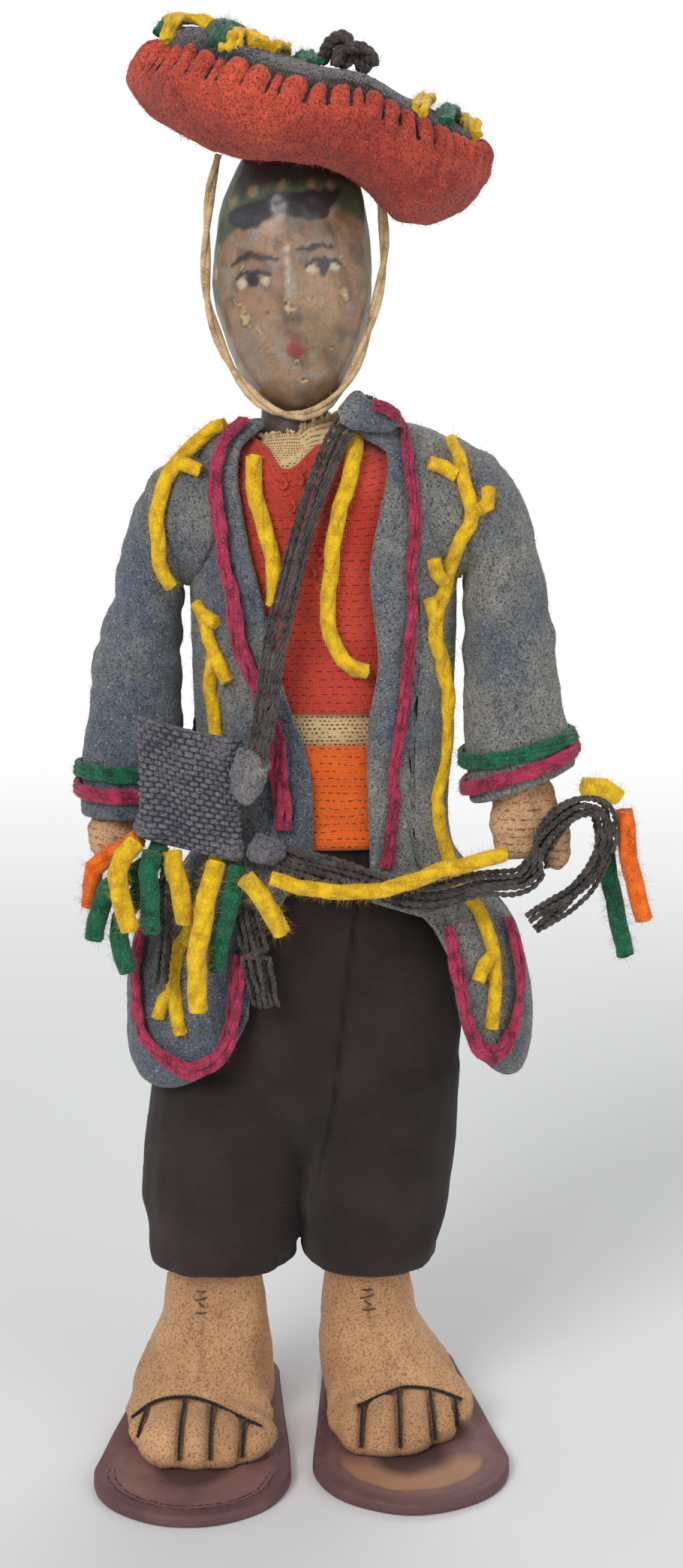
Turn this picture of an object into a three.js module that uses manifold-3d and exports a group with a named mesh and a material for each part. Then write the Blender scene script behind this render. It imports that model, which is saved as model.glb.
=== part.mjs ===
// A cloth souvenir doll standing on leather soles, with its hat, jacket, bag and sling.
// Millimetres, +Z up, the doll faces -Y. "right" and "left" in names are the doll's own sides,
// so right is at -X and left at +X.
import * as THREE from 'three';
import { mergeVertices } from 'three/addons/utils/BufferGeometryUtils.js';
import Module from 'manifold-3d';

const wasm = await Module();
wasm.setup();

// Clearances
const clearance = 0.3; // between any two pieces that touch on the real doll

// Where the doll's own middle lies from the middle of its footprint
const frameShiftX = -4.9;
const frameShiftY = -1;

// Soles
const soleLength = 79;
const soleFrontWidth = 39.4;
const soleHeelWidth = 29;
const soleThickness = 2.6;
const soleFrontRightY = -41;
const soleFrontLeftY = -36; // the left foot stands a little further back

// Legs and feet
const legTopZ = 99.6;
const toeCapLength = 22;
const toeCapHeight = 9.6;
const footWidth = 31.4;
const toeTipRightY = -23;
const toeTipLeftY = -17.6;
const stitchRadius = 0.45;

// Trousers
const trouserWall = 1.2;
const trouserHemZ = 36;
const trouserWaistZ = 131;

// Torso and the clothes over it
const torsoBottomZ = legTopZ + clearance;
const torsoTopZ = 203;
const clothRoundness = 2.3; // 2 is an ellipse, more is boxier
const shirtWall = 0.8;
const vestWall = 1.0;
const sashWall = 1.0;
const shirtBottomZ = 112;
const sashBottomZ = 126.5;
const sashTopZ = 147;
const vestBottomZ = 152.8;
const vestTopZ = 204.4;
const vestNeckZ = 198.2;

// Jacket
const feltWall = 2.0;
const jacketHemZ = 118.5;
const jacketBackHemZ = 96;
const armPlaneRight = -22.3; // flat face where the right sleeve meets the jacket
const armPlaneLeft = 30.8;
const shoulderZ = 189.5; // height of the wire that the arms turn on
const shoulderWireRadius = 0.8;

// Yarns
const thickYarn = 1.4;
const thinYarn = 1.1;
const sprigYarn = 1.25;
const tasselYarn = 1.9;
const fringeRadius = 2.3;

// Head, neck and hat
const neckRadius = 6.6;
const neckPegRadius = 4.4;
const neckPegBottomZ = 193;
const neckX = -1.2;
const chinCordRadius = 1.0;
const hatRadius = 35.5;
const hatCentre = new THREE.Vector3(1.4, -1.0, 264.6);
const hatSideTilt = THREE.MathUtils.degToRad(18);
const hatForwardTilt = THREE.MathUtils.degToRad(7);
const hatBowlDepth = 16;

// Bag, strap and sling
const bagWidth = 19;
const bagTopZ = 152;
const bagBottomZ = 128.6;
const bagSlope = -0.25; // the bag hangs askew, lower at its left
const bagMiddleX = -20.9;
const bagMiddleY = -22.6;
const strapWidth = 4.8;
const strapThickness = 2.2;
const slingRadius = 2.5;
const slingYarnRadius = 1.5;

const doll = new THREE.Group();
doll.name = 'souvenir_doll';

function cloth(color, roughness = 0.92) {
  return new THREE.MeshStandardMaterial({ color, roughness, metalness: 0 });
}

const colours = {
  skinCloth: '#a07a56',
  headPaint: '#7a5a3e',
  felt: '#5c6672',
  redFelt: '#b8402e',
  vest: '#bf3b2d',
  burlap: '#c9b48a',
  sash: '#e8661a',
  trousers: '#2a201d',
  leather: '#5f4036',
  yellow: '#e0b212',
  green: '#1f7247',
  magenta: '#8f2749',
  orange: '#ee7413',
  darkWool: '#46413f',
  bagWool: '#4b4f5b',
  black: '#1d1a1c',
  cord: '#8e7358',
  strands: '#5a4a3e',
  wire: '#8b8880',
};

function add(name, geometry, material) {
  const mesh = new THREE.Mesh(geometry, material);
  mesh.name = name;
  doll.add(mesh);
  return mesh;
}

// Closed solids from points and triangles

function closedGeometry(points, triangles) {
  let volume = 0;
  for (const [a, b, c] of triangles) {
    volume += points[a].dot(new THREE.Vector3().crossVectors(points[b], points[c]));
  }
  const index = [];
  for (const [a, b, c] of triangles) {
    index.push(a, ...(volume < 0 ? [c, b] : [b, c]));
  }
  const geometry = new THREE.BufferGeometry().setFromPoints(points);
  geometry.setIndex(index);
  geometry.computeVertexNormals();
  return geometry;
}

// A solid through closed rings of points, with a flat fan at each end
function loft(rings) {
  const count = rings[0].length;
  const points = rings.flat();
  const triangles = [];
  for (let i = 0; i < rings.length - 1; i += 1) {
    for (let j = 0; j < count; j += 1) {
      const a = i * count + j;
      const b = i * count + ((j + 1) % count);
      triangles.push([a, b, b + count], [a, b + count, a + count]);
    }
  }
  for (const i of [0, rings.length - 1]) {
    const middle = rings[i].reduce((sum, p) => sum.add(p), new THREE.Vector3()).divideScalar(count);
    points.push(middle);
    for (let j = 0; j < count; j += 1) {
      const a = i * count + j;
      const b = i * count + ((j + 1) % count);
      triangles.push(i === 0 ? [points.length - 1, b, a] : [points.length - 1, a, b]);
    }
  }
  return closedGeometry(points, triangles);
}

// A sheet with thickness between two grids of points. wrap joins the last column to the first.
function sheetSolid(outer, inner, wrap = false) {
  const rows = outer.length;
  const columns = outer[0].length;
  const points = [...outer.flat(), ...inner.flat()];
  const triangles = [];
  const outerAt = (i, j) => i * columns + (j % columns);
  const innerAt = (i, j) => rows * columns + outerAt(i, j);
  const quad = (a, b, c, d) => triangles.push([a, b, c], [a, c, d]);
  const lastColumn = wrap ? columns : columns - 1;
  for (let i = 0; i < rows - 1; i += 1) {
    for (let j = 0; j < lastColumn; j += 1) {
      quad(outerAt(i, j), outerAt(i, j + 1), outerAt(i + 1, j + 1), outerAt(i + 1, j));
      quad(innerAt(i, j), innerAt(i + 1, j), innerAt(i + 1, j + 1), innerAt(i, j + 1));
    }
  }
  for (let j = 0; j < lastColumn; j += 1) {
    quad(outerAt(0, j), innerAt(0, j), innerAt(0, j + 1), outerAt(0, j + 1));
    quad(outerAt(rows - 1, j), outerAt(rows - 1, j + 1), innerAt(rows - 1, j + 1), innerAt(rows - 1, j));
  }
  if (!wrap) {
    for (let i = 0; i < rows - 1; i += 1) {
      quad(outerAt(i, 0), outerAt(i + 1, 0), innerAt(i + 1, 0), innerAt(i, 0));
      const last = columns - 1;
      quad(outerAt(i, last), innerAt(i, last), innerAt(i + 1, last), outerAt(i + 1, last));
    }
  }
  return closedGeometry(points, triangles);
}

// A round tube along an open curve through points
function tube(points, radius, stepLength = 4.5, sides = 6) {
  const extrudePath = new THREE.CatmullRomCurve3(points, false, 'centripetal');
  const steps = Math.max(2, Math.round(extrudePath.getLength() / stepLength));
  const shape = new THREE.Shape();
  for (let i = 0; i < sides; i += 1) {
    const angle = (2 * Math.PI * i) / sides;
    const x = radius * Math.cos(angle);
    const y = radius * Math.sin(angle);
    if (i === 0) shape.moveTo(x, y);
    else shape.lineTo(x, y);
  }
  shape.closePath();
  return new THREE.ExtrudeGeometry(shape, { steps, extrudePath, bevelEnabled: false, curveSegments: 1 });
}

// A closed band of yarn. Each knot holds a point and the direction away from the cloth.
function yarnRing(knots, radius, sides = 6) {
  const rings = [];
  const count = knots.length;
  for (let i = 0; i < count; i += 1) {
    const ahead = knots[(i + 1) % count].point;
    const behind = knots[(i + count - 1) % count].point;
    const along = ahead.clone().sub(behind).normalize();
    const out = knots[i].out.clone();
    const across = new THREE.Vector3().crossVectors(along, out).normalize();
    const ring = [];
    for (let k = 0; k < sides; k += 1) {
      const angle = (2 * Math.PI * k) / sides;
      ring.push(knots[i].point.clone()
        .addScaledVector(out, radius * Math.cos(angle))
        .addScaledVector(across, radius * Math.sin(angle)));
    }
    rings.push(ring);
  }
  const points = rings.flat();
  const triangles = [];
  for (let i = 0; i < count; i += 1) {
    const next = (i + 1) % count;
    for (let k = 0; k < sides; k += 1) {
      const turn = (k + 1) % sides;
      const a = i * sides + k;
      const b = i * sides + turn;
      const c = next * sides + turn;
      const d = next * sides + k;
      triangles.push([a, b, c], [a, c, d]);
    }
  }
  return closedGeometry(points, triangles);
}

function asManifold(geometry) {
  const bare = new THREE.BufferGeometry();
  bare.setAttribute('position', geometry.getAttribute('position').clone());
  if (geometry.index) bare.setIndex(geometry.index.clone());
  const welded = mergeVertices(bare, 1e-4);
  return new wasm.Manifold(new wasm.Mesh({
    numProp: 3,
    vertProperties: new Float32Array(welded.getAttribute('position').array),
    triVerts: new Uint32Array(welded.index.array),
  }));
}

function asGeometry(manifold) {
  const mesh = manifold.getMesh();
  const geometry = new THREE.BufferGeometry();
  geometry.setAttribute('position', new THREE.BufferAttribute(new Float32Array(mesh.vertProperties), 3));
  geometry.setIndex(new THREE.BufferAttribute(new Uint32Array(mesh.triVerts), 1));
  geometry.computeVertexNormals();
  return geometry;
}

function join(...geometries) {
  return asGeometry(wasm.Manifold.union(geometries.map(asManifold)));
}

function cut(geometry, ...cutters) {
  return asGeometry(cutters.reduce((left, cutter) => left.subtract(asManifold(cutter)), asManifold(geometry)));
}

function box(low, high) {
  const size = high.clone().sub(low);
  const middle = low.clone().add(high).multiplyScalar(0.5);
  return new THREE.BoxGeometry(size.x, size.y, size.z).translate(middle.x, middle.y, middle.z);
}

// Value of a field at a place between two entries of a list, smooth through all of them
function smooth(list, place, field) {
  const i = Math.min(Math.floor(place), list.length - 2);
  const t = place - i;
  const p1 = list[i][field];
  const p2 = list[i + 1][field];
  const p0 = i > 0 ? list[i - 1][field] : 2 * p1 - p2;
  const p3 = i + 2 < list.length ? list[i + 2][field] : 2 * p2 - p1;
  const slope1 = (p2 - p0) / 2;
  const slope2 = (p3 - p1) / 2;
  const t2 = t * t;
  const t3 = t2 * t;
  return (2 * t3 - 3 * t2 + 1) * p1 + (t3 - 2 * t2 + t) * slope1
    + (3 * t2 - 2 * t3) * p2 + (t3 - t2) * slope2;
}

// An upright soft form given by stations from the bottom up: height z, middle x and y,
// half width rx and half depth ry. Angle 0 is the doll's front and 90 its left side.
function uprightForm(stations) {
  const at = (place, field) => smooth(stations, place, field);
  const power = 2 / clothRoundness;
  return {
    last: stations.length - 1,
    placeOf(z) {
      let low = 0;
      let high = stations.length - 1;
      for (let i = 0; i < 30; i += 1) {
        const middle = (low + high) / 2;
        if (at(middle, 'z') < z) low = middle;
        else high = middle;
      }
      return (low + high) / 2;
    },
    // The point at an angle in degrees, pushed out by offset square to the surface
    point(place, degrees, offset = 0) {
      const step = 0.05;
      const before = Math.max(0, place - step);
      const after = Math.min(stations.length - 1, place + step);
      const rise = at(after, 'z') - at(before, 'z');
      const spreadX = at(after, 'rx') - at(before, 'rx');
      const spreadY = at(after, 'ry') - at(before, 'ry');
      const lengthX = Math.hypot(rise, spreadX);
      const lengthY = Math.hypot(rise, spreadY);
      const angle = THREE.MathUtils.degToRad(degrees);
      const s = Math.sin(angle);
      const c = Math.cos(angle);
      const halfX = at(place, 'rx') + (offset * rise) / lengthX;
      const halfY = at(place, 'ry') + (offset * rise) / lengthY;
      const lift = -offset * ((spreadX / lengthX) * s * s + (spreadY / lengthY) * c * c);
      return new THREE.Vector3(
        at(place, 'cx') + halfX * Math.sign(s) * Math.abs(s) ** power,
        at(place, 'cy') - halfY * Math.sign(c) * Math.abs(c) ** power,
        at(place, 'z') + lift,
      );
    },
    // Angle of the front point at width x and this place
    angleOf(place, x, offset = 0) {
      const share = THREE.MathUtils.clamp((x - at(place, 'cx')) / (at(place, 'rx') + offset), -1, 1);
      const s = Math.sign(share) * Math.abs(share) ** (1 / power);
      return THREE.MathUtils.radToDeg(Math.asin(s));
    },
    // A point on the front seen at width x and height z
    front(x, z, offset = 0) {
      const place = this.placeOf(z);
      return this.point(place, this.angleOf(place, x, offset), offset);
    },
    ring(place, offset, count) {
      const points = [];
      for (let i = 0; i < count; i += 1) points.push(this.point(place, (360 * i) / count, offset));
      return points;
    },
  };
}

// A limb in the XZ plane. Each section runs from an inner to an outer point [x, z],
// is deep along Y by half its depth each way, and has its middle at y.
function limbForm(sections) {
  const list = sections.map((s) => ({
    innerX: s.inner[0], innerZ: s.inner[1], outerX: s.outer[0], outerZ: s.outer[1], y: s.y, half: s.half,
  }));
  const at = (place, field) => smooth(list, place, field);
  return {
    last: list.length - 1,
    point(place, degrees, offset = 0) {
      const inner = new THREE.Vector3(at(place, 'innerX'), at(place, 'y'), at(place, 'innerZ'));
      const outer = new THREE.Vector3(at(place, 'outerX'), at(place, 'y'), at(place, 'outerZ'));
      const middle = inner.clone().add(outer).multiplyScalar(0.5);
      const reach = outer.clone().sub(inner).multiplyScalar(0.5);
      const radius = reach.length();
      const angle = THREE.MathUtils.degToRad(degrees);
      return middle
        .addScaledVector(reach.normalize(), (radius + offset) * Math.cos(angle))
        .addScaledVector(new THREE.Vector3(0, -1, 0), (at(place, 'half') + offset) * Math.sin(angle));
    },
    ring(place, offset, count) {
      const points = [];
      for (let i = 0; i < count; i += 1) points.push(this.point(place, (360 * i) / count, offset));
      return points;
    },
  };
}

function ellipseRing(centre, halfX, halfY, count) {
  const points = [];
  for (let i = 0; i < count; i += 1) {
    const angle = (2 * Math.PI * i) / count;
    points.push(new THREE.Vector3(
      centre.x + halfX * Math.cos(angle),
      centre.y + halfY * Math.sin(angle),
      centre.z,
    ));
  }
  return points;
}

const v = (x, y, z) => new THREE.Vector3(x, y, z);

// Soles: flat leather, round at the toe and narrower at the heel

function sole(toeX, frontY, turn) {
  const front = soleFrontWidth / 2;
  const heel = soleHeelWidth / 2;
  const heelMiddleY = soleLength - front - heel;
  const shape = new THREE.Shape();
  shape.absarc(0, 0, front, Math.PI, 2 * Math.PI, false);
  shape.absarc(0, heelMiddleY, heel, 0, Math.PI, false);
  return new THREE.ExtrudeGeometry(shape, { depth: soleThickness, bevelEnabled: false, curveSegments: 18 })
    .rotateZ(turn)
    .translate(toeX, frontY + front, 0);
}

const leatherMaterial = cloth(colours.leather, 0.6);
add('sole_right', sole(-21.8, soleFrontRightY, THREE.MathUtils.degToRad(-2)), leatherMaterial);
add('sole_left', sole(21.6, soleFrontLeftY, THREE.MathUtils.degToRad(4.5)), leatherMaterial);

// Legs and feet: one stuffed piece each, flat under the foot where it meets the sole

const footBottomZ = soleThickness + clearance;
const heelFill = 17.4; // half the foot's length where the leg widens into it

// The toes' rounded end: rings from the tip back, as distance, middle x and half width
function toeCap(rows, tipY) {
  const last = rows[rows.length - 1][0];
  return loft(rows.map(([back, x, half]) => {
    const share = back / last;
    const high = toeCapHeight * (0.3 + 0.7 * Math.sqrt(Math.min(1, share * 4))) + 4 * share ** 3;
    const ring = [];
    for (let i = 0; i < 16; i += 1) {
      const angle = (2 * Math.PI * i) / 16;
      ring.push(v(
        x + half * (footWidth / 31.4) * Math.cos(angle),
        tipY + back * (toeCapLength / 22),
        footBottomZ - 1.2 + (high / 2) * (1 + Math.sin(angle)),
      ));
    }
    return ring;
  }));
}

function legAndFoot(rings, toes, tipY) {
  const leg = loft(rings.map(([z, x, y, halfX, halfY]) => ellipseRing(v(x, y, z), halfX, halfY, 18)));
  const below = box(v(-80, -80, -40), v(80, 80, footBottomZ));
  return cut(join(leg, toeCap(toes, tipY)), below);
}

const legRight = add('leg_right', legAndFoot([
  [legTopZ, -10, 0, 9.3, 9.3],
  [80, -13.2, 1, 10.4, 10.4],
  [60, -15.4, 2, 10.5, 10.5],
  [45, -17.2, 3, 9.9, 9.9],
  [34, -18.4, 4.4, 9.7, 9.7],
  [24, -18.6, 5.2, 11.3, 11.2],
  [17, -19.6, 6, 13, 13.5],
  [11, -20.9, 6.6, 14.6, heelFill - 0.8],
  [6, -21.4, 6.8, 15.2, heelFill],
  [footBottomZ - 0.5, -21.4, 6.8, 14.4, heelFill - 0.6],
], [[0, -21.5, 5], [1.2, -21.4, 8.6], [2.7, -20.4, 11], [5.2, -19.8, 13.2], [9, -20.3, 14.6], [13.5, -21, 15.4],
  [18, -21.6, 15.6], [22, -21.6, 14.6]], toeTipRightY), cloth(colours.skinCloth));
const legLeft = add('leg_left', legAndFoot([
  [legTopZ, 10, 0, 9.3, 9.3],
  [80, 13.2, 1, 10.4, 10.4],
  [60, 14.4, 2.4, 10.5, 10.5],
  [45, 13.4, 3.6, 9.4, 9.6],
  [34, 12.9, 5, 8.9, 9.3],
  [24, 13.3, 7.6, 10.2, 10.8],
  [17, 14.9, 9.6, 12.2, 13.2],
  [11, 17, 11.4, 14, heelFill - 1],
  [6, 18.3, 12.2, 14.7, heelFill],
  [footBottomZ - 0.5, 18.3, 12.2, 13.9, heelFill - 0.6],
], [[0, 15.9, 4.6], [1.2, 16, 6.8], [2.7, 16.6, 8.4], [4.6, 17.6, 10], [8, 18.6, 13], [13.5, 20.1, 15.8],
  [18, 20.1, 15.6], [22, 19.4, 14.4]], toeTipLeftY), cloth(colours.skinCloth));

// Point on top of a leg mesh above x, y, lifted square to the cloth
const downward = new THREE.Raycaster();
const bothSides = new THREE.MeshStandardMaterial({ side: THREE.DoubleSide });

function onTop(mesh, x, y, lift) {
  const probe = new THREE.Mesh(mesh.geometry, bothSides);
  downward.set(v(x, y, 32), v(0, 0, -1));
  const hit = downward.intersectObject(probe)[0];
  return hit.point.clone().addScaledVector(hit.face.normal, lift);
}

// Foot stitching: one thread over the foot that dips into short stitches between the toes
// One thread over the foot, and one down between each pair of toes: x, and distance back from the toe tip
function footStitching(mesh, tipY, across, between) {
  const lift = stitchRadius + clearance + 0.35;
  const toFoot = (back) => tipY + back * (toeCapLength / 22);
  const parts = [tube(across.map(([x, back]) => onTop(mesh, x, toFoot(back), lift)), stitchRadius, 3, 5)];
  for (const [x0, back0, x1, back1] of between) {
    const points = [0, 0.35, 0.7, 1].map((t) => (
      onTop(mesh, x0 + (x1 - x0) * t, toFoot(back0 + (back1 - back0) * t), lift)));
    parts.push(tube(points, stitchRadius, 2.6, 5));
  }
  return join(...parts);
}

add('foot_stitching_right', footStitching(legRight, toeTipRightY,
  [[-34.4, 12.6], [-30.1, 13.7], [-24.2, 13.3], [-18.9, 11.7], [-13.5, 9], [-8.4, 7.2]],
  [[-31.2, 13.3, -32.6, 8.2], [-24, 13.1, -24.6, 3.6], [-18.3, 11.4, -18.4, 3.4], [-12.2, 8.4, -12.6, 5.4]],
), cloth(colours.black));
add('foot_stitching_left', footStitching(legLeft, toeTipLeftY,
  [[7.4, 7], [11, 8.4], [16.7, 12.3], [20.8, 13.5], [26.7, 13], [31.7, 12.6]],
  [[12.1, 9, 12, 5.4], [19.3, 13.1, 19.4, 4.6], [25.8, 12.9, 26.6, 7.4], [31, 12.5, 31.6, 9.8]],
), cloth(colours.black));

// Torso: one stuffed piece, with a socket for the neck and a bore for the shoulder wire

const torsoForm = uprightForm([
  { z: torsoBottomZ, cx: 0.6, cy: 0, rx: 20, ry: 11.6 },
  { z: 112, cx: 2.8, cy: 0, rx: 19.6, ry: 11.6 },
  { z: 126, cx: 4.1, cy: 0, rx: 18.5, ry: 11 },
  { z: 140, cx: 4.1, cy: 0, rx: 18.5, ry: 10.8 },
  { z: 160, cx: 4.2, cy: 0, rx: 19.4, ry: 11.2 },
  { z: 180, cx: 4.2, cy: 0, rx: 20.3, ry: 11.6 },
  { z: 191, cx: 4.2, cy: 0, rx: 20.2, ry: 10.8 },
  { z: 197, cx: 3.8, cy: 0, rx: 19, ry: 10 },
  { z: 201, cx: 2.2, cy: 0, rx: 14.6, ry: 8.8 },
  { z: torsoTopZ, cx: -0.2, cy: 0, rx: 9.8, ry: 7.9 },
  { z: 206.2, cx: neckX, cy: 0, rx: 6.9, ry: 6.9 },
]);
const torsoTopPlace = torsoForm.last - 1;
const aroundTorso = 20; // points round each layer, so that the layers nest

// Every layer has its rows at the whole stations, so that the layers nest
function placesBetween(bottom, top) {
  const places = [bottom];
  for (let i = Math.floor(bottom) + 1; i < top - 0.15; i += 1) places.push(i);
  places.push(top);
  return places;
}

const neckSocket = new THREE.CylinderGeometry(
  neckPegRadius + clearance, neckPegRadius + clearance, 40, 20)
  .rotateX(Math.PI / 2).translate(neckX, 0, neckPegBottomZ - clearance + 20);
const wireBore = new THREE.CylinderGeometry(
  shoulderWireRadius + clearance, shoulderWireRadius + clearance, 160, 12)
  .rotateZ(Math.PI / 2).translate(0, 0, shoulderZ);

add('torso', cut(loft(placesBetween(0, torsoTopPlace).map((p) => torsoForm.ring(p, 0, aroundTorso))),
  neckSocket, wireBore),
  cloth(colours.skinCloth));

// Shoulder wire: the arms turn on its ends
const wireEndRight = -28;
const wireEndLeft = 37;
add('shoulder_wire', new THREE.CylinderGeometry(
  shoulderWireRadius, shoulderWireRadius, wireEndLeft - wireEndRight, 12)
  .rotateZ(Math.PI / 2).translate((wireEndLeft + wireEndRight) / 2, 0, shoulderZ),
new THREE.MeshStandardMaterial({ color: colours.wire, roughness: 0.4, metalness: 0.9 }));

// A layer of cloth wound all round the torso between two heights
function wrap(form, bottomZ, topZ, innerOffset, wall, neckLine = () => 0) {
  const count = aroundTorso;
  const top = form.placeOf(topZ);
  const places = placesBetween(form.placeOf(bottomZ), top);
  const dipFrom = 6;
  const grid = (offset) => places.map((place) => {
    const line = [];
    for (let j = 0; j < count; j += 1) {
      const degrees = (360 * j) / count;
      const dip = place > dipFrom ? neckLine(degrees) * ((place - dipFrom) / (top - dipFrom)) : 0;
      line.push(form.point(place - dip, degrees, offset));
    }
    return line;
  });
  return sheetSolid(grid(innerOffset + wall), grid(innerOffset), true);
}

const shirtInner = clearance;
const layerGap = clearance + 0.1;
const vestInner = shirtInner + shirtWall + layerGap;
const sashInner = vestInner + trouserWall + clearance;
add('shirt', cut(wrap(torsoForm, shirtBottomZ, 206.2, shirtInner, shirtWall), wireBore),
  cloth(colours.burlap));

// The vest's neckline has a notch at the front, a little to the right of the middle
const vestDip = torsoForm.placeOf(vestTopZ) - torsoForm.placeOf(vestNeckZ);
const notchAngle = -16;
const bump = (degrees, middle, width) => {
  const off = ((degrees - middle + 540) % 360) - 180;
  return Math.exp(-((off / width) ** 2));
};
const neckLine = (degrees) => vestDip * (0.7 * bump(degrees, notchAngle, 16) + 0.3 * bump(degrees, 0, 42));
add('vest', cut(wrap(torsoForm, vestBottomZ, vestTopZ, vestInner, vestWall, neckLine), wireBore),
  cloth(colours.vest));
add('sash', wrap(torsoForm, sashBottomZ, sashTopZ, sashInner, sashWall), cloth(colours.sash));

function yarnOn(form, route, offset, radius) {
  return tube(route.map(([x, z]) => form.front(x, z, offset + clearance + radius)), radius);
}

const vestOuter = vestInner + vestWall;
add('vest_yarn_right', yarnOn(torsoForm,
  [[-8.3, 199.4], [-7.4, 195.6], [-6.2, 191.6], [-5.4, 187.5], [-4.7, 182], [-4.7, 177.6], [-5.2, 174]],
  vestOuter, thickYarn), cloth(colours.yellow));
add('vest_yarn_left', yarnOn(torsoForm,
  [[12.2, 200.8], [10.4, 198.6], [8.4, 194.4], [6.9, 189.6], [6.1, 184], [5.5, 178], [5, 173.4], [5.7, 168.6],
    [7.4, 164.4], [10, 162], [12.6, 161.2]],
  vestOuter, thickYarn), cloth(colours.yellow));

// Trousers: one hollow cloth piece with two legs, tied at the waist under the sash

function trouserForm(grow) {
  const waistPlaceTop = torsoForm.placeOf(trouserWaistZ);
  const waistPlaceLow = torsoForm.placeOf(121);
  const outer = vestInner + trouserWall + grow;
  const seat = [
    torsoForm.ring(waistPlaceTop + (grow < 0 ? 0.2 : 0), outer, aroundTorso),
    torsoForm.ring(waistPlaceLow, outer, aroundTorso),
  ];
  const lower = uprightForm([
    { z: 56 - grow, cx: -0.4, cy: 2, rx: 9, ry: 2.6 },
    { z: 62, cx: 0, cy: 1.9, rx: 19, ry: 6.6 },
    { z: 69, cx: 0.2, cy: 1.6, rx: 27, ry: 11.6 },
    { z: 78, cx: 0.5, cy: 1.1, rx: 31, ry: 15.4 },
    { z: 88, cx: 1.2, cy: 0.6, rx: 31.2, ry: 16.2 },
    { z: 104, cx: 1.8, cy: 0.2, rx: 28.6, ry: 15.8 },
    { z: 113, cx: 2.4, cy: 0, rx: 25, ry: 15.2 },
  ]);
  for (const place of [6, 5, 4, 3, 2, 1, 0]) seat.push(lower.ring(place, grow, aroundTorso));
  const legRings = (rows) => loft(rows.map(([z, x, y, halfX, halfY]) => (
    ellipseRing(v(x, y, z), halfX + grow, halfY + grow, 18))));
  const bottom = grow < 0 ? trouserHemZ - 3 : trouserHemZ;
  const bottomIn = grow < 0 ? 0 : -2.2;
  const right = legRings([
    [80, -14.6, 1, 16, 15.4],
    [62, -16.2, 2, 16.5, 15.4],
    [51, -16.9, 2.4, 16.2, 15.2],
    [42, -16.5, 2.8, 15.4, 14.8],
    [38, -16.4, 3, 14.8, 14.2],
    [bottom, -16.4, 3, 14.8 + bottomIn, 14.2 + bottomIn],
  ]);
  const left = legRings([
    [80, 16.6, 1, 15.6, 15.4],
    [62, 15.4, 2, 15.2, 15.2],
    [51, 14.4, 2.4, 14.6, 14.8],
    [42, 14.0, 2.8, 13.8, 14.2],
    [38, 13.9, 3, 13.2, 13.6],
    [bottom, 13.9, 3, 13.2 + bottomIn, 13.6 + bottomIn],
  ]);
  return join(loft(seat), right, left);
}

add('trousers', cut(trouserForm(0), trouserForm(-trouserWall)), cloth(colours.trousers));

// Jacket of thick felt: a back and two fronts that end in hanging tails

const jacketForm = uprightForm([
  { z: 74, cx: 5.6, cy: 0.4, rx: 40.5, ry: 21 },
  { z: 88, cx: 5.4, cy: 0.3, rx: 40.8, ry: 20.6 },
  { z: 100, cx: 5, cy: 0.2, rx: 40, ry: 20 },
  { z: 108, cx: 4.8, cy: 0, rx: 38, ry: 19.4 },
  { z: 114, cx: 4.5, cy: 0, rx: 34.5, ry: 18.8 },
  { z: 120, cx: 4.3, cy: 0, rx: 29, ry: 18.2 },
  { z: 127, cx: 4.25, cy: 0, rx: 25, ry: 17.7 },
  { z: 140, cx: 4.25, cy: 0, rx: 24.7, ry: 17.4 },
  { z: 160, cx: 4.25, cy: 0, rx: 25.6, ry: 17.2 },
  { z: 180, cx: 4.25, cy: 0, rx: 26.1, ry: 17.4 },
  { z: 192, cx: 4.25, cy: 0, rx: 26.1, ry: 16.4 },
  { z: 199, cx: 4.25, cy: 0, rx: 26.1, ry: 15 },
  { z: 203.4, cx: 4.4, cy: 0, rx: 25.2, ry: 13.6 },
  { z: 206.4, cx: 4.2, cy: 0, rx: 20.4, ry: 12.4 },
  { z: 208.4, cx: 3.2, cy: 0, rx: 13.6, ry: 10.9 },
]);

// A panel of felt between two angles. Both its edges and its hem may change along the way.
function feltPanel(angleAt, hemAt, rows, columns) {
  const grid = (offset) => {
    const lines = [];
    for (let i = 0; i <= rows; i += 1) {
      const line = [];
      for (let j = 0; j <= columns; j += 1) {
        const share = j / columns;
        const low = jacketForm.placeOf(hemAt(share));
        const place = low + ((jacketForm.last - low) * i) / rows;
        line.push(jacketForm.point(place, angleAt(share, place), offset));
      }
      lines.push(line);
    }
    return lines;
  };
  return sheetSolid(grid(0), grid(-feltWall));
}

// Height of a front's hem: level near the opening, then a rounded tail towards the side
function tailHem(share, tailStart, tailEnd, tailBottomZ) {
  if (share < tailStart) return jacketHemZ;
  const middle = (tailStart + tailEnd) / 2;
  const t = Math.min(1, Math.abs(share - middle) / ((tailEnd - tailStart) / 2));
  const shoulderOfTailZ = tailBottomZ + 17;
  return shoulderOfTailZ - (shoulderOfTailZ - tailBottomZ) * Math.sqrt(1 - t * t) ** 1.2;
}

// Front edges of the jacket, as heights and widths from the doll's middle
const edgeRight = [[118, 2.2], [130, 2.2], [139, 2.0], [146, 0.8], [152, -1.6], [160, -4.1], [169, -6.4],
  [175, -7.8], [183, -8.6], [191, -9.6], [198, -10.3], [204, -9.8], [208.4, -7.4]];
const edgeLeft = [[117, 13.6], [126, 13.4], [136, 13.1], [145, 12.9], [152.4, 13.3], [158, 14.4], [163, 15.1],
  [170, 14.4], [178, 13.4], [184, 13.8], [191, 14.6], [198, 15.7], [204, 15.4], [208.4, 12.4]];

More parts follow.
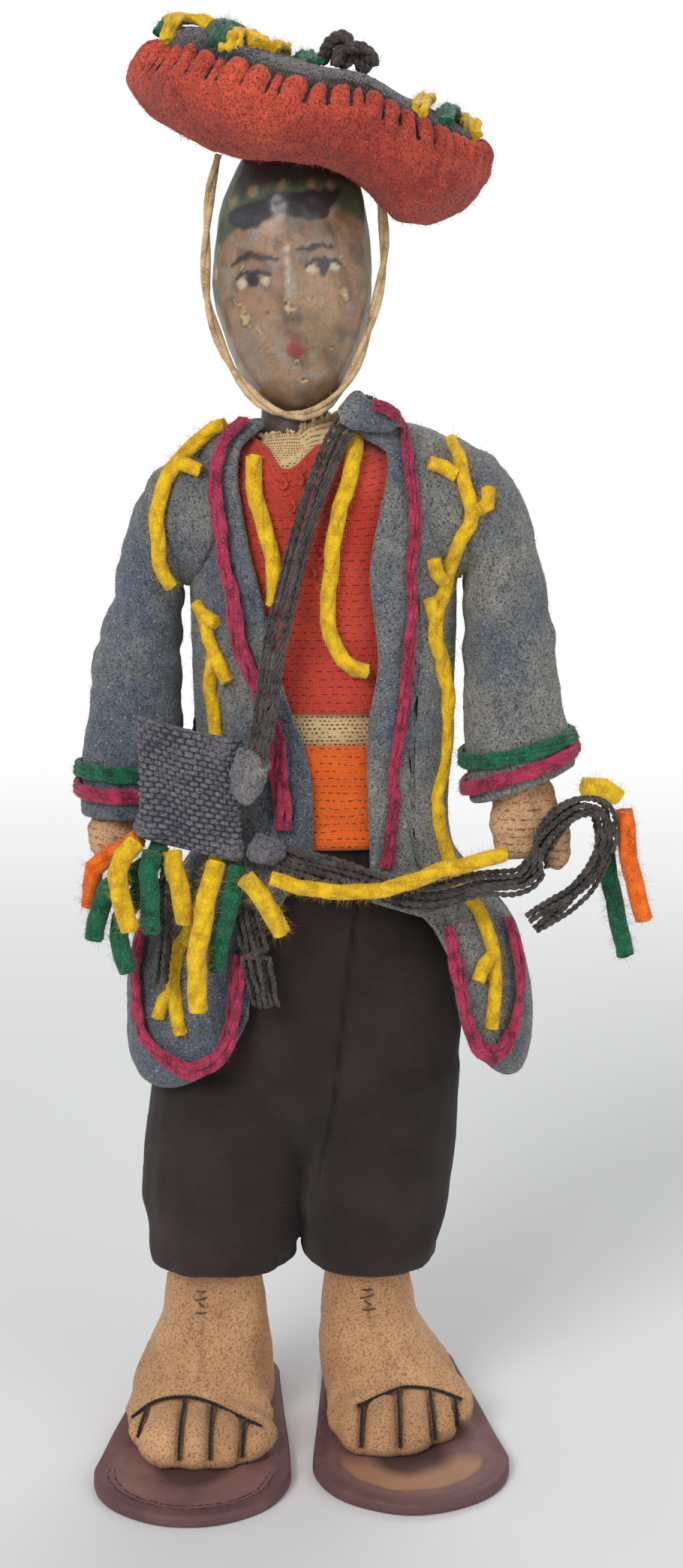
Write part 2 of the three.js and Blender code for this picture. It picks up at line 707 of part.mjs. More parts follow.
function edgeX(edge, z) {
  const last = edge.length - 1;
  if (z <= edge[0][0]) return edge[0][1];
  if (z >= edge[last][0]) return edge[last][1];
  const i = edge.findIndex(([height]) => height > z) - 1;
  const list = edge.map(([height, x]) => ({ height, x }));
  const t = (z - edge[i][0]) / (edge[i + 1][0] - edge[i][0]);
  return smooth(list, i + t, 'x');
}

const jacketHeights = (place) => jacketForm.point(place, 0).z;
const sideAngle = 90 - 0.4;

function frontPanel(side, edge, tailStart, tailEnd, tailBottomZ) {
  const angleAt = (share, place) => {
    const edgeAngle = jacketForm.angleOf(place, edgeX(edge, jacketHeights(place)));
    return edgeAngle + (side * sideAngle - edgeAngle) * share;
  };
  return feltPanel(angleAt, (share) => tailHem(share, tailStart, tailEnd, tailBottomZ), 11, 13);
}

const feltMaterial = cloth(colours.felt, 0.95);
add('jacket_front_right', cut(frontPanel(-1, edgeRight, 0.2, 1.0, 78.5), wireBore), feltMaterial);

// The left front's collar stands up beside the neck, in front of the strap
const collar = loft([
  [204.4, 13.6, -12.6, 3.0, 1.0],
  [207.5, 14, -13.8, 3.6, 1.1],
  [210.5, 13.6, -14.4, 4.4, 1.1],
  [212.8, 12.4, -14.2, 3.6, 1.0],
  [214.4, 11.6, -13.8, 1.8, 0.7],
].map(([z, x, y, halfX, halfY]) => ellipseRing(v(x, y, z), halfX, halfY, 14)));
add('jacket_front_left', cut(join(frontPanel(1, edgeLeft, 0.22, 1.0, 80.5), collar), wireBore), feltMaterial);
add('jacket_back', cut(feltPanel(
  (share) => 90.4 + (269.6 - 90.4) * share,
  (share) => jacketBackHemZ - 12 * Math.sqrt(Math.max(0, 1 - (2 * share - 1) ** 2)) ** 0.7,
  11, 13), wireBore), feltMaterial);

// Yarn sewn on the jacket

const feltPile = 0.35; // the felt's nap holds yarn this far off its face

function jacketYarn(route, radius) {
  return yarnOn(jacketForm, route, feltPile, radius);
}

add('lapel_yarn_right', jacketYarn(
  [[-11.4, 207.2], [-14.2, 204.2], [-15.8, 200], [-16.3, 195.5], [-15.5, 191], [-14.9, 187], [-14.3, 181.3],
    [-12.9, 176], [-12.2, 170.2], [-11, 164.8], [-9, 160], [-6.9, 155], [-5.2, 150.7], [-4.1, 146.5],
    [-4.2, 141.7], [-3.6, 136.9], [-3.7, 131.5]],
  thickYarn), cloth(colours.magenta));
add('lapel_yarn_left', jacketYarn(
  [[19.2, 205.4], [20.6, 201.5], [21.2, 196.4], [21.4, 190.6], [21.5, 184.5], [21.2, 179.6], [21.1, 173.7],
    [20.7, 167.8], [20.4, 161.9], [19.9, 156.6], [19, 151.2], [17.9, 145.2], [17.4, 140.4], [17.9, 136.2],
    [17.5, 131.3], [16.9, 126.4]],
  thinYarn), cloth(colours.magenta));

function branched(form, routes, radius) {
  return join(...routes.map((route) => yarnOn(form, route, feltPile, radius)));
}

add('sprig_right', branched(jacketForm, [
  [[-20, 173.4], [-18.6, 171.4], [-17.7, 167.3], [-16.4, 164.3], [-17.3, 161.2], [-17.4, 157.2], [-16.8, 153],
    [-16.2, 147], [-16, 138], [-16, 130], [-17.6, 121], [-21, 112.6], [-24.6, 105], [-24.7, 97.5], [-23.5, 90.5]],
  [[-18.4, 171.4], [-15.9, 170.4]],
  [[-16.4, 164.3], [-14.9, 161.4], [-14, 159.3]],
  [[-24.6, 99], [-27.2, 96.6], [-28, 93.4]],
], sprigYarn), cloth(colours.yellow));
add('sprig_left', branched(jacketForm, [
  [[26.2, 203.6], [27.4, 199.5], [28, 195], [28, 189.4], [27.9, 184.7], [27.4, 180.1], [26.8, 175.4],
    [25.4, 171.3], [25.8, 166.6], [27.2, 161.2], [28, 156.5], [28.1, 151.1], [28, 145.7], [27.4, 140.9],
    [26.2, 136], [26.5, 133], [26.7, 131], [27, 129], [27.5, 127], [28.2, 124.6], [29.4, 121.8], [31, 118.8],
    [34.6, 113.5], [37, 107], [37.6, 98],
    [36.8, 91.4]],
  [[24, 202.2], [25.6, 200.9], [27.2, 200]],
  [[25.2, 182.4], [25.6, 179.6], [27.1, 178]],
  [[24.5, 174.8], [24.5, 172.6], [25.4, 170.8]],
  [[37.2, 106], [35, 103.4], [34.2, 101]],
], sprigYarn), cloth(colours.yellow));
add('tail_yarn_right', jacketYarn(
  [[-31.8, 109.5], [-32.6, 97], [-30.6, 88.5], [-22.9, 83.6], [-15.2, 88], [-12.8, 97], [-12.2, 107]],
  thickYarn), cloth(colours.magenta));
add('tail_yarn_left', jacketYarn(
  [[28.4, 112], [30.4, 101.6], [33, 90.5], [37.4, 86], [41.4, 91], [42.8, 101.6], [40.6, 111]],
  thickYarn), cloth(colours.magenta));

// Sleeves, hollow, each with a stuffed arm and hand inside. Both turn on the shoulder wire.

const rightSleeve = limbForm([
  { outer: [armPlaneRight, 203.2], inner: [armPlaneRight, 176.2], y: 0, half: 12.6 },
  { outer: [-29.2, 196.4], inner: [-22.6, 177.4], y: -0.2, half: 11.8 },
  { outer: [-34.4, 185.5], inner: [-22.9, 176.6], y: -0.6, half: 10.8 },
  { outer: [-37, 173.4], inner: [-23.1, 170.6], y: -1.2, half: 10 },
  { outer: [-40.3, 164], inner: [-23.3, 161.6], y: -1.8, half: 9.4 },
  { outer: [-42, 151], inner: [-23.3, 150.6], y: -2.8, half: 9.2 },
  { outer: [-43, 141], inner: [-24, 141], y: -3.4, half: 9.2 },
  { outer: [-43.4, 132], inner: [-24.8, 132], y: -4, half: 9.2 },
]);
const leftSleeve = limbForm([
  { outer: [armPlaneLeft, 203.8], inner: [armPlaneLeft, 177.6], y: 0, half: 12.6 },
  { outer: [38.2, 199.8], inner: [31.2, 178.6], y: -0.6, half: 12 },
  { outer: [43.6, 190], inner: [31.4, 177.2], y: -1.6, half: 10.8 },
  { outer: [46.8, 176.2], inner: [31.5, 171.4], y: -3, half: 10 },
  { outer: [49, 164], inner: [31.5, 161], y: -4.6, half: 9.4 },
  { outer: [50.6, 152.4], inner: [31.2, 150.8], y: -6.4, half: 9.2 },
  { outer: [52.6, 144.4], inner: [31.8, 141], y: -7.8, half: 9 },
  { outer: [52.6, 137.6], inner: [32.6, 132.6], y: -8.8, half: 8.8 },
]);
const sleeveWall = feltWall;

// Only what lies outside the flat face at the jacket is kept
function outsidePlane(geometry, planeX) {
  const far = 90;
  const low = planeX < 0 ? v(planeX, -far, 0) : v(-far, -far, 0);
  const high = planeX < 0 ? v(far, far, 300) : v(planeX, far, 300);
  return cut(geometry, box(low, high));
}

function sleeve(form, planeX) {
  const places = Array.from({ length: form.last + 1 }, (_, i) => i);
  const shell = sheetSolid(
    places.map((p) => form.ring(p, 0, 16)),
    places.map((p) => form.ring(p, -sleeveWall, 16)),
    true,
  );
  return outsidePlane(shell, planeX);
}

function stuffedArm(form, planeX, lastPlace, handRings, extra) {
  const places = [0, 1, 2, 3, 4].filter((p) => p <= lastPlace);
  const rings = places.map((p) => form.ring(p, -sleeveWall - clearance, 16));
  for (const [x, y, z, halfX, halfY] of handRings) {
    const ring = [];
    const outward = planeX < 0 ? -1 : 1;
    for (let i = 0; i < 16; i += 1) {
      const angle = (2 * Math.PI * i) / 16;
      ring.push(v(x + outward * halfX * Math.cos(angle), y - halfY * Math.sin(angle), z));
    }
    rings.push(ring);
  }
  const solid = extra ? join(loft(rings), extra) : loft(rings);
  return cut(outsidePlane(solid, planeX), wireBore);
}

add('sleeve_right', sleeve(rightSleeve, armPlaneRight), feltMaterial);
add('sleeve_left', sleeve(leftSleeve, armPlaneLeft), feltMaterial);
add('arm_right', stuffedArm(rightSleeve, armPlaneRight, 4, [
  [-33.4, -2.6, 152, 6.2, 6],
  [-35.4, -3.4, 141, 5, 5],
  [-36.3, -4, 133, 4.5, 4.6],
  [-37, -4.4, 128, 5.3, 5.2],
  [-37, -4.6, 124.4, 4.7, 4.8],
  [-36.8, -4.6, 122.2, 2.6, 2.8],
]), cloth(colours.skinCloth));

const thumbLeft = loft([
  [44.6, -9.6, 141, 2.6],
  [46.8, -10.2, 135.4, 3.0],
  [48.8, -10.8, 129.6, 3.4],
  [49, -11.2, 125, 3.2],
  [48.6, -11.4, 122.4, 1.6],
].map(([x, y, z, r]) => ellipseRing(v(x, y, z), r, r, 12)));
add('arm_left', stuffedArm(leftSleeve, armPlaneLeft, 4, [
  [41.6, -6.8, 152, 6.2, 6],
  [42.2, -8.4, 143, 5.0, 4.8],
  [41.6, -9.8, 136.4, 4.9, 4.6],
  [41.8, -11.4, 131, 5.5, 5],
  [41.6, -11.8, 127, 4.8, 4.5],
  [41.6, -11.8, 124.8, 2.6, 2.6],
], thumbLeft), cloth(colours.skinCloth));

// Two bands of yarn round each cuff
function cuffYarn(form, place, radius) {
  const knots = [];
  const count = 16;
  for (let i = 0; i < count; i += 1) {
    const degrees = (360 * i) / count;
    const point = form.point(place, degrees, clearance + radius);
    const out = point.clone().sub(form.point(place, degrees, 0)).normalize();
    knots.push({ point, out });
  }
  return yarnRing(knots, radius);
}
const cuffYarnRadius = 1.0;
for (const [side, form] of [['right', rightSleeve], ['left', leftSleeve]]) {
  add(`cuff_green_${side}`, cuffYarn(form, 6.0, cuffYarnRadius), cloth(colours.green));
  add(`cuff_magenta_${side}`, cuffYarn(form, 6.42, cuffYarnRadius), cloth(colours.magenta));
}

// Sprig that runs on over the right sleeve
add('sleeve_sprig_right', tube(
  [[0.2, 41], [0.55, 53], [0.96, 70], [1.34, 91], [1.89, 109], [2.14, 124]].map(([place, degrees]) => (
    rightSleeve.point(place, degrees, feltPile + clearance + sprigYarn))), sprigYarn), cloth(colours.yellow));

// Head: a smooth painted egg on a neck, with a peg in the torso's socket

const headStations = [
  [209.2, -0.5, -3.4, 2.0, 2.3],
  [210.6, -0.7, -2.8, 5.3, 5.8],
  [213.2, -0.9, -2.2, 8.1, 8.6],
  [217.0, -1.1, -1.4, 10.5, 10.8],
  [223.5, -1.3, -0.6, 13.2, 13.2],
  [230.5, -1.6, 0, 14.9, 14.8],
  [237.5, -1.6, 0.4, 15.0, 15.4],
  [244.5, -1.5, 0.6, 14.2, 15.2],
  [250.5, -1.2, 0.6, 12.7, 14.0],
  [256.5, -0.9, 0.6, 10.2, 11.6],
  [260.4, -0.8, 0.6, 6.8, 8.2],
  [262.4, -0.8, 0.6, 2.4, 3.0],
];
const headSolid = (grow) => loft(headStations.map(([z, x, y, halfX, halfY], i) => {
  const lift = grow * (i < 3 ? -1 : 0) + grow * (i > 8 ? 1 : 0);
  return ellipseRing(v(x, y, z + lift), halfX + grow, halfY + grow, 20);
}));
const neck = loft([
  [neckPegBottomZ, neckPegRadius],
  [torsoTopZ + 0.4, neckPegRadius],
  [torsoTopZ + 0.45, neckRadius],
  [214, neckRadius - 0.4],
].map(([z, r]) => ellipseRing(v(neckX, 0, z), r, r, 16)));
add('head', join(headSolid(0), neck), cloth(colours.headPaint, 0.35));

// Hat: a thick felt bowl with a woven top, worn aslant and pushed down on the head

const hatPose = new THREE.Matrix4().makeTranslation(hatCentre)
  .multiply(new THREE.Matrix4().makeRotationY(hatSideTilt))
  .multiply(new THREE.Matrix4().makeRotationX(hatForwardTilt));
const inHat = (x, y, z) => v(x, y, z).applyMatrix4(hatPose);

function turned(profile, count) {
  return new THREE.LatheGeometry(profile.map(([r, z]) => new THREE.Vector2(r, z)), count)
    .rotateX(Math.PI / 2).applyMatrix4(hatPose);
}

const hatFloorZ = 5.6 - hatBowlDepth;
const hatSeatZ = 3.9;
const bowl = turned([
  [0, hatFloorZ],
  [hatRadius * 0.48, hatFloorZ],
  [hatRadius * 0.74, hatFloorZ + 1.7],
  [hatRadius * 0.9, hatFloorZ + 5],
  [hatRadius * 0.985, hatFloorZ + 9.6],
  [hatRadius, hatFloorZ + 12.6],
  [hatRadius * 0.968, 4.8],
  [hatRadius * 0.92, 5.6],
  [hatRadius * 0.89, 5.0],
  [hatRadius * 0.885, hatSeatZ],
  [0, hatSeatZ],
], 28);
add('hat_underside', cut(bowl, headSolid(clearance + 0.1)), cloth(colours.redFelt));
const topRadius = hatRadius * 0.885 - clearance;
add('hat_top', turned([
  [0, hatSeatZ + clearance],
  [topRadius, hatSeatZ + clearance],
  [topRadius, 6.2],
  [topRadius * 0.82, 7.4],
  [topRadius * 0.4, 8.1],
  [0, 8.2],
], 28), cloth(colours.darkWool));

// Wool strips over the hat's top, from near its middle to its edge
const hatYarnRadius = 1.6;
const hatYarns = [
  [200, 'yellow'], [219, 'green'], [240, 'yellow'], [318, 'yellow'], [333, 'green'],
];
hatYarns.forEach(([degrees, colour], i) => {
  const angle = THREE.MathUtils.degToRad(degrees);
  const lift = hatYarnRadius + clearance + 0.1;
  const route = [[0.34, 8.1], [0.6, 7.9], [0.82, 7.4], [0.97, 6.6]].map(([share, z]) => (
    inHat(topRadius * share * Math.cos(angle), topRadius * share * Math.sin(angle), z + lift)));
  add(`hat_yarn_${i + 1}`, tube(route, hatYarnRadius), cloth(colours[colour]));
});

// Knotted loop in the middle of the hat
const knotLoop = new THREE.TorusGeometry(3, 1.1, 6, 12).rotateX(Math.PI / 2).rotateZ(0.5)
  .translate(3.2, -4, 8.4 + clearance + 3.6);
const knotBase = new THREE.SphereGeometry(2.2, 10, 6).translate(3.2, -4, 8.4 + clearance + 2.1);
add('hat_knot', join(knotLoop, knotBase).applyMatrix4(hatPose), cloth(colours.darkWool));

// Chin cord, from one side of the hat round under the chin to the other
const cordTopRight = [-15.4, -2, 257.2];
const cordTopLeft = [14.9, -2, 247.6];
add('chin_cord', tube([
  cordTopRight, [-17.4, -2.6, 250], [-18.3, -3.4, 240], [-18.3, -4.2, 230.5], [-16.6, -5.5, 221.5],
  [-12.8, -7, 215.2], [-7, -8.6, 210.9], [-0.5, -9.4, 209], [6, -8.6, 211.3], [11.6, -6.8, 217],
  [15.2, -5, 225], [16.8, -3.6, 233], [16.6, -2.6, 241], cordTopLeft,
].map((p) => v(...p)), chinCordRadius, 5, 8), cloth(colours.cord));

// Strap: a flat bundle of strands from the bag up over the left shoulder and down the back

function ribbon(knots, width, thickness) {
  return loft(knots.map(({ point, out }, i) => {
    const ahead = knots[Math.min(i + 1, knots.length - 1)].point;
    const behind = knots[Math.max(i - 1, 0)].point;
    const along = ahead.clone().sub(behind).normalize();
    const across = new THREE.Vector3().crossVectors(along, out).normalize();
    const outward = new THREE.Vector3().crossVectors(across, along).normalize();
    const ring = [];
    for (let k = 0; k < 8; k += 1) {
      const angle = (2 * Math.PI * k) / 8;
      ring.push(point.clone()
        .addScaledVector(across, (width / 2) * Math.cos(angle))
        .addScaledVector(outward, (thickness / 2) * Math.sin(angle)));
    }
    return ring;
  }));
}

const strapBottom = v(-6.4, -23.4, 155.3);
const strapFront = [
  strapBottom, v(-4.9, -21, 166), v(-2.2, -18.8, 177), v(0.7, -17.2, 188), v(3.7, -15.8, 197.5),
  v(6.4, -14, 204), v(9.2, -11, 208.6), v(12, -7.4, 210.7), v(13.8, -2.6, 211.2), v(14.4, 3, 211.2), v(14.4, 8, 210.6),
];
const strapBack = [];
for (let i = 1; i <= 9; i += 1) {
  const t = i / 9;
  const degrees = 148 + 102 * t;
  const z = 207.4 - 62 * t ** 1.4;
  strapBack.push(jacketForm.point(jacketForm.placeOf(z), degrees, clearance + 0.5 + strapThickness / 2));
}
const strapCurve = new THREE.CatmullRomCurve3([...strapFront, ...strapBack], false, 'centripetal');
const strapSteps = 28;
const strapKnots = [];
for (let i = 0; i <= strapSteps; i += 1) {
  const point = strapCurve.getPoint(i / strapSteps);
  const out = point.clone().sub(v(4, 0, Math.min(point.z, 196))).normalize();
  strapKnots.push({ point, out });
}
add('bag_strap', ribbon(strapKnots, strapWidth, strapThickness), cloth(colours.strands));

// Bag: a small woven pouch with drawn-out corners, hanging from the strap's end
const bagSections = [
  [0.0, 0.97, 0.55], [0.08, 1.0, 0.95], [0.4, 0.96, 1.15], [0.75, 0.97, 0.95], [0.93, 1.02, 0.65], [1.0, 1.05, 0.4],
];
const bagHalfDepth = 2.4;
add('bag', loft(bagSections.map(([share, wide, deep]) => {
  const ring = [];
  for (let k = 0; k < 20; k += 1) {
    const angle = (2 * Math.PI * k) / 20;
    const c = Math.cos(angle);
    const s = Math.sin(angle);
    const across = (bagWidth / 2) * wide * Math.sign(c) * Math.abs(c) ** 0.6;
    ring.push(v(
      bagMiddleX + across,
      bagMiddleY + bagHalfDepth * deep * Math.sign(s) * Math.abs(s) ** 0.7,
      bagBottomZ + (bagTopZ - bagBottomZ) * share + bagSlope * across,
    ));
  }
  return ring;
})), cloth(colours.bagWool));

// Knot: the strap's end runs down beside the bag into a lump of the bag's own wool
add('bag_knot', loft([
  [154.5, -6.6, 2.3, 1.3],
  [150.5, -7.2, 2.3, 1.4],
  [147.4, -8.2, 2.4, 1.5],
  [146, -8.7, 3.0, 1.9],
  [143.4, -8.8, 3.2, 2.2],
  [140.4, -9.2, 2.6, 1.9],
  [138.4, -9.4, 1.2, 1.0],
].map(([z, x, halfX, halfY]) => ellipseRing(v(x, strapBottom.y - 1.3, z), halfX, halfY, 16))),
cloth(colours.bagWool));

// Wool ends under the bag, from right to left, and one bundle of brown strands
const bagTassels = [
  ['orange', [[[-30.4, -20.6, 130.4], [-31.6, -20.4, 128.8], [-35.6, -19.6, 127.4], [-38.7, -19.4, 125.2],
    [-39.8, -19.4, 121.5], [-40.3, -19.4, 116.8]]]],
  ['green', [
    [[-26.6, -21, 129.2], [-27.8, -21, 126], [-33, -22.6, 123.4], [-36.8, -23.6, 120.8], [-38.3, -23.6, 116],
      [-39.2, -23.4, 111.4]],
    [[-27.2, -21, 127.4], [-31, -21.4, 119.8], [-34.6, -21.8, 113.8], [-34.4, -21.8, 109.9], [-33, -21.6, 104.6]],
  ]],
  ['yellow', [[[-31, -24.6, 130.2], [-32.2, -25.6, 129], [-34, -27.1, 126.4], [-34.1, -27.4, 122.3],
    [-33.2, -27.4, 118.7], [-32, -27, 114]]]],
  ['green', [[[-27.8, -25, 128.6], [-28.6, -25.2, 124.7], [-28.4, -25.2, 119.5], [-28, -24.8, 113]]]],
  ['yellow', [[[-24.2, -23, 128.2], [-23.8, -24, 124.9], [-22.8, -23.8, 121], [-21.9, -22.6, 114.6]]]],
  ['yellow', [[[-16, -23.2, 126.2], [-17.2, -25, 121.3], [-18.6, -26, 114.8], [-19.6, -26, 108.3],
    [-19.5, -25.6, 97.8]]]],
  ['green', [[[-11.9, -22.4, 125.2], [-13.1, -24, 119], [-15.4, -22.4, 111.4], [-16, -22, 104.8]]]],
  ['yellow', [[[-10.4, -26.6, 124], [-7.7, -26, 120.8], [-5.4, -25.4, 117], [-3.7, -25, 112.8]]]],
];
bagTassels.forEach(([colour, routes], i) => {
  const ends = routes.map((route) => tube(route.map((p) => v(...p)), tasselYarn));
  add(`bag_tassel_${i + 1}`, join(...ends), cloth(colours[colour]));
});
add('bag_fringe', tube([v(-10.6, -20.6, 116.6), v(-9.2, -21, 110), v(-8, -21.8, 105), v(-6.6, -21.8, 97.8)], fringeRadius),
  cloth(colours.strands));

// Sling: a sagging bundle of strands and a yellow yarn from beside the bag to the left hand
const slingLump = new THREE.SphereGeometry(3.2, 12, 8).scale(1, 0.75, 0.95).translate(-7, -22.4, 128.9);
add('sling', join(slingLump, tube([
  v(-6.4, -22.2, 128.4), v(-1.6, -21.8, 126.4), v(4, -22.2, 124.9), v(9.6, -22.4, 123.4), v(15.2, -22.6, 121.4),
  v(20.8, -22.8, 119.4), v(26.5, -22.8, 119.4), v(33.7, -21, 121.2), v(42.6, -17.2, 121.6),
], slingRadius, 4.5, 8)), cloth(colours.strands));
add('sling_yarn', tube([
  v(-5.6, -27.2, 124), v(1.2, -27.4, 122.1), v(9.6, -27.6, 121.4), v(17.9, -27.4, 122.4), v(26.2, -26.2, 125.2),
  v(33.4, -24.2, 126.6), v(38.4, -21.2, 127.4),
], slingYarnRadius, 4.5, 8), cloth(colours.yellow));

// Loop of the sling round the left hand, with its wool ends
const slingLoopRadius = 2.1;
add('sling_loop', tube([
  v(45.2, -16.6, 123.2), v(45.6, -17.6, 128), v(48.4, -18.6, 132.6), v(53, -18.6, 135.6), v(57.2, -16.4, 134.4),
  v(58.6, -14.6, 129), v(56, -14.8, 122.4), v(50.6, -15.8, 117), v(44.4, -16, 112.4),
], slingLoopRadius, 4.2, 8), cloth(colours.strands));
const slingTassels = [
  ['orange', [[62, -13.2, 134.2], [63.4, -12.6, 124], [66.4, -12.4, 112.5]]],
  ['green', [[58.4, -9.8, 128.6], [60.6, -9.4, 117], [63.2, -9.4, 104.5]]],
  ['yellow', [[53.4, -19.6, 140], [57, -18.4, 139.8], [60.4, -16.8, 137.6]]],
];
for (const [colour, route] of slingTassels) {
  add(`sling_tassel_${colour}`, tube(route.map((p) => v(...p)), tasselYarn), cloth(colours[colour]));
}

doll.position.set(frameShiftX, frameShiftY, 0);
doll.updateMatrixWorld(true);

export default doll;
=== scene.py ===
import math

import bmesh
import bpy
import numpy as np
from mathutils import Matrix, Vector


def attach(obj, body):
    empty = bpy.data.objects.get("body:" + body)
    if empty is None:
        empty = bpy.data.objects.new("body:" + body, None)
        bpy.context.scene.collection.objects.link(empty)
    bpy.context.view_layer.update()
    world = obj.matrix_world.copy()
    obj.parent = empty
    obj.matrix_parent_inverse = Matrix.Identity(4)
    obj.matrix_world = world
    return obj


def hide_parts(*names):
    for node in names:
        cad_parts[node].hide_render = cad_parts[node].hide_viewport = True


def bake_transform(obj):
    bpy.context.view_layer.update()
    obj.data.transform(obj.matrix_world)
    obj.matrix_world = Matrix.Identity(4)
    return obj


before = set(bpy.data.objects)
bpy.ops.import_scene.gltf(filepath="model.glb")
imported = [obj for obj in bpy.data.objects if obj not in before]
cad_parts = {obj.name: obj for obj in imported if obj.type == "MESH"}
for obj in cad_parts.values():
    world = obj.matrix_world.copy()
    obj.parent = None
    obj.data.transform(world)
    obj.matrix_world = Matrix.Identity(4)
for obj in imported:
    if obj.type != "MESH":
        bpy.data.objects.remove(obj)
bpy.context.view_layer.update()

# The camera stands in front of the doll at chest height, a little to its left, and looks slightly down.
# The frame is 910 by 2089, and the longer side carries the sensor's width.
camera_data = bpy.data.cameras.new("camera")
camera_data.sensor_width = 36
camera_data.lens = 54.16
camera_data.dof.use_dof = False
camera = bpy.data.objects.new("camera", camera_data)
camera.location = (0.0028, -0.459, 0.221)
camera.rotation_euler = (math.radians(90 - 10.4), 0, 0)
bpy.context.scene.collection.objects.link(camera)
bpy.context.scene.camera = camera
bpy.context.scene.view_settings.view_transform = "Standard"


# Floor: a wide pale disc, matt and plain, that the doll stands on. It keeps the doll's shadow near it and
# fades into the white round it.
def colour_of(shade):
    """A colour as a screen shows it, 0 to 255, in the linear values that shaders take."""
    return (*(c / 255 / 12.92 if c <= 10.3 else ((c / 255 + 0.055) / 1.055) ** 2.4 for c in shade), 1)


def put(tree, kind, **inputs):
    """A node with its inputs: a socket is linked, anything else is set. Names' spaces are written as _, and a
    colour of three numbers is as a screen shows it."""
    made = tree.nodes.new(kind)
    for name, value in inputs.items():
        if hasattr(made, name) and not name[0].isupper() and name[0] != "_":
            setattr(made, name, value)
            continue
        key = int(name[1:]) if name[0] == "_" else name.replace("_", " ")
        socket = made.inputs[key]
        if isinstance(value, bpy.types.NodeSocket):
            tree.links.new(value, socket)
        elif socket.type == "RGBA" and len(value) == 3:
            socket.default_value = colour_of(value)
        else:
            socket.default_value = value
    return made


def maths(tree, operation, *values):
    """The result of one step of arithmetic."""
    values = {f"_{i}": value for i, value in enumerate(values)}
    return put(tree, "ShaderNodeMath", operation=operation, **values).outputs["Value"]


def material_of(name):
    made = bpy.data.materials.new(name)
    made.use_nodes = True
    made.node_tree.nodes.clear()
    return made, made.node_tree


def finish_with(tree, shader):
    tree.links.new(shader, tree.nodes.new("ShaderNodeOutputMaterial").inputs["Surface"])


floor_radius = 3.0
fade_start = 0.22
fade_end = 0.9
floor_material, tree = material_of("floor")
place = put(tree, "ShaderNodeTexCoord")
away = put(tree, "ShaderNodeVectorMath", operation="LENGTH", _0=place.outputs["Object"])
fade = put(tree, "ShaderNodeMapRange", interpolation_type="SMOOTHSTEP", Value=away.outputs["Value"],
           From_Min=fade_start, From_Max=fade_end)
rays = put(tree, "ShaderNodeLightPath")
seen = maths(tree, "MAXIMUM", rays.outputs["Is Camera Ray"], rays.outputs["Is Glossy Ray"])
white_share = maths(tree, "MULTIPLY", fade.outputs["Result"], seen)
matt = put(tree, "ShaderNodeBsdfDiffuse", Color=(0.80, 0.80, 0.80, 1))
glow = put(tree, "ShaderNodeEmission", Color=(1, 1, 1, 1), Strength=1.0)
mixed = put(tree, "ShaderNodeMixShader", Fac=white_share, _1=matt.outputs["BSDF"],
            _2=glow.outputs["Emission"])
finish_with(tree, mixed.outputs["Shader"])
floor_mesh = bpy.data.meshes.new("floor")
shape = bmesh.new()
bmesh.ops.create_circle(shape, cap_ends=True, radius=floor_radius, segments=64)
shape.to_mesh(floor_mesh)
shape.free()
floor_mesh.materials.append(floor_material)
floor = bpy.data.objects.new("floor", floor_mesh)
bpy.context.scene.collection.objects.link(floor)

# Light: a big soft lamp from the front left, a weaker one from the front right, one from behind above,
# and an even pale sky. The sky is plain white where the camera sees it.
world = bpy.data.worlds.new("sky")
world.use_nodes = True
tree = world.node_tree
tree.nodes.clear()
rays = put(tree, "ShaderNodeLightPath")
seen = maths(tree, "MAXIMUM", rays.outputs["Is Camera Ray"], rays.outputs["Is Transmission Ray"])
dim = put(tree, "ShaderNodeBackground", Color=(0.96, 0.98, 1.0, 1), Strength=0.42)
bright = put(tree, "ShaderNodeBackground", Color=(1, 1, 1, 1), Strength=1.0)
both = put(tree, "ShaderNodeMixShader", Fac=seen, _1=dim.outputs["Background"],
           _2=bright.outputs["Background"])
tree.links.new(both.outputs["Shader"], tree.nodes.new("ShaderNodeOutputWorld").inputs["Surface"])
bpy.context.scene.world = world

lamp_aim = Vector((0, 0, 0.15))
for name, where, size, power in (
    ("key_lamp", (-0.55, -1.05, 0.85), 0.55, 10.5),
    ("fill_lamp", (0.85, -0.85, 0.45), 0.9, 3.6),
    ("back_lamp", (0.25, 0.9, 0.95), 0.7, 5.0),
):
    lamp_data = bpy.data.lights.new(name, "AREA")
    lamp_data.size = size
    lamp_data.energy = power
    lamp = bpy.data.objects.new(name, lamp_data)
    lamp.location = where
    lamp.rotation_euler = (lamp_aim - Vector(where)).to_track_quat("-Z", "Y").to_euler()
    bpy.context.scene.collection.objects.link(lamp)

# Sling: a soft bundle of dark brown strands from beside the bag to the left hand, where it makes a loop with
# cut ends, and a thick yellow yarn that lies along it. Each strand is two thin plies twisted together.
row_shift = (-0.0049, -0.001)  # from the doll's own middle to the middle of its footprint


def route(*points):
    """Points in the doll's own millimetres, as they are in the part's source, in the row frame's metres."""
    return [Vector((x / 1000 + row_shift[0], y / 1000 + row_shift[1], z / 1000)) for x, y, z in points]


def smooth_line(points, step=0.0012):
    """A smooth line through the points, with a point every step."""
    points = [Vector(p) for p in points]
    knots = [points[0] * 2 - points[1], *points, points[-1] * 2 - points[-2]]
    line = []
    for a, b, c, d in zip(knots, knots[1:], knots[2:], knots[3:]):
        count = max(1, round((c - b).length / step))
        for i in range(count):
            t = i / count
            line.append(0.5 * ((2 * b) + (c - a) * t + (2 * a - 5 * b + 4 * c - d) * t * t
                               + (3 * b - a - 3 * c + d) * t * t * t))
    line.append(points[-1].copy())
    return line


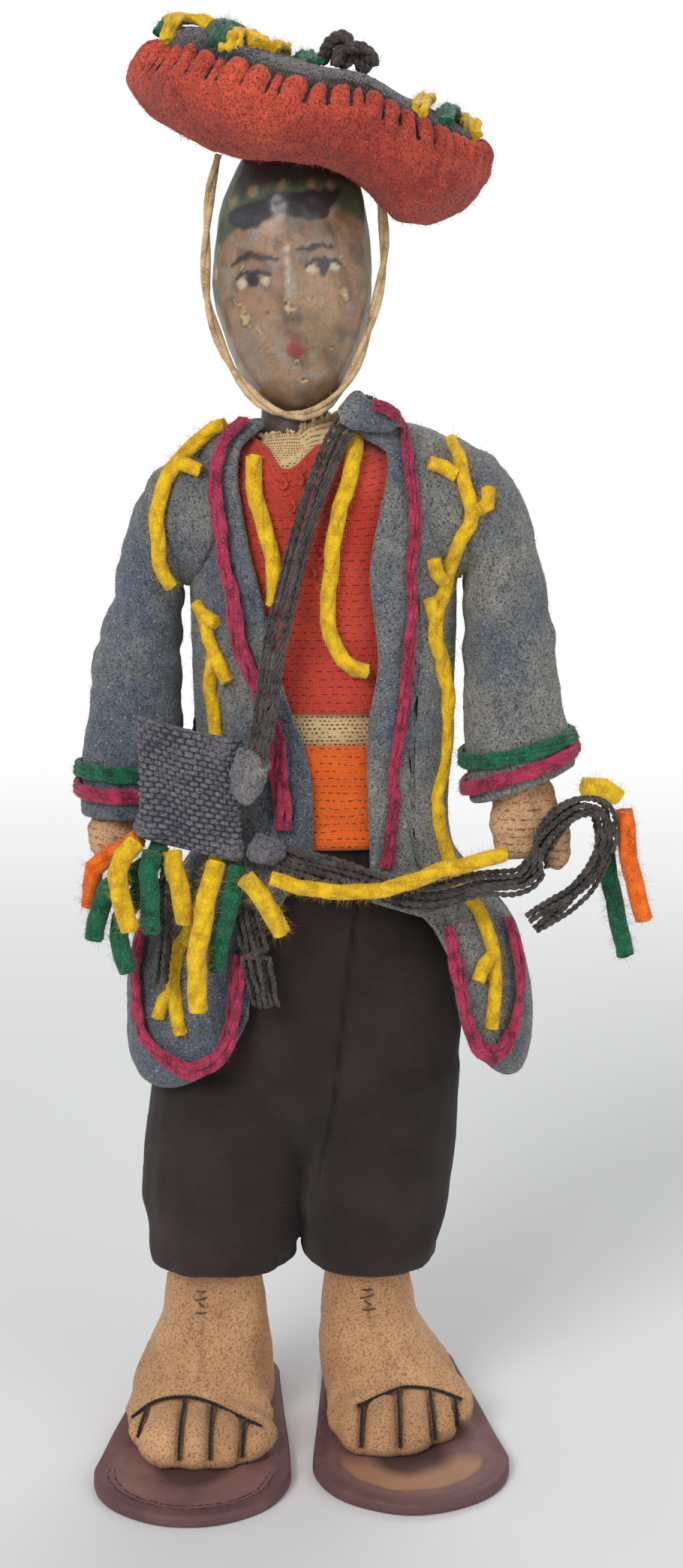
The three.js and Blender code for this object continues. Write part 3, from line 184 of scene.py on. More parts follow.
def wobble(points, size, seed):
    """A smooth uneven number from -1 to 1 at each point, with waves of about that size."""
    chance = np.random.default_rng(seed)
    total = np.zeros(len(points))
    for k in range(7):
        direction = chance.normal(size=3)
        direction *= 2 * math.pi / (size * chance.uniform(0.6, 1.6) * np.linalg.norm(direction))
        total += np.sin(points @ direction + chance.uniform(0, 6.28))
    return total / 3.2


def new_group(name, kind, sockets):
    """A node group with its sockets: which way each goes, its name and its kind."""
    tree = bpy.data.node_groups.new(name, kind)
    for way, label, socket_kind in sockets:
        tree.interface.new_socket(label, in_out=way, socket_type=f"NodeSocket{socket_kind}")
    return tree


def socket_in(tree, name, kind, default=None):
    made = tree.interface.new_socket(name, in_out="INPUT", socket_type=f"NodeSocket{kind}")
    if default is not None:
        made.default_value = default
    return made.identifier


def fibre_nodes(tree, surface, density, length, thickness, seed, lean):
    """Short curved hairs on a surface, each a three-sided cone, as instances."""
    spots = put(tree, "GeometryNodeDistributePointsOnFaces", Mesh=surface, Density=density, Seed=seed)
    hair = put(tree, "GeometryNodeMeshCone", Vertices=3, Side_Segments=2, Depth=1.0, Radius_Bottom=1.0,
               Radius_Top=0.25)
    up = put(tree, "GeometryNodeInputPosition")
    parts = put(tree, "ShaderNodeSeparateXYZ", Vector=up.outputs["Position"])
    square = maths(tree, "POWER", parts.outputs["Z"], 2.0)
    thin_x = maths(tree, "MULTIPLY", parts.outputs["X"], thickness)
    bend = maths(tree, "MULTIPLY_ADD", square, 0.45, thin_x)
    thin_y = maths(tree, "MULTIPLY", parts.outputs["Y"], thickness)
    bent = put(tree, "ShaderNodeCombineXYZ", X=bend, Y=thin_y, Z=parts.outputs["Z"])
    hair = put(tree, "GeometryNodeSetPosition", Geometry=hair.outputs["Mesh"],
               Position=bent.outputs["Vector"])
    tilt = put(tree, "FunctionNodeRandomValue", data_type="FLOAT_VECTOR", Seed=seed)
    tree.links.new(lean, tilt.inputs["Min"])
    tilt.inputs["Max"].default_value = (1.45, 0.5, 6.28)
    turned = put(tree, "FunctionNodeRotateRotation", Rotation=spots.outputs["Rotation"],
                 rotation_space="LOCAL")
    spin = put(tree, "FunctionNodeRandomValue", data_type="FLOAT_VECTOR", Seed=seed)
    spin.inputs["Max"].default_value = (0, 0, 6.28)
    tree.links.new(spin.outputs["Value"], turned.inputs["Rotate By"])
    leaned = put(tree, "FunctionNodeRotateRotation", Rotation=turned.outputs["Rotation"],
                 rotation_space="LOCAL")
    tree.links.new(tilt.outputs["Value"], leaned.inputs["Rotate By"])
    some = put(tree, "FunctionNodeRandomValue", data_type="FLOAT", Seed=seed)
    some.inputs[2].default_value = 0.35
    some.inputs[3].default_value = 1.0
    long = maths(tree, "MULTIPLY", some.outputs[1], length)
    return put(tree, "GeometryNodeInstanceOnPoints", Points=spots.outputs["Points"],
               Instance=hair.outputs["Geometry"], Rotation=leaned.outputs["Rotation"],
               Scale=long).outputs["Instances"]


geometry_through = (("INPUT", "Geometry", "Geometry"), ("OUTPUT", "Geometry", "Geometry"))


def yarn_tree():
    """Plies twisted round a curve, with loose hairs."""
    tree = new_group("twisted_yarn", "GeometryNodeTree", geometry_through)
    ids = {
        "plies": socket_in(tree, "Plies", "Int", 2),
        "ply": socket_in(tree, "Ply radius", "Float", 0.001),
        "spread": socket_in(tree, "Spread", "Float", 0.0007),
        "pitch": socket_in(tree, "Pitch", "Float", 0.006),
        "sides": socket_in(tree, "Sides", "Int", 8),
        "uneven": socket_in(tree, "Unevenness", "Float", 0.0002),
        "hairs": socket_in(tree, "Hair density", "Float", 500000.0),
        "hair_length": socket_in(tree, "Hair length", "Float", 0.002),
        "hair_width": socket_in(tree, "Hair thickness", "Float", 0.02),
        "lean": socket_in(tree, "Least lean", "Vector", (0.2, -0.5, 0.0)),
        "seed": socket_in(tree, "Seed", "Int", 1),
        "material": socket_in(tree, "Material", "Material"),
    }
    given = tree.nodes.new("NodeGroupInput").outputs
    step = maths(tree, "DIVIDE", given["Pitch"], 9.0)
    line = put(tree, "GeometryNodeResampleCurve", mode="LENGTH", Curve=given["Geometry"], Length=step)
    copies = put(tree, "GeometryNodeDuplicateElements", domain="SPLINE", Geometry=line.outputs["Curve"],
                 Amount=given["Plies"])
    along = put(tree, "GeometryNodeSplineParameter")
    turns = maths(tree, "DIVIDE", along.outputs["Length"], given["Pitch"])
    share = maths(tree, "DIVIDE", copies.outputs["Duplicate Index"], given["Plies"])
    angle = maths(tree, "ADD", turns, share)
    angle = maths(tree, "MULTIPLY", angle, 2 * math.pi)
    tangent = put(tree, "GeometryNodeInputTangent")
    normal = put(tree, "GeometryNodeInputNormal")
    turned = put(tree, "ShaderNodeVectorRotate", rotation_type="AXIS_ANGLE",
                 Vector=normal.outputs["Normal"], Axis=tangent.outputs["Tangent"], Angle=angle)
    swell = put(tree, "GeometryNodeInputRadius")
    reach = maths(tree, "MULTIPLY", given["Spread"], swell.outputs["Radius"])
    offset = put(tree, "ShaderNodeVectorMath", operation="SCALE", _0=turned.outputs["Vector"], Scale=reach)
    chance = put(tree, "ShaderNodeTexNoise", Scale=320.0, Detail=1.0)
    centred = put(tree, "ShaderNodeVectorMath", operation="SUBTRACT", _0=chance.outputs["Color"],
                  _1=(0.5, 0.5, 0.5))
    jitter = put(tree, "ShaderNodeVectorMath", operation="SCALE", _0=centred.outputs["Vector"],
                 Scale=given["Unevenness"])
    moved = put(tree, "ShaderNodeVectorMath", operation="ADD", _0=offset.outputs["Vector"],
                _1=jitter.outputs["Vector"])
    plies = put(tree, "GeometryNodeSetPosition", Geometry=copies.outputs["Geometry"],
                Offset=moved.outputs["Vector"])
    ring = put(tree, "GeometryNodeCurvePrimitiveCircle", Resolution=given["Sides"],
               Radius=given["Ply radius"])
    body = put(tree, "GeometryNodeCurveToMesh", Curve=plies.outputs["Geometry"],
               Profile_Curve=ring.outputs["Curve"], Fill_Caps=True)
    hairs = fibre_nodes(tree, body.outputs["Mesh"], given["Hair density"], given["Hair length"],
                        given["Hair thickness"], given["Seed"], given["Least lean"])
    joined = put(tree, "GeometryNodeJoinGeometry", Geometry=body.outputs["Mesh"])
    tree.links.new(hairs, joined.inputs["Geometry"])
    real = put(tree, "GeometryNodeRealizeInstances", Geometry=joined.outputs["Geometry"])
    done = put(tree, "GeometryNodeSetMaterial", Geometry=real.outputs["Geometry"], Material=given["Material"])
    smooth = put(tree, "GeometryNodeSetShadeSmooth", Geometry=done.outputs["Geometry"])
    tree.links.new(smooth.outputs["Geometry"], tree.nodes.new("NodeGroupOutput").inputs["Geometry"])
    return tree, ids


twisted_yarn, yarn_inputs = yarn_tree()


def plain_mesh(obj):
    """Turns an object and its modifiers into a plain mesh of the same name."""
    bpy.context.view_layer.update()
    found = obj.evaluated_get(bpy.context.evaluated_depsgraph_get())
    mesh = bpy.data.meshes.new_from_object(found)
    name = obj.name
    bpy.data.objects.remove(obj)
    made = bpy.data.objects.new(name, mesh)
    bpy.context.scene.collection.objects.link(made)
    return made


def grown(obj, modifier_name, group, identifiers, values):
    """A plain mesh of what a node group makes of an object with these values."""
    modifier = obj.modifiers.new(modifier_name, "NODES")
    modifier.node_group = group
    for key, value in values.items():
        modifier[identifiers[key]] = value
    return plain_mesh(obj)


def yarn(name, lines, material, radius, plies=2, pitch=None, hairs=0.28, hair_length=0.0022, seed=1,
         ends=(1, 1), sides=8, uneven=0.0003, fullness=None, swell=(1, 1)):
    """A twisted yarn, or several, along smooth lines. radius is the whole yarn's, hairs are per square mm.
    fullness is a ply's radius as a share of the yarn's: the more, the shallower the grooves between plies.
    swell holds factors on the first line's radius, spread evenly along it."""
    curve = bpy.data.curves.new(name, "CURVE")
    curve.dimensions = "3D"
    for number, line in enumerate(lines):
        thick = swell if number == 0 else (1, 1)
        spline = curve.splines.new("POLY")
        spline.points.add(len(line) - 1)
        for i, (point, place) in enumerate(zip(spline.points, line)):
            point.co = (*place, 1)
            share = i / (len(line) - 1)
            point.radius = 1 + (ends[0] - 1) * max(0, 1 - share * 5) + (ends[1] - 1) * max(0, share * 5 - 4)
            point.radius *= np.interp(share, np.linspace(0, 1, len(thick)), thick)
    obj = bpy.data.objects.new(name, curve)
    bpy.context.scene.collection.objects.link(obj)
    ply = radius * (fullness or (0.56 if plies == 2 else 0.5))
    values = {
        "plies": plies, "ply": ply, "spread": radius - ply, "pitch": pitch or radius * 4.6, "sides": sides,
        "uneven": uneven, "hairs": hairs * 1e6, "hair_length": hair_length,
        "hair_width": 0.000035 / hair_length, "lean": (0.25, -0.5, 0.0), "seed": seed, "material": material,
    }
    return grown(obj, "yarn", twisted_yarn, yarn_inputs, values)


def roving(name, lines, material, radius, seed, ends=(1, 0.85), hairs=1.1, hair_length=0.0024, swell=(1, 1)):
    """Soft thick wool that is hardly twisted: full plies with shallow grooves, and many loose hairs."""
    return yarn(name, lines, material, radius, plies=3, pitch=radius * 15, hairs=hairs, seed=seed, ends=ends,
                hair_length=hair_length, sides=12, uneven=radius * 0.3, fullness=0.70, swell=swell)


def strands(line, count, width, depth, seed, wander=0.0004):
    """Lines of single strands that run beside each other along a line, in an oval bundle."""
    chance = np.random.default_rng(seed)
    made = []
    for k in range(count):
        turn = 2 * math.pi * (k + 0.35) / count
        reach = 1.0 if k % 3 else 0.35
        shift = Vector((0, math.cos(turn) * depth / 2 * reach, math.sin(turn) * width / 2 * reach))
        waves = chance.uniform(0, 6.28, 4)
        out = []
        for i, point in enumerate(line):
            share = i / (len(line) - 1)
            tangent = (line[min(i + 1, len(line) - 1)] - line[max(i - 1, 0)]).normalized()
            side = tangent.cross(Vector((0, 0, 1)))
            side = side.normalized() if side.length > 0.3 else Vector((1, 0, 0))
            rise = side.cross(tangent).normalized()
            a = shift.y + wander * math.sin(9 * share + waves[0])
            a += wander * 0.5 * math.sin(23 * share + waves[1])
            b = shift.z + wander * math.sin(8 * share + waves[2])
            b += wander * 0.5 * math.sin(19 * share + waves[3])
            out.append(point + side * a + rise * b)
        made.append(out)
    return made


def ranged(tree, value, low, high, to_low=0, to_high=1):
    """A value moved from one range to another and kept within it."""
    return put(tree, "ShaderNodeMapRange", Value=value, From_Min=low, From_Max=high, To_Min=to_low,
               To_Max=to_high).outputs["Result"]


def colour_mix(tree, share, first, second):
    return put(tree, "ShaderNodeMix", data_type="RGBA", Factor=share, _6=first, _7=second).outputs[2]


def noise(tree, place, scale, detail, roughness=0.5):
    return put(tree, "ShaderNodeTexNoise", Vector=place, Scale=scale, Detail=detail,
               Roughness=roughness).outputs["Fac"]


def object_place(tree):
    return put(tree, "ShaderNodeTexCoord").outputs["Object"]


def bumped(tree, strength, distance, height):
    return put(tree, "ShaderNodeBump", Strength=strength, Distance=distance, Height=height).outputs["Normal"]


def cover(tree, **inputs):
    """Ends a material with a shader that has these inputs."""
    finish_with(tree, put(tree, "ShaderNodeBsdfPrincipled", **inputs).outputs["BSDF"])


def wool_group():
    """Colour of twisted wool or cotton: dark and light fibres run through it."""
    tree = new_group("wool_colour", "ShaderNodeTree", (
        ("INPUT", "Colour", "Color"), ("INPUT", "Dark", "Color"), ("INPUT", "Light", "Color"),
        ("OUTPUT", "Colour", "Color"), ("OUTPUT", "Height", "Float")))
    given = tree.nodes.new("NodeGroupInput").outputs
    place = object_place(tree)
    broad = noise(tree, place, 420.0, 3.0)
    fine = noise(tree, place, 3600.0, 2.0, 0.7)
    dark_share = ranged(tree, broad, 0.62, 0.34)
    light_share = ranged(tree, fine, 0.52, 0.74)
    first = colour_mix(tree, dark_share, given["Colour"], given["Dark"])
    second = colour_mix(tree, light_share, first, given["Light"])
    out = tree.nodes.new("NodeGroupOutput").inputs
    tree.links.new(second, out["Colour"])
    tree.links.new(fine, out["Height"])
    return tree


wool_colour = wool_group()


def wool_material(name, colour, dark, light, rough=0.95):
    made, tree = material_of(name)
    look = put(tree, "ShaderNodeGroup", node_tree=wool_colour, Colour=colour, Dark=dark, Light=light)
    bump = bumped(tree, 0.5, 0.0002, look.outputs["Height"])
    cover(tree, Base_Color=look.outputs["Colour"], Roughness=rough, Sheen_Weight=0.25, Sheen_Roughness=0.5,
          Specular_IOR_Level=0.15, Normal=bump)
    return made


brown_strand = wool_material("brown_strand", (82, 74, 72), (44, 38, 40), (122, 112, 106))
yellow_wool = wool_material("yellow_wool", (232, 188, 20), (190, 140, 8), (250, 222, 84))
green_wool = wool_material("green_wool", (24, 96, 66), (8, 58, 42), (74, 150, 108))
orange_wool = wool_material("orange_wool", (240, 112, 24), (205, 78, 10), (255, 158, 66))
magenta_wool = wool_material("magenta_wool", (172, 48, 80), (104, 18, 44), (206, 96, 122))


def settle(piece, body, nodes):
    """The piece rides on a body and stands for its nodes, if it has any."""
    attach(piece, body)
    if nodes:
        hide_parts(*nodes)
    return piece


def bend_between(piece, limb, low, high, nodes, slot):
    """Bakes the piece's placing into its mesh and stands for its nodes, if it has any."""
    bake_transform(piece)
    if nodes:
        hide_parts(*nodes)


sling_bend = ((2, -21, 124), (38, -21, 124))
sling_points = route((-6.4, -22.2, 128.4), (-1.6, -21.8, 126.4), (4, -22.2, 124.9), (9.6, -22.4, 123.4),
                     (15.2, -22.6, 121.4), (20.8, -22.8, 119.4), (26.5, -22.8, 119.4), (33.7, -21, 121.2),
                     (41.6, -17.4, 121.2), (44.8, -16.6, 124))
sling_line = smooth_line(sling_points)
sling = yarn("sling_bundle", strands(sling_line, 9, 0.0044, 0.0030, 3, wander=0.00025), brown_strand, 0.00060,
             hairs=0.22, hair_length=0.0016, seed=3, sides=6, pitch=0.0034)
bend_between(sling, "left_arm", *sling_bend, ["sling"], "brown_strands")

sling_yarn_line = smooth_line(route((-5.6, -27.2, 124), (1.2, -27.4, 122.1), (9.6, -27.6, 121.4),
                                    (17.9, -27.4, 122.4), (26.2, -26.2, 125.2), (33.4, -24.2, 126.6),
                                    (38.4, -21.2, 127.4)))
sling_yarn = roving("sling_yellow_yarn", [sling_yarn_line], yellow_wool, 0.0016, 5, ends=(0.8, 1),
                    hair_length=0.0021)
bend_between(sling_yarn, "left_arm", *sling_bend, ["sling_yarn"], "yellow_wool")

sling_loop_line = smooth_line(route(
    (45.2, -16.6, 123.2), (45.6, -17.6, 128), (48.4, -18.6, 132.6), (53, -18.6, 135.6), (57.2, -16.4, 134.4),
    (58.6, -14.6, 129), (56, -14.8, 122.4), (50.6, -15.8, 117), (44.4, -16, 112.4)))
sling_loop = yarn("sling_loop_bundle", strands(sling_loop_line, 8, 0.0034, 0.0030, 4), brown_strand, 0.00058,
                  hairs=0.22, hair_length=0.0016, seed=4, sides=6, pitch=0.0028)
settle(sling_loop, "left_arm", ["sling_loop"])

# Wool ends: short pieces of thick soft wool in orange, green and yellow. Three hang from the sling's loop,
# and the others are made further down, under the bag.
wool_of = {"orange": orange_wool, "green": green_wool, "yellow": yellow_wool}
sling_ends = {
    "orange": ((62, -13.2, 134.2), (63.4, -12.6, 124), (66.4, -12.4, 112.5)),
    "green": ((58.4, -9.8, 128.6), (60.6, -9.4, 117), (63.2, -9.4, 104.5)),
    "yellow": ((53.4, -19.6, 140), (57, -18.4, 139.8), (60.4, -16.8, 137.6)),
}
for i, (colour, points) in enumerate(sling_ends.items()):
    tassel = roving(f"sling_wool_{colour}", [smooth_line(route(*points))], wool_of[colour], 0.0019, 20 + i)
    settle(tassel, "left_arm", [f"sling_tassel_{colour}"])

# Soles: two flat pieces of brown leather cut round the feet, a little rounded at the cut edge. Years of light
# have darkened their rims, and the right one has split along its front edge.
sole_thickness = 0.0026
sole_length = 0.079
sole_front = 0.0197
sole_heel = 0.0145


def spread_flat(mesh, uv):
    """Gives a mesh the flat coordinates, in metres, of the cloth at each of its points."""
    layer = mesh.uv_layers.new(name="cloth")
    corners = np.empty(len(mesh.loops), int)
    mesh.loops.foreach_get("vertex_index", corners)
    layer.data.foreach_set("uv", np.asarray(uv, np.float32)[corners].ravel())


def reshape_mesh(obj, change):
    """Makes a change to an object's mesh: change gets it as corners, edges and faces that it can edit."""
    shape = bmesh.new()
    shape.from_mesh(obj.data)
    change(shape)
    shape.to_mesh(obj.data)
    shape.free()


def mesh_object(name, points, faces, material, uv=None):
    """A mesh object from points, faces and, where a pattern follows the cloth, flat coordinates in metres."""
    mesh = bpy.data.meshes.new(name)
    mesh.from_pydata([tuple(p) for p in points], [], faces)
    if uv is not None:
        spread_flat(mesh, uv)
    mesh.polygons.foreach_set("use_smooth", [True] * len(mesh.polygons))
    mesh.materials.append(material)
    made = bpy.data.objects.new(name, mesh)
    bpy.context.scene.collection.objects.link(made)
    return made


def grid_faces(rows, columns, wrap=False, first=0):
    """Quads between rows of points. With wrap, each row closes on itself."""
    faces = []
    across = columns if wrap else columns - 1
    for i in range(rows - 1):
        for j in range(across):
            k = (j + 1) % columns
            a = first + i * columns
            faces.append((a + j, a + k, a + columns + k, a + columns + j))
    return faces


def store(obj, name, values):
    """A number at each of a mesh's points, for its material to read."""
    layer = obj.data.attributes.new(name, "FLOAT", "POINT")
    layer.data.foreach_set("value", np.asarray(values, np.float32))


def places_of(obj):
    points = np.empty(len(obj.data.vertices) * 3)
    obj.data.vertices.foreach_get("co", points)
    return points.reshape(-1, 3)


def normals_of(obj):
    normals = np.empty(len(obj.data.vertices) * 3)
    obj.data.vertices.foreach_get("normal", normals)
    return normals.reshape(-1, 3)


def move_to(obj, points):
    obj.data.vertices.foreach_set("co", np.asarray(points, float).ravel())
    obj.data.update()


def ramp(value, start, span):
    """0 at start and before it, 1 from a span further on, which may be negative."""
    return np.clip((value - start) / span, 0, 1)


def bell(value, reach):
    """1 at 0, and fading on both sides of it over about that reach."""
    return np.exp(-(value / reach) ** 2)


def stored(tree, name):
    return put(tree, "ShaderNodeAttribute", attribute_name=name).outputs["Fac"]


def sole_leather_material(name, split, pale):
    made, tree = material_of(name)
    place = object_place(tree)
    rim = stored(tree, "rim")
    spread = stored(tree, "front")
    broad = noise(tree, place, 90.0, 4.0)
    fine = noise(tree, place, 1400.0, 3.0)
    grain = put(tree, "ShaderNodeTexVoronoi", Vector=place, Scale=1500.0)
    wavy = maths(tree, "MULTIPLY_ADD", broad, 0.0042, rim)
    band = ranged(tree, wavy, 0.0044, 0.0066)
    rimmed = colour_mix(tree, band, (98, 68, 68), (140, 100, 96))
    mottle = ranged(tree, broad, 0.42, 0.66)
    mottled = colour_mix(tree, mottle, rimmed, (116, 82, 80))
    patch = ranged(tree, wavy, 0.0078, 0.0086)
    patch = maths(tree, "MULTIPLY", patch, spread)
    patch = maths(tree, "MULTIPLY", patch, pale)
    inner = colour_mix(tree, patch, mottled, (166, 122, 92))
    # Painted shade, with some dirt: the middle of the sole, where the foot stands on it, is darker.
    under_foot_shade_and_dirt = ranged(tree, wavy, 0.0125, 0.016)
    shaded_and_dirty = colour_mix(tree, under_foot_shade_and_dirt, inner, (84, 60, 56))
    lines = None
    for depth in (0.0040, 0.0052):
        jagged = noise(tree, place, 260.0, 5.0, 0.7)
        shifted = maths(tree, "MULTIPLY_ADD", jagged, 0.0022, rim)
        off = maths(tree, "SUBTRACT", shifted, depth)
        off = maths(tree, "ABSOLUTE", off)
        line = ranged(tree, off, 0.00026, 0.00008)
        lines = line if lines is None else maths(tree, "MAXIMUM", lines, line)
    broken = ranged(tree, fine, 0.4, 0.52)
    lines = maths(tree, "MULTIPLY", lines, broken)
    lines = maths(tree, "MULTIPLY", lines, spread)
    lines = maths(tree, "MULTIPLY", lines, split)
    cracked = colour_mix(tree, lines, shaded_and_dirty, (70, 16, 18))
    height = maths(tree, "MULTIPLY_ADD", grain.outputs["Distance"], 0.5, fine)
    height = maths(tree, "SUBTRACT", height, lines)
    bump = bumped(tree, 0.6, 0.0002, height)
    rough = ranged(tree, broad, 0, 1, 0.5, 0.72)
    cover(tree, Base_Color=cracked, Roughness=rough, Specular_IOR_Level=0.35, Normal=bump)
    return made


def even_line(line, count):
    """Points spread evenly along a closed line."""
    closed = np.vstack([line, line[:1]])
    run = np.r_[0, np.cumsum(np.linalg.norm(np.diff(closed, axis=0), axis=1))]
    spots = np.linspace(0, run[-1], count, endpoint=False)
    return np.stack([np.interp(spots, run, closed[:, k]) for k in range(closed.shape[1])], 1)


def close_up(shape):
    """Merges the innermost points, closes the underside and faces everything outwards."""
    bmesh.ops.remove_doubles(shape, verts=shape.verts, dist=0.00001)
    bmesh.ops.contextual_create(shape, geom=[e for e in shape.edges if e.is_boundary])
    bmesh.ops.recalc_face_normals(shape, faces=shape.faces)


def sole(side_name, toe_x, front_y, turn, seed, material):
    around, rings = 240, 30
    arc = np.linspace(0, math.pi, 60)
    heel_y = sole_length - sole_front - sole_heel
    edge = np.vstack([
        np.c_[-sole_front * np.cos(arc), -sole_front * np.sin(arc)],
        np.c_[sole_heel * np.cos(arc), heel_y + sole_heel * np.sin(arc)],
    ])
    edge = even_line(edge, around)
    middle_y = sole_length / 2 - sole_front
    edge[:, 1] -= middle_y
    edge *= 1 + 0.006 * wobble(np.c_[edge, edge[:, :1] * 0], 0.02, seed)[:, None]
    inside = []
    for i in range(rings):
        inside.append(edge * 0.974 * (i / (rings - 1)) ** 0.8)
    points = [np.c_[ring, np.full(around, sole_thickness)] for ring in inside]
    for grow, drop in ((-0.4, 0.15), (0, 0.5), (0, 1.1), (0.1, 1.7), (0, 2.2), (-0.4, 2.6)):
        points.append(np.c_[edge * (1 + grow * 0.028), np.full(around, sole_thickness - drop / 1000)])
    points.append(np.c_[edge * 0.02, np.zeros(around)])
    points = np.concatenate(points)
    distance = np.min(np.linalg.norm(points[:, None, :2] - edge[None, ::2], axis=2), axis=1)
    top = ramp(points[:, 2], 0.0021, 0.0005)
    points[:, 2] += top * 0.00012 * wobble(points, 0.008, seed + 1) * np.clip(distance / 0.002, 0, 1)
    front = ramp(-points[:, 1], 0.018, 0.006)
    points[:, 1] += middle_y
    c, s = math.cos(turn), math.sin(turn)
    points[:, :2] = points[:, :2] @ np.array([[c, s], [-s, c]])
    points += (row_shift[0] + toe_x, row_shift[1] + front_y + sole_front, 0)
    made = mesh_object(f"leather_sole_{side_name}", points,
                       grid_faces(rings + 7, around, wrap=True), material)
    store(made, "rim", np.clip(distance, 0, 1))
    store(made, "front", front)
    reshape_mesh(made, close_up)
    return settle(made, "body", [f"sole_{side_name}"])


sole("right", -0.0218, -0.041, -math.radians(2), 31, sole_leather_material("sole_leather_right", 1.0, 0.0))
sole("left", 0.0216, -0.036, math.radians(4.5), 32, sole_leather_material("sole_leather_left", 0.0, 1.0))

# Legs and feet: one stuffed stocking each, tan stockinette drawn tight over the stuffing, with a seam down the
# front. Black thread pulled tight over the foot makes the toes.


def merged_copy(node, name):
    """A copy of a CAD solid whose triangles share their corners."""
    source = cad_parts[node]
    made = bpy.data.objects.new(name, source.data.copy())
    bpy.context.scene.collection.objects.link(made)
    reshape_mesh(made, lambda shape: bmesh.ops.remove_doubles(shape, verts=shape.verts, dist=0.000002))
    made.data.materials.clear()
    return made


def evenly_meshed(obj, voxel, passes):
    """The same shape in small even faces, with its facets smoothed away."""
    remesh = obj.modifiers.new("even", "REMESH")
    remesh.mode = "VOXEL"
    remesh.voxel_size = voxel
    ease = obj.modifiers.new("ease", "SMOOTH")
    ease.factor = 0.5
    ease.iterations = passes
    made = plain_mesh(obj)
    made.data.polygons.foreach_set("use_smooth", [True] * len(made.data.polygons))
    return made


def near_line(points, line):
    """Distance of each point from a line of points."""
    best = np.full(len(points), 1.0)
    line = np.array([tuple(p) for p in line])
    for a, b in zip(line, line[1:]):
        run = b - a
        t = np.clip(((points - a) @ run) / max(run @ run, 1e-12), 0, 1)
        best = np.minimum(best, np.linalg.norm(points - a - t[:, None] * run, axis=1))
    return best


def plush_simulated(obj, cap, frames=16, pressure=4.0):
    """Blows a stuffed piece up a little with cloth simulation, so that it sits full and uneven in its skin."""
    rest = places_of(obj)
    cloth = obj.modifiers.new("stuffing", "CLOTH")
    cloth.settings.quality = 4
    cloth.settings.mass = 0.3
    cloth.settings.tension_stiffness = 12
    cloth.settings.bending_stiffness = 0.4
    cloth.settings.use_pressure = True
    cloth.settings.uniform_pressure_force = pressure
    cloth.settings.effector_weights.gravity = 0
    cloth.point_cache.frame_end = frames
    for step in range(1, frames + 1):
        bpy.context.scene.frame_set(step)
    found = obj.evaluated_get(bpy.context.evaluated_depsgraph_get())
    blown = np.empty(len(found.data.vertices) * 3)
    found.data.vertices.foreach_get("co", blown)
    obj.modifiers.clear()
    bpy.context.scene.frame_set(1)
    moved = blown.reshape(-1, 3) - rest
    reach = np.linalg.norm(moved, axis=1, keepdims=True)
    move_to(obj, rest + moved * np.minimum(1, cap / np.maximum(reach, 1e-9)))


def knit_skin_material(name, base, shade, deep, dashes=0.0):
    """Fine tan stockinette: faint slanting rows of stitches, dark pores, and rubbed grime and painted shade
    where the mesh stores them. dashes shows the gaps between its rows as short dark marks."""
    made, tree = material_of(name)
    place = object_place(tree)
    # The stored value darkens it: random wear and grime, and painted shade in grooves and creases.
    low = stored(tree, "worn")
    turned = put(tree, "ShaderNodeMapping", Vector=place, Rotation=(0.0, 0.5, 0.2))
    rows = put(tree, "ShaderNodeTexWave", Vector=turned.outputs["Vector"], bands_direction="Z", Scale=520.0,
               Distortion=2.2, Detail=2.0, Detail_Scale=1.6)
    stitches = noise(tree, place, 2100.0, 2.0, 0.65)
    broad = noise(tree, place, 75.0, 4.0)
    pores = put(tree, "ShaderNodeTexVoronoi", Vector=place, Scale=760.0)
    height = maths(tree, "MULTIPLY_ADD", rows.outputs["Fac"], 0.28, stitches)
    pore = ranged(tree, pores.outputs["Distance"], 0.17, 0.08)
    some = ranged(tree, broad, 0.46, 0.6)
    pore = maths(tree, "MULTIPLY", pore, some)
    shade_share = ranged(tree, broad, 0.38, 0.68)
    first = colour_mix(tree, shade_share, base, shade)
    speck = ranged(tree, stitches, 0.52, 0.3, 0, 0.8)
    second = colour_mix(tree, speck, first, deep)
    third = colour_mix(tree, pore, second, deep)
    level = put(tree, "ShaderNodeTexWave", Vector=place, bands_direction="Z", Scale=200.0, Distortion=1.2,
                Detail=1.0, Detail_Scale=1.5)
    gap = ranged(tree, level.outputs["Fac"], 0.82, 0.97)
    long = put(tree, "ShaderNodeMapping", Vector=place, Scale=(1.0, 1.0, 0.35))
    parts = noise(tree, long.outputs["Vector"], 950.0, 1.0)
    part = ranged(tree, parts, 0.48, 0.56)
    dash = maths(tree, "MULTIPLY", gap, part)
    marks = put(tree, "ShaderNodeMath", operation="MULTIPLY_ADD", _0=dash, _1=dashes, _2=low,
                use_clamp=True)
    fourth = colour_mix(tree, marks.outputs["Value"], third, deep)
    bump = bumped(tree, 0.55, 0.00028, height)
    cover(tree, Base_Color=fourth, Roughness=0.88, Specular_IOR_Level=0.2, Sheen_Weight=0.12, Normal=bump)
    return made


skin_cloth = knit_skin_material("skin_stockinette", (212, 166, 122), (180, 136, 98),
                                (98, 64, 44))
hand_cloth = knit_skin_material("hand_stockinette", (216, 172, 132), (190, 146, 108),
                                (110, 76, 56), dashes=0.8)
black_thread = wool_material("black_thread", (38, 30, 34), (20, 16, 20), (74, 62, 62))
dark_stitch = wool_material("dark_stitch", (84, 58, 44), (50, 34, 28), (120, 88, 66))


def hit(obj, start, direction):
    """Where a straight line meets a piece, or None."""
    found = obj.ray_cast(Vector(start), Vector(direction).normalized())
    return found[1] if found[0] else None


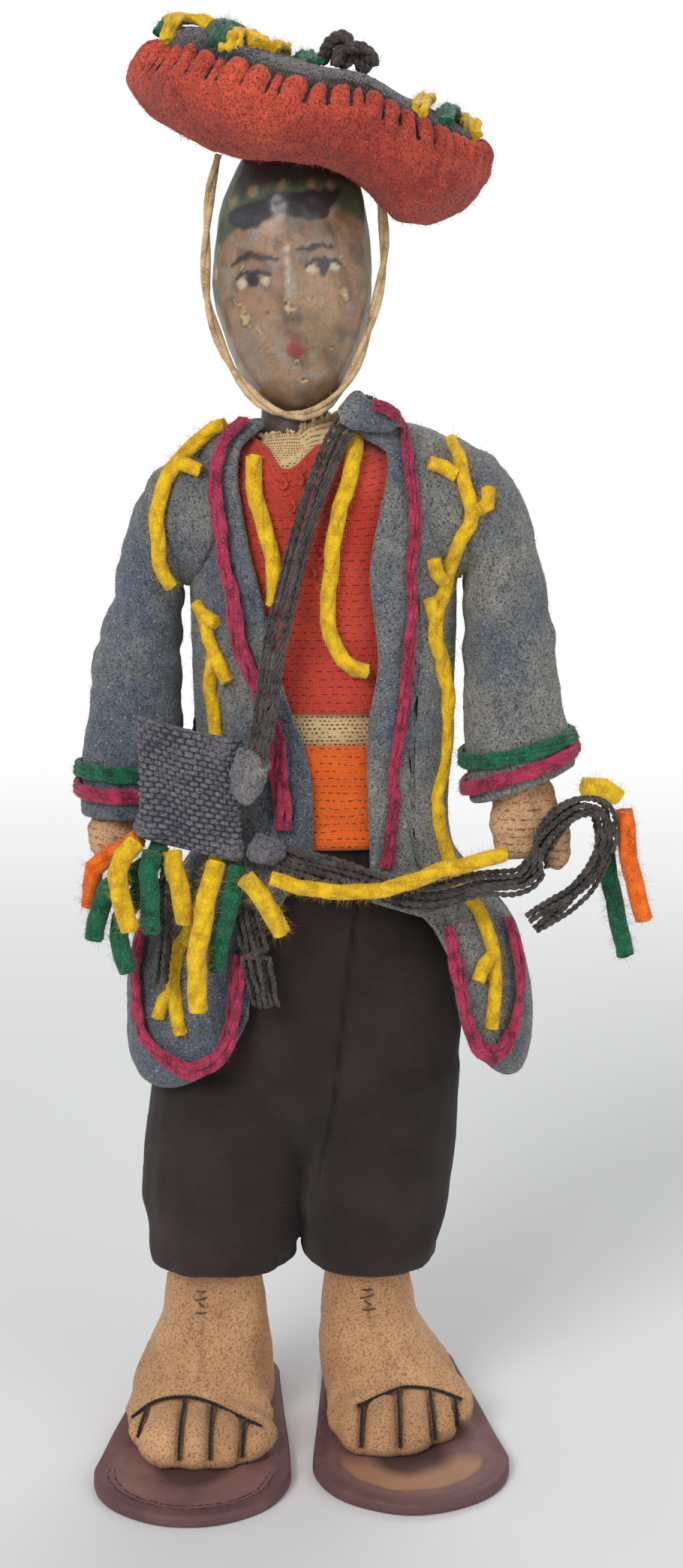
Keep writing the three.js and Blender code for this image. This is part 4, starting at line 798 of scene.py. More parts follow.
def toe_lines(obj, across, toes, middle_y):
    """The thread over the foot and the ones between the toes, on the foot's surface."""
    over = [hit(obj, (x, y, 0.0168), (0, 0, -1)) for x, y in across]
    lines = [smooth_line([p for p in over if p], 0.0008)]
    for x0, x1 in toes:
        top = min(lines[0], key=lambda p: abs(p.x - x0))
        first = math.atan2(top.z - 0.0042, middle_y - top.y)
        line = [top]
        for k in range(1, 10):
            share = k / 9
            turn = first + (math.radians(4) - first) * share
            away = Vector((0, -math.cos(turn), math.sin(turn)))
            start = Vector((x0 + (x1 - x0) * share, middle_y, 0.0042)) + away * 0.014
            place = hit(obj, start, -away)
            if place is not None:
                line.append(place)
        lines.append(smooth_line(line, 0.0008))
    return lines


def foot(side_name, tip_y, seam, across, toes, seed):
    shift = row_shift[0]
    leg = evenly_meshed(merged_copy(f"leg_{side_name}", f"stuffed_leg_{side_name}"), 0.0011, 14)
    plush_simulated(leg, 0.0005)
    toe_middle_y = tip_y + 0.0095 + row_shift[1]
    lines = toe_lines(leg, [(x / 1000 + shift, y / 1000 + row_shift[1]) for x, y in across],
                      [(a / 1000 + shift, b / 1000 + shift) for a, b in toes], toe_middle_y)
    points = places_of(leg)
    normals = normals_of(leg)
    push = 0.00022 * wobble(points, 0.009, seed) + 0.00008 * wobble(points, 0.0022, seed + 1)
    groove = near_line(points, lines[0])
    push -= 0.0011 * bell(groove, 0.0009)
    between = np.full(len(points), 1.0)
    for line in lines[1:]:
        between = np.minimum(between, near_line(points, line))
    front = ramp(points[:, 1], toe_middle_y + 0.004, -0.004)
    push += front * (0.001 * np.clip(between / 0.003, 0, 1) ** 0.6 - 0.002 * bell(between, 0.0009))
    seam_line = [hit(leg, (x / 1000 + shift, -0.08, z / 1000), (0, 1, 0)) for x, z in seam]
    seam_line = smooth_line([p for p in seam_line if p], 0.0008)
    seam_off = near_line(points, seam_line)
    push -= 0.00028 * bell(seam_off, 0.0005)
    pucker = bell(seam_off, 0.003) * ramp(points[:, 2], 0.0275, 0.004)
    push += 0.00018 * pucker * np.sin(points[:, 2] * 2 * math.pi / 0.0021)
    low = ramp(points[:, 2], 0.0036, -0.0007)
    move_to(leg, points + normals * (push * (1 - low))[:, None])
    # Painted shade, with some dirt: darker between the toes, along the thread and the seam, and by the sole.
    groove_shade_and_dirt = 0.55 * bell(between, 0.0006) * front + 0.35 * bell(groove, 0.0006)
    groove_shade_and_dirt += 0.4 * bell(seam_off, 0.00035) + 0.6 * ramp(points[:, 2], 0.0052, -0.002)
    store(leg, "worn", np.clip(groove_shade_and_dirt, 0, 0.85))
    leg.data.materials.append(skin_cloth)
    settle(leg, "body", [f"leg_{side_name}"])
    threads = yarn(f"toe_threads_{side_name}", lines, black_thread, 0.00040, hairs=0.83, hair_length=0.0006,
                   seed=seed, sides=6, pitch=0.0016, uneven=0.0001)
    settle(threads, "body", [f"foot_stitching_{side_name}"])
    puckers = []
    for k, point in enumerate(seam_line[:: max(1, len(seam_line) // 11)][:4]):
        wide = 0.0011 + 0.0004 * math.sin(k * 2.3)
        out = Vector((0, -0.0003, 0))
        rise = 0.0005 * math.sin(k * 4.1)
        puckers.append([point + out + Vector((-wide, 0.0003, rise)), point + out * 1.6,
                        point + out + Vector((wide, 0.0003, -rise))])
    stitches = yarn(f"seam_stitches_{side_name}", puckers, dark_stitch, 0.00018, hairs=0, hair_length=0.001,
                    seed=seed + 2, sides=5, pitch=0.001, uneven=0.00005)
    settle(stitches, "body", [])


foot("right", -0.023, ((-20.6, 33), (-20.6, 27), (-20.8, 20), (-21.4, 15)),
     ((-34.9, -10.6), (-30.1, -9.3), (-24.2, -9.7), (-18.9, -11.3), (-13.5, -14.6), (-8.4, -15.8)),
     ((-31.7, -34), (-24, -24.6), (-18.3, -18.4), (-11.6, -12.1)), 41)
foot("left", -0.0176, ((12.8, 33), (13.6, 27), (16.4, 20), (19.0, 15)),
     ((6.2, -11), (11, -9.6), (16.7, -7), (20.8, -5), (26.7, -4.6), (32.4, -4.9)),
     ((12.1, 11.5), (19.3, 19.4), (25.8, 26.6), (31, 31.8)), 42)

# Trousers: one piece of very dark brown twill with a seam down the front, loose in the legs and drawn in a
# little at the hems, where it creases.


def to_row(points):
    """The doll's own millimetres in the row frame's metres."""
    return np.asarray(points, float) / 1000 + (row_shift[0], row_shift[1], 0)


def of_row(points):
    return (np.asarray(points, float) - (row_shift[0], row_shift[1], 0)) * 1000


def stitch_gaps(tree, flat, place, wide, high, reach):
    """The dark gaps between rows of stitches: 1 in a gap. reach is half a gap's height as a share of a row."""
    drift = noise(tree, place, 230.0, 2.0)
    spots = put(tree, "ShaderNodeSeparateXYZ", Vector=flat)
    row = maths(tree, "DIVIDE", spots.outputs["Y"], high)
    row = maths(tree, "MULTIPLY_ADD", drift, 0.8, row)
    whole = maths(tree, "ROUND", row)
    column = maths(tree, "DIVIDE", spots.outputs["X"], wide)
    column = maths(tree, "MULTIPLY_ADD", whole, 0.5, column)
    column = maths(tree, "MULTIPLY_ADD", drift, 1.5, column)
    off_row = maths(tree, "PINGPONG", row, 0.5)
    off_column = maths(tree, "PINGPONG", column, 0.5)
    near = ranged(tree, off_row, reach, 0.4 * reach)
    part = ranged(tree, off_column, 0.14, 0.24)
    uneven = noise(tree, place, 900.0, 2.0)
    some = ranged(tree, uneven, 0.36, 0.5)
    gap = maths(tree, "MULTIPLY", near, part)
    return maths(tree, "MULTIPLY", gap, some)


def weave_material(name, base, dark, light, scale, slant=0.0, sheen=0.2, rough=0.92, depth=0.0002, deep=None,
                   stitch=None):
    """Fine woven cloth: crossing threads with a painted highlight where they cross and painted shade where
    they dip, with uneven dye. deep is the colour of the gaps, which a mesh can store, or which stitch lays
    out: a stitch's width, a row's height and the gap's reach."""
    made, tree = material_of(name)
    flat = put(tree, "ShaderNodeUVMap", uv_map="cloth").outputs["UV"]
    turned = put(tree, "ShaderNodeMapping", Vector=flat, Rotation=(0, 0, slant)).outputs["Vector"]
    place = object_place(tree)
    warp = put(tree, "ShaderNodeTexWave", Vector=turned, bands_direction="X", Scale=scale, Distortion=0.6,
               Detail=1.0, Detail_Scale=2.0)
    weft = put(tree, "ShaderNodeTexWave", Vector=turned, bands_direction="Y", Scale=scale, Distortion=0.6,
               Detail=1.0, Detail_Scale=2.0)
    both = maths(tree, "MULTIPLY", warp.outputs["Fac"], weft.outputs["Fac"])
    gap = stored(tree, "gap")
    fine = noise(tree, place, 2600.0, 2.0)
    broad = noise(tree, place, 60.0, 4.0)
    shade = ranged(tree, broad, 0.35, 0.65)
    first = colour_mix(tree, shade, dark, base)
    # Painted highlight where the threads cross, and painted shade where they dip.
    lit = ranged(tree, both, 0.25, 0.9, 0, 0.7)
    second = colour_mix(tree, lit, first, light)
    dip = ranged(tree, fine, 0.48, 0.3, 0, 0.6)
    third = colour_mix(tree, dip, second, dark)
    if stitch is not None:
        between = stitch_gaps(tree, flat, place, *stitch)
        gap = put(tree, "ShaderNodeMath", operation="MULTIPLY_ADD", _0=between, _1=0.92, _2=gap,
                  use_clamp=True).outputs["Value"]
    fourth = colour_mix(tree, gap, third, deep or dark)
    height = maths(tree, "MULTIPLY_ADD", fine, 0.5, both)
    height = maths(tree, "MULTIPLY_ADD", gap, -1.2, height)
    bump = bumped(tree, 0.6, depth, height)
    cover(tree, Base_Color=fourth, Roughness=rough, Sheen_Weight=sheen, Sheen_Roughness=0.5,
          Specular_IOR_Level=0.12, Normal=bump)
    return made


def box_uv(obj):
    """Flat coordinates in metres: height, and the way round from straight ahead."""
    points = places_of(obj)
    around = np.arctan2(points[:, 0] - points[:, 0].mean(), -points[:, 1]) * 0.022
    spread_flat(obj.data, np.c_[around, points[:, 2]])


trouser_cloth = weave_material("trouser_twill", (56, 45, 42), (34, 28, 28),
                               (78, 66, 61), 1500.0, slant=0.6, sheen=0.1, depth=0.00016,
                               deep=(22, 18, 19))
trousers = evenly_meshed(merged_copy("trousers", "dark_trousers"), 0.00092, 8)
points = places_of(trousers)
mm = of_row(points)
leg_axis_x = np.where(mm[:, 0] < 0, -16.2, 14.8)
legs_share = ramp(mm[:, 2], 66, -10)
axis_x = leg_axis_x * legs_share + 1.5 * (1 - legs_share)
away = np.c_[mm[:, 0] - axis_x, mm[:, 1] - 1.6, np.zeros(len(mm))]
away /= np.maximum(np.linalg.norm(away, axis=1, keepdims=True), 1e-6)
round_angle = np.arctan2(away[:, 0], -away[:, 1])
soft = wobble(points * (1, 1, 0.45), 0.016, 71)
slanting = np.sin(mm[:, 2] * 0.42 + 2.2 * np.sin(round_angle * 1.5 + 0.6) + 1.5 * wobble(points, 0.03, 72))
near_hem = ramp(mm[:, 2], 56, -12)
creases = np.sin(round_angle * 5 + mm[:, 2] * 0.10 + 2 * wobble(points, 0.02, 73))
push = 0.45 * soft + near_hem * 0.45 * slanting + ramp(mm[:, 2], 48, -10) * 0.3 * creases
push *= ramp(mm[:, 2], 112, -12)
seam_x = np.interp(mm[:, 2], (50, 70, 116), (1.5, 5.5, 10.6))
seam_off = np.abs(mm[:, 0] - seam_x)
on_front = (mm[:, 1] < 0) * ramp(mm[:, 2], 54, 6)
push += on_front * (0.5 * bell(mm[:, 0] - seam_x - 0.9, 0.8) - 0.6 * bell(seam_off, 0.5))
move_to(trousers, points + away * push[:, None] / 1000)
store(trousers, "gap", np.clip(0.75 * on_front * bell(seam_off, 0.45), 0, 1))
box_uv(trousers)
trousers.data.materials.append(trouser_cloth)
settle(trousers, "body", ["trousers"])

# Torso: one stuffed piece of the same stockinette as the legs, under the clothes, with the wire that the arms
# turn on through its shoulders.
torso = evenly_meshed(merged_copy("torso", "stuffed_torso"), 0.0012, 4)
store(torso, "worn", np.clip(0.3 * wobble(places_of(torso), 0.012, 75), 0, 1))
torso.data.materials.append(skin_cloth)
settle(torso, "body", ["torso"])
wire_steel, tree = material_of("wire_steel")
place = object_place(tree)
drawn = noise(tree, place, 900.0, 3.0)
rough = ranged(tree, drawn, 0, 1, 0.25, 0.5)
cover(tree, Base_Color=(196, 194, 190), Metallic=1.0, Roughness=rough)
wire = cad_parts["shoulder_wire"]
wire.data.materials.clear()
wire.data.materials.append(wire_steel)


# Shirt: a tube of coarse cream burlap over the torso. It shows as a strip over the sash and as a frayed
# collar.
def between_stations(stations, place):
    """Smooth values between the rows of a table at places, which may lie between two rows."""
    table = np.asarray(stations, float)
    place = np.asarray(place, float)
    i = np.clip(place.astype(int), 0, len(table) - 2)
    t = (place - i)[..., None]
    p1, p2 = table[i], table[i + 1]
    p0 = np.where((i > 0)[..., None], table[np.maximum(i - 1, 0)], 2 * p1 - p2)
    last = (i + 2 > len(table) - 1)[..., None]
    p3 = np.where(last, 2 * p2 - p1, table[np.minimum(i + 2, len(table) - 1)])
    a, b = (p2 - p0) / 2, (p3 - p1) / 2
    return ((2 * t**3 - 3 * t**2 + 1) * p1 + (t**3 - 2 * t**2 + t) * a + (3 * t**2 - 2 * t**3) * p2
            + (t**3 - t**2) * b)


cloth_power = 2 / 2.3


class UprightForm:
    """A soft upright form from stations of height, middle x, middle y, half width and half depth, in the
    doll's millimetres. Angle 0 is the doll's front and 90 degrees its left side."""

    def __init__(self, stations):
        self.stations = stations
        self.last = len(stations) - 1
        self.places = np.linspace(0, self.last, 2000)
        self.heights = between_stations(stations, self.places)[:, 0]

    def place_of(self, z):
        return np.interp(z, self.heights, self.places)

    def point(self, place, degrees, offset=0.0):
        place, degrees, offset = np.broadcast_arrays(np.asarray(place, float), degrees, offset)
        before = between_stations(self.stations, np.maximum(0, place - 0.05))
        after = between_stations(self.stations, np.minimum(self.last, place + 0.05))
        z, cx, cy, rx, ry = np.moveaxis(between_stations(self.stations, place), -1, 0)
        rise = after[..., 0] - before[..., 0]
        spread_x = after[..., 3] - before[..., 3]
        spread_y = after[..., 4] - before[..., 4]
        run_x, run_y = np.hypot(rise, spread_x), np.hypot(rise, spread_y)
        s, c = np.sin(np.radians(degrees)), np.cos(np.radians(degrees))
        half_x, half_y = rx + offset * rise / run_x, ry + offset * rise / run_y
        lift = -offset * (spread_x / run_x * s * s + spread_y / run_y * c * c)
        return np.stack([cx + half_x * np.sign(s) * np.abs(s) ** cloth_power,
                         cy - half_y * np.sign(c) * np.abs(c) ** cloth_power, z + lift], -1)

    def angle_of(self, place, x, offset=0.0):
        values = between_stations(self.stations, place)
        share = np.clip((x - values[..., 1]) / (values[..., 3] + offset), -1, 1)
        return np.degrees(np.arcsin(np.sign(share) * np.abs(share) ** (1 / cloth_power)))

    def front(self, x, z, offset=0.0):
        place = self.place_of(z)
        return self.point(place, self.angle_of(place, x, offset), offset)


def run_down(grid):
    """How far each point of a grid is from its first row, along the cloth."""
    return np.r_[np.zeros((1, grid.shape[1])), np.cumsum(np.linalg.norm(np.diff(grid, axis=0), axis=2),
                                                         axis=0)]


def flat_places(grid):
    """Flat coordinates in metres for a grid of points in millimetres."""
    down = run_down(grid)
    over = np.linalg.norm(np.diff(grid, axis=1), axis=2).mean(axis=0)
    over = np.r_[0, np.cumsum(over)]
    return np.stack(np.broadcast_arrays(over[None, :] / 1000, down.mean(axis=1)[:, None] / 1000), -1)


def grid_normals(grid, wrap):
    down = np.gradient(grid, axis=0)
    if wrap:
        over = np.roll(grid, -1, axis=1) - np.roll(grid, 1, axis=1)
    else:
        over = np.gradient(grid, axis=1)
    normal = np.cross(over, down)
    return normal / np.maximum(np.linalg.norm(normal, axis=2, keepdims=True), 1e-9)


def edge_share(grid, wrap, reach):
    """0 at the cloth's cut edges, 1 from reach inwards, as a quarter circle."""
    down = run_down(grid)
    near = np.minimum(down, down[-1:] - down)
    if not wrap:
        over = np.c_[np.zeros(len(grid)), np.cumsum(np.linalg.norm(np.diff(grid, axis=1), axis=2), axis=1)]
        near = np.minimum(near, np.minimum(over, over[:, -1:] - over))
    t = np.clip(near / reach, 0, 1)
    return np.sqrt(1 - (1 - t) ** 2)


def face_outwards(shape):
    bmesh.ops.recalc_face_normals(shape, faces=shape.faces)
    if shape.calc_volume(signed=True) < 0:
        bmesh.ops.reverse_faces(shape, faces=shape.faces)


def cloth_piece(name, grid, thickness, material, wrap=False, outside=None, rim=None, inside_share=1.0):
    """A closed thin piece from a grid of points on its middle, in the doll's millimetres. outside is a height
    pattern for its face, and rim the length over which its cut edges round off."""
    normals = grid_normals(grid, wrap)
    half = thickness / 2 * (0.12 + 0.88 * edge_share(grid, wrap, rim or thickness / 2))
    outer = grid + normals * (half + (0 if outside is None else outside))[..., None]
    inner = grid - normals * (half * inside_share)[..., None]
    rows, columns = grid.shape[:2]
    count = rows * columns
    points = to_row(np.concatenate([outer.reshape(-1, 3), inner.reshape(-1, 3)]))
    front = grid_faces(rows, columns, wrap)
    back = [tuple(k + count for k in reversed(face)) for face in front]
    sides = []
    border = []
    if wrap:
        for row, turn in ((0, False), (rows - 1, True)):
            line = [row * columns + j for j in range(columns)] + [row * columns]
            border.append(line if not turn else line[::-1])
    else:
        line = [j for j in range(columns)]
        line += [i * columns + columns - 1 for i in range(1, rows)]
        line += [(rows - 1) * columns + j for j in range(columns - 2, -1, -1)]
        line += [i * columns for i in range(rows - 2, -1, -1)]
        border.append(line)
    for line in border:
        for a, b in zip(line, line[1:]):
            sides.append((b, a, a + count, b + count))
    flat = flat_places(grid).reshape(-1, 2)
    made = mesh_object(name, points, front + back + sides, material, uv=np.r_[flat, flat])
    reshape_mesh(made, face_outwards)
    return made


def spread_between(low, high, step, fine=None, reach=1.5):
    """Numbers from low to high about a step apart, with finer ones near both ends."""
    fine = fine or step / 3
    ends = np.arange(0, reach, fine)
    middle = np.arange(low + reach, high - reach, step)
    return np.unique(np.round(np.r_[low + ends, middle, high - ends[::-1]], 4))


torso_bottom_z = 99.9
torso_form = UprightForm([
    (torso_bottom_z, 0.6, 0, 20, 11.6), (112, 2.8, 0, 19.6, 11.6), (126, 4.1, 0, 18.5, 11),
    (140, 4.1, 0, 18.5, 10.8), (160, 4.2, 0, 19.4, 11.2), (180, 4.2, 0, 20.3, 11.6),
    (191, 4.2, 0, 20.2, 10.8),
    (197, 3.8, 0, 19, 10), (201, 2.2, 0, 14.6, 8.8), (203, -0.2, 0, 9.8, 7.9), (206.2, -1.2, 0, 6.9, 6.9),
])


def wrapped_grid(form, bottom_z, top_z, offset, step, around, dip=None):
    """A grid round a form from one height to another, at an offset from it. dip lowers the top by angle."""
    low, high = form.place_of(bottom_z), form.place_of(top_z)
    degrees = np.linspace(-180, 180, around, endpoint=False)
    heights = spread_between(bottom_z, top_z, step)
    places = form.place_of(heights)[:, None] + np.zeros(around)[None]
    if dip is not None:
        share = ramp(heights, top_z - 14, 14)[:, None]
        places = places - dip(degrees)[None] * share
    return form.point(np.clip(places, low, high), np.broadcast_to(degrees, places.shape), offset), degrees


def flat_wobble(flat, size, seed):
    """Like wobble, over a grid of flat coordinates."""
    points = np.c_[flat.reshape(-1, 2), np.zeros(flat[..., 0].size)]
    return wobble(points, size, seed).reshape(flat.shape[:2])


def plain_weave(flat, pitch, depth, seed):
    """Height, in a grid, of an over-and-under weave with threads of that pitch."""
    uneven = flat_wobble(flat, 0.006, seed)
    a = flat[..., 0] / pitch + 0.25 * uneven
    b = flat[..., 1] / pitch + 0.2 * uneven
    over = np.cos(math.pi * np.floor(a)) * np.cos(math.pi * np.floor(b))
    warp = np.sin(math.pi * (a % 1)) ** 0.6 * (0.6 + 0.4 * over)
    weft = np.sin(math.pi * (b % 1)) ** 0.6 * (0.6 - 0.4 * over)
    return depth * (np.maximum(warp, weft) - 0.5)


burlap = weave_material("cream_burlap", (240, 212, 160), (208, 172, 118),
                        (252, 236, 200), 900.0, sheen=0.1, depth=0.0002, deep=(96, 66, 42),
                        stitch=(0.00094, 0.00078, 0.30))
collar_turns = (-180, -90, -55, -20, 3, 15, 38, 80, 130, 180)
collar_rises = (-1.8, -1.8, -1.8, -0.8, -0.5, 1.2, 2.1, 2.3, 0, -1.8)
grid, degrees = wrapped_grid(torso_form, 112, 206.2, 0.7, 1.0, 160)
collar_share = ramp(grid[..., 2], 198, 8) ** 2
grid[..., 2] += collar_share * np.interp(degrees, collar_turns, collar_rises)[None]
shirt_height = plain_weave(flat_places(grid), 0.00188, 0.16, 81) * edge_share(grid, True, 0.6)
shirt = cloth_piece("burlap_shirt", grid, 0.7, burlap, wrap=True, outside=shirt_height, inside_share=0.8)
settle(shirt, "body", ["shirt"])

# Frayed thread ends stand up from the collar and down from the strip's lower edge.
chance = np.random.default_rng(83)
frayed = []
for k in range(60):
    turn = chance.uniform(-95, 95)
    start = torso_form.point(torso_form.last, turn, 0.9 + chance.uniform(-0.3, 0.5))
    start = start + (0, 0, np.interp(turn, collar_turns, collar_rises))
    lean = chance.uniform(-0.8, 0.8)
    rise = chance.uniform(0.1, 0.7)
    out = np.array([math.sin(math.radians(turn)), -math.cos(math.radians(turn)), 0])
    side = np.array([math.cos(math.radians(turn)), math.sin(math.radians(turn)), 0])
    steps = [start - (0, 0, 1.0), start + out * 0.3, start + out * 0.7 + side * lean * 0.5 + (0, 0,
                                                                                              rise * 0.6),
             start + out * 0.6 + side * lean + (0, 0, rise)]
    frayed.append(smooth_line(to_row(steps), 0.0005))
burlap_thread = wool_material("burlap_thread", (214, 190, 146), (170, 136, 92),
                              (240, 224, 190))
collar_fray = yarn("collar_fray", frayed, burlap_thread, 0.00032, hairs=0.66, hair_length=0.001, seed=84,
                   sides=5, pitch=0.0014, uneven=0.0002, ends=(1, 0.4))
settle(collar_fray, "body", [])


# Vest: a coarse red knit with level rows, worn over the shirt. Its neckline is lower at the front, and its
# hem leaves a strip of the shirt free.
def knit_rows(flat, wide, high, depth, seed):
    """Height of a knit's level rows of stitches."""
    uneven = flat_wobble(flat, 0.008, seed)
    column = flat[..., 0] / wide + 0.3 * uneven
    row = flat[..., 1] / high + 0.16 * uneven
    rib = np.abs(np.sin(math.pi * row)) ** 0.6
    split = np.abs(np.sin(math.pi * (column + 0.5 * np.floor(row)))) ** 0.5
    return depth * (rib * (0.7 + 0.3 * split) - 0.45) + 0.12 * uneven


vest_stitch = (0.0019, 0.0015)  # its width and its row's height in metres
red_knit = weave_material("red_knit", (208, 76, 58), (176, 50, 40), (226, 104, 80),
                          700.0, sheen=0.25, depth=0.0003, deep=(96, 22, 26),
                          stitch=(*vest_stitch, 0.09))
vest_inner = 0.3 + 0.8 + 0.4
vest_top = 204.4
vest_dip = torso_form.place_of(vest_top) - torso_form.place_of(198.2)


def neckline_dip(turn):
    return vest_dip * (0.7 * bell(turn + 16, 16) + 0.3 * bell(turn, 42))


grid, degrees = wrapped_grid(torso_form, 152.8, vest_top, vest_inner + 0.55, 0.52, 230, neckline_dip)
vest_height = knit_rows(flat_places(grid), *vest_stitch, 0.3, 86) * edge_share(grid, True, 0.8)
vest = cloth_piece("knit_vest", grid, 0.9, red_knit, wrap=True, outside=vest_height, inside_share=0.8)
settle(vest, "body", ["vest"])

# A few stitches have sprung loose beside the strap and under the neckline.
loose = []
chance = np.random.default_rng(87)
for x, z in ((1.6, 186), (3.4, 183.6), (2.6, 180.4), (3.8, 178.2), (-1.4, 192.4), (0.4, 197.2),
             (-3.4, 196.4)):
    foot_place = torso_form.front(x, z, vest_inner + 1.1)
    swing = chance.uniform(-0.9, 0.9)
    loop = [foot_place, foot_place + (swing, -0.9, 0.7), foot_place + (swing + 0.7, -1.2, -0.4),
            foot_place + (swing * 0.4, -0.7, -1.3), foot_place + (-0.3, 0.1, -0.8)]
    loose.append(smooth_line(to_row(loop), 0.0004))
red_thread = wool_material("red_thread", (196, 66, 52), (140, 34, 32), (226, 112, 90))
loose_stitches = yarn("vest_loose_stitches", loose, red_thread, 0.00034, hairs=1.1, hair_length=0.0009,
                      seed=89, sides=6, pitch=0.0014, uneven=0.00015)
settle(loose_stitches, "body", [])

# Sash: orange knit wound round the waist over the trousers' top. It is drawn into soft folds, and its lower
# hem is rolled.
sash_stitch = (0.0016, 0.00145)
orange_knit = weave_material("orange_knit", (238, 108, 36), (212, 84, 24),
                             (252, 148, 76), 700.0, sheen=0.25, depth=0.00025, deep=(104, 34, 12),
                             stitch=(*sash_stitch, 0.10))
sash_inner = vest_inner + 1.2 + 0.3
grid, degrees = wrapped_grid(torso_form, 126.5, 147, sash_inner + 0.5, 0.42, 300)
flat = flat_places(grid)
folds = 0.22 * np.sin(flat[..., 1] * 2 * math.pi / 0.0068 + 1.6 * np.sin(np.radians(degrees))[None] * 2)
sash_height = knit_rows(flat, *sash_stitch, 0.28, 88)
hem = 0.75 * bell(grid[..., 2] - 128.4, 1.3) * bell(degrees - 14, 34)[None]
sash_height = (sash_height + folds) * edge_share(grid, True, 1.2) + hem
sash = cloth_piece("orange_sash", grid, 0.95, orange_knit, wrap=True, outside=sash_height, inside_share=0.8)
settle(sash, "body", ["sash"])

# Two thick yellow yarns are sewn down the vest's front edges.
vest_outer = vest_inner + 1.0
thick_yarn = 1.35


def yarn_lines(form, routes, offset, radius, step=0.0009):
    """Lines of yarn that lie on a form, from widths and heights on its front."""
    lines = []
    for points in routes:
        knots = [form.front(x, z, offset + radius) for x, z in points]
        lines.append(smooth_line(to_row(knots), step))
    return lines


vest_yarns = {
    "right": ((-9.6, 199.6), (-8.9, 195.6), (-7.9, 191.6), (-6.6, 187.5), (-5.2, 182), (-4.9, 177.6),
              (-5.2, 174)),
    "left": ((14, 204), (12.6, 202.4), (10.9, 200.4), (9.2, 196.6), (7.8, 192.6), (6.5, 187.8), (5.9, 183),
             (5.5, 178), (5, 173.4),
             (5.7, 168.6), (7.4, 164.4), (10, 162), (12.6, 161.2)),
}
for i, (side_name, points) in enumerate(vest_yarns.items()):
    lines = yarn_lines(torso_form, [points], vest_outer + 0.25, thick_yarn)
    made = roving(f"yellow_edge_yarn_{side_name}", lines, yellow_wool, 0.0016, 90 + i, ends=(1, 1),
                  hair_length=0.0015, swell=(1.15, 1.1, 1, 1))
    settle(made, "body", [f"vest_yarn_{side_name}"])

# Jacket: three panels of thick heathered felt, a back and two fronts that end in rounded tails. The fronts
# hang open, and their cut edges are rounded and a little fuzzy.
def felt_material(name, base, warm, deep, pale, scale=1.0, sheen=0.25):
    """Felt of mixed grey fibres: soft blotches, short light and dark fibres and pressed pits."""
    made, tree = material_of(name)
    place = object_place(tree)
    # Stored: uneven heather, and painted light on the jacket, sleeves, hat and the bag's raised beads.
    tone = stored(tree, "tone")
    broad = noise(tree, place, 85.0 * scale, 5.0, 0.6)
    blend = maths(tree, "ADD", broad, tone)
    share = ranged(tree, blend, 0.36, 0.66)
    first = colour_mix(tree, share, base, warm)
    fine = noise(tree, place, 1500.0 * scale, 3.0, 0.75)
    second = first
    height = fine
    for seed_angle, low, high, colour in ((0.4, 0.58, 0.66, deep), (1.5, 0.66, 0.74, pale),
                                          (2.5, 0.60, 0.68, deep), (0.9, 0.68, 0.76, pale)):
        turned = put(tree, "ShaderNodeMapping", Vector=place, Rotation=(0.7 * seed_angle, seed_angle, 0.3),
                     Scale=(2600.0 * scale, 420.0 * scale, 2600.0 * scale))
        strand = noise(tree, turned.outputs["Vector"], 1.0, 1.0)
        mask = ranged(tree, strand, low, high, 0, 0.75)
        second = colour_mix(tree, mask, second, colour)
        height = maths(tree, "MULTIPLY_ADD", mask, 0.5, height)
    hairs = noise(tree, place, 1700.0 * scale, 3.0, 0.6)
    dark_hairs = ranged(tree, hairs, 0.585, 0.66, 0, 0.75)
    second = colour_mix(tree, dark_hairs, second, deep)
    blotch = noise(tree, place, 520.0 * scale, 6.0, 0.8)
    shade = ranged(tree, blotch, 0.34, 0.66, 0.68, 1.3)
    second = put(tree, "ShaderNodeVectorMath", operation="SCALE", _0=second, Scale=shade)
    # Stored on the bag: painted shade in the gaps between its beads.
    gap = stored(tree, "gap")
    second = colour_mix(tree, gap, second.outputs["Vector"], deep)
    bump = bumped(tree, 0.7, 0.0003, height)
    cover(tree, Base_Color=second, Roughness=0.97, Sheen_Weight=sheen, Sheen_Roughness=0.6,
          Specular_IOR_Level=0.08, Normal=bump)
    return made


# Blue-grey base for felt in painted shade, warm grey for lit felt; painted light and random mottle mix them.
grey_felt = felt_material("grey_felt", (86, 94, 106), (130, 128, 120), (40, 42, 54),
                          (188, 184, 172))


def nap_tree():
    """Loose fibres that stand off a face, without the face."""
    tree = new_group("felt_nap", "GeometryNodeTree", geometry_through)
    ids = {
        "density": socket_in(tree, "Density", "Float", 400000.0),
        "length": socket_in(tree, "Length", "Float", 0.0015),
        "width": socket_in(tree, "Thickness", "Float", 0.02),
        "lean": socket_in(tree, "Least lean", "Vector", (0.5, -0.5, 0.0)),
        "seed": socket_in(tree, "Seed", "Int", 1),
        "material": socket_in(tree, "Material", "Material"),
    }
    given = tree.nodes.new("NodeGroupInput").outputs
    hairs = fibre_nodes(tree, given["Geometry"], given["Density"], given["Length"], given["Thickness"],
                        given["Seed"], given["Least lean"])
    real = put(tree, "GeometryNodeRealizeInstances", Geometry=hairs)
    done = put(tree, "GeometryNodeSetMaterial", Geometry=real.outputs["Geometry"], Material=given["Material"])
    tree.links.new(done.outputs["Geometry"], tree.nodes.new("NodeGroupOutput").inputs["Geometry"])
    return tree, ids


felt_nap, nap_inputs = nap_tree()


def nap(name, cloth, material, density, length, seed, thick=0.00005):
    """Loose fibres on a piece of felt, as a piece of its own."""
    made = bpy.data.objects.new(name, cloth.data.copy())
    bpy.context.scene.collection.objects.link(made)
    values = {"density": density * 1e6, "length": length, "width": thick / length, "lean": (0.7, -0.5, 0.0),
              "seed": seed, "material": material}
    return grown(made, "nap", felt_nap, nap_inputs, values)


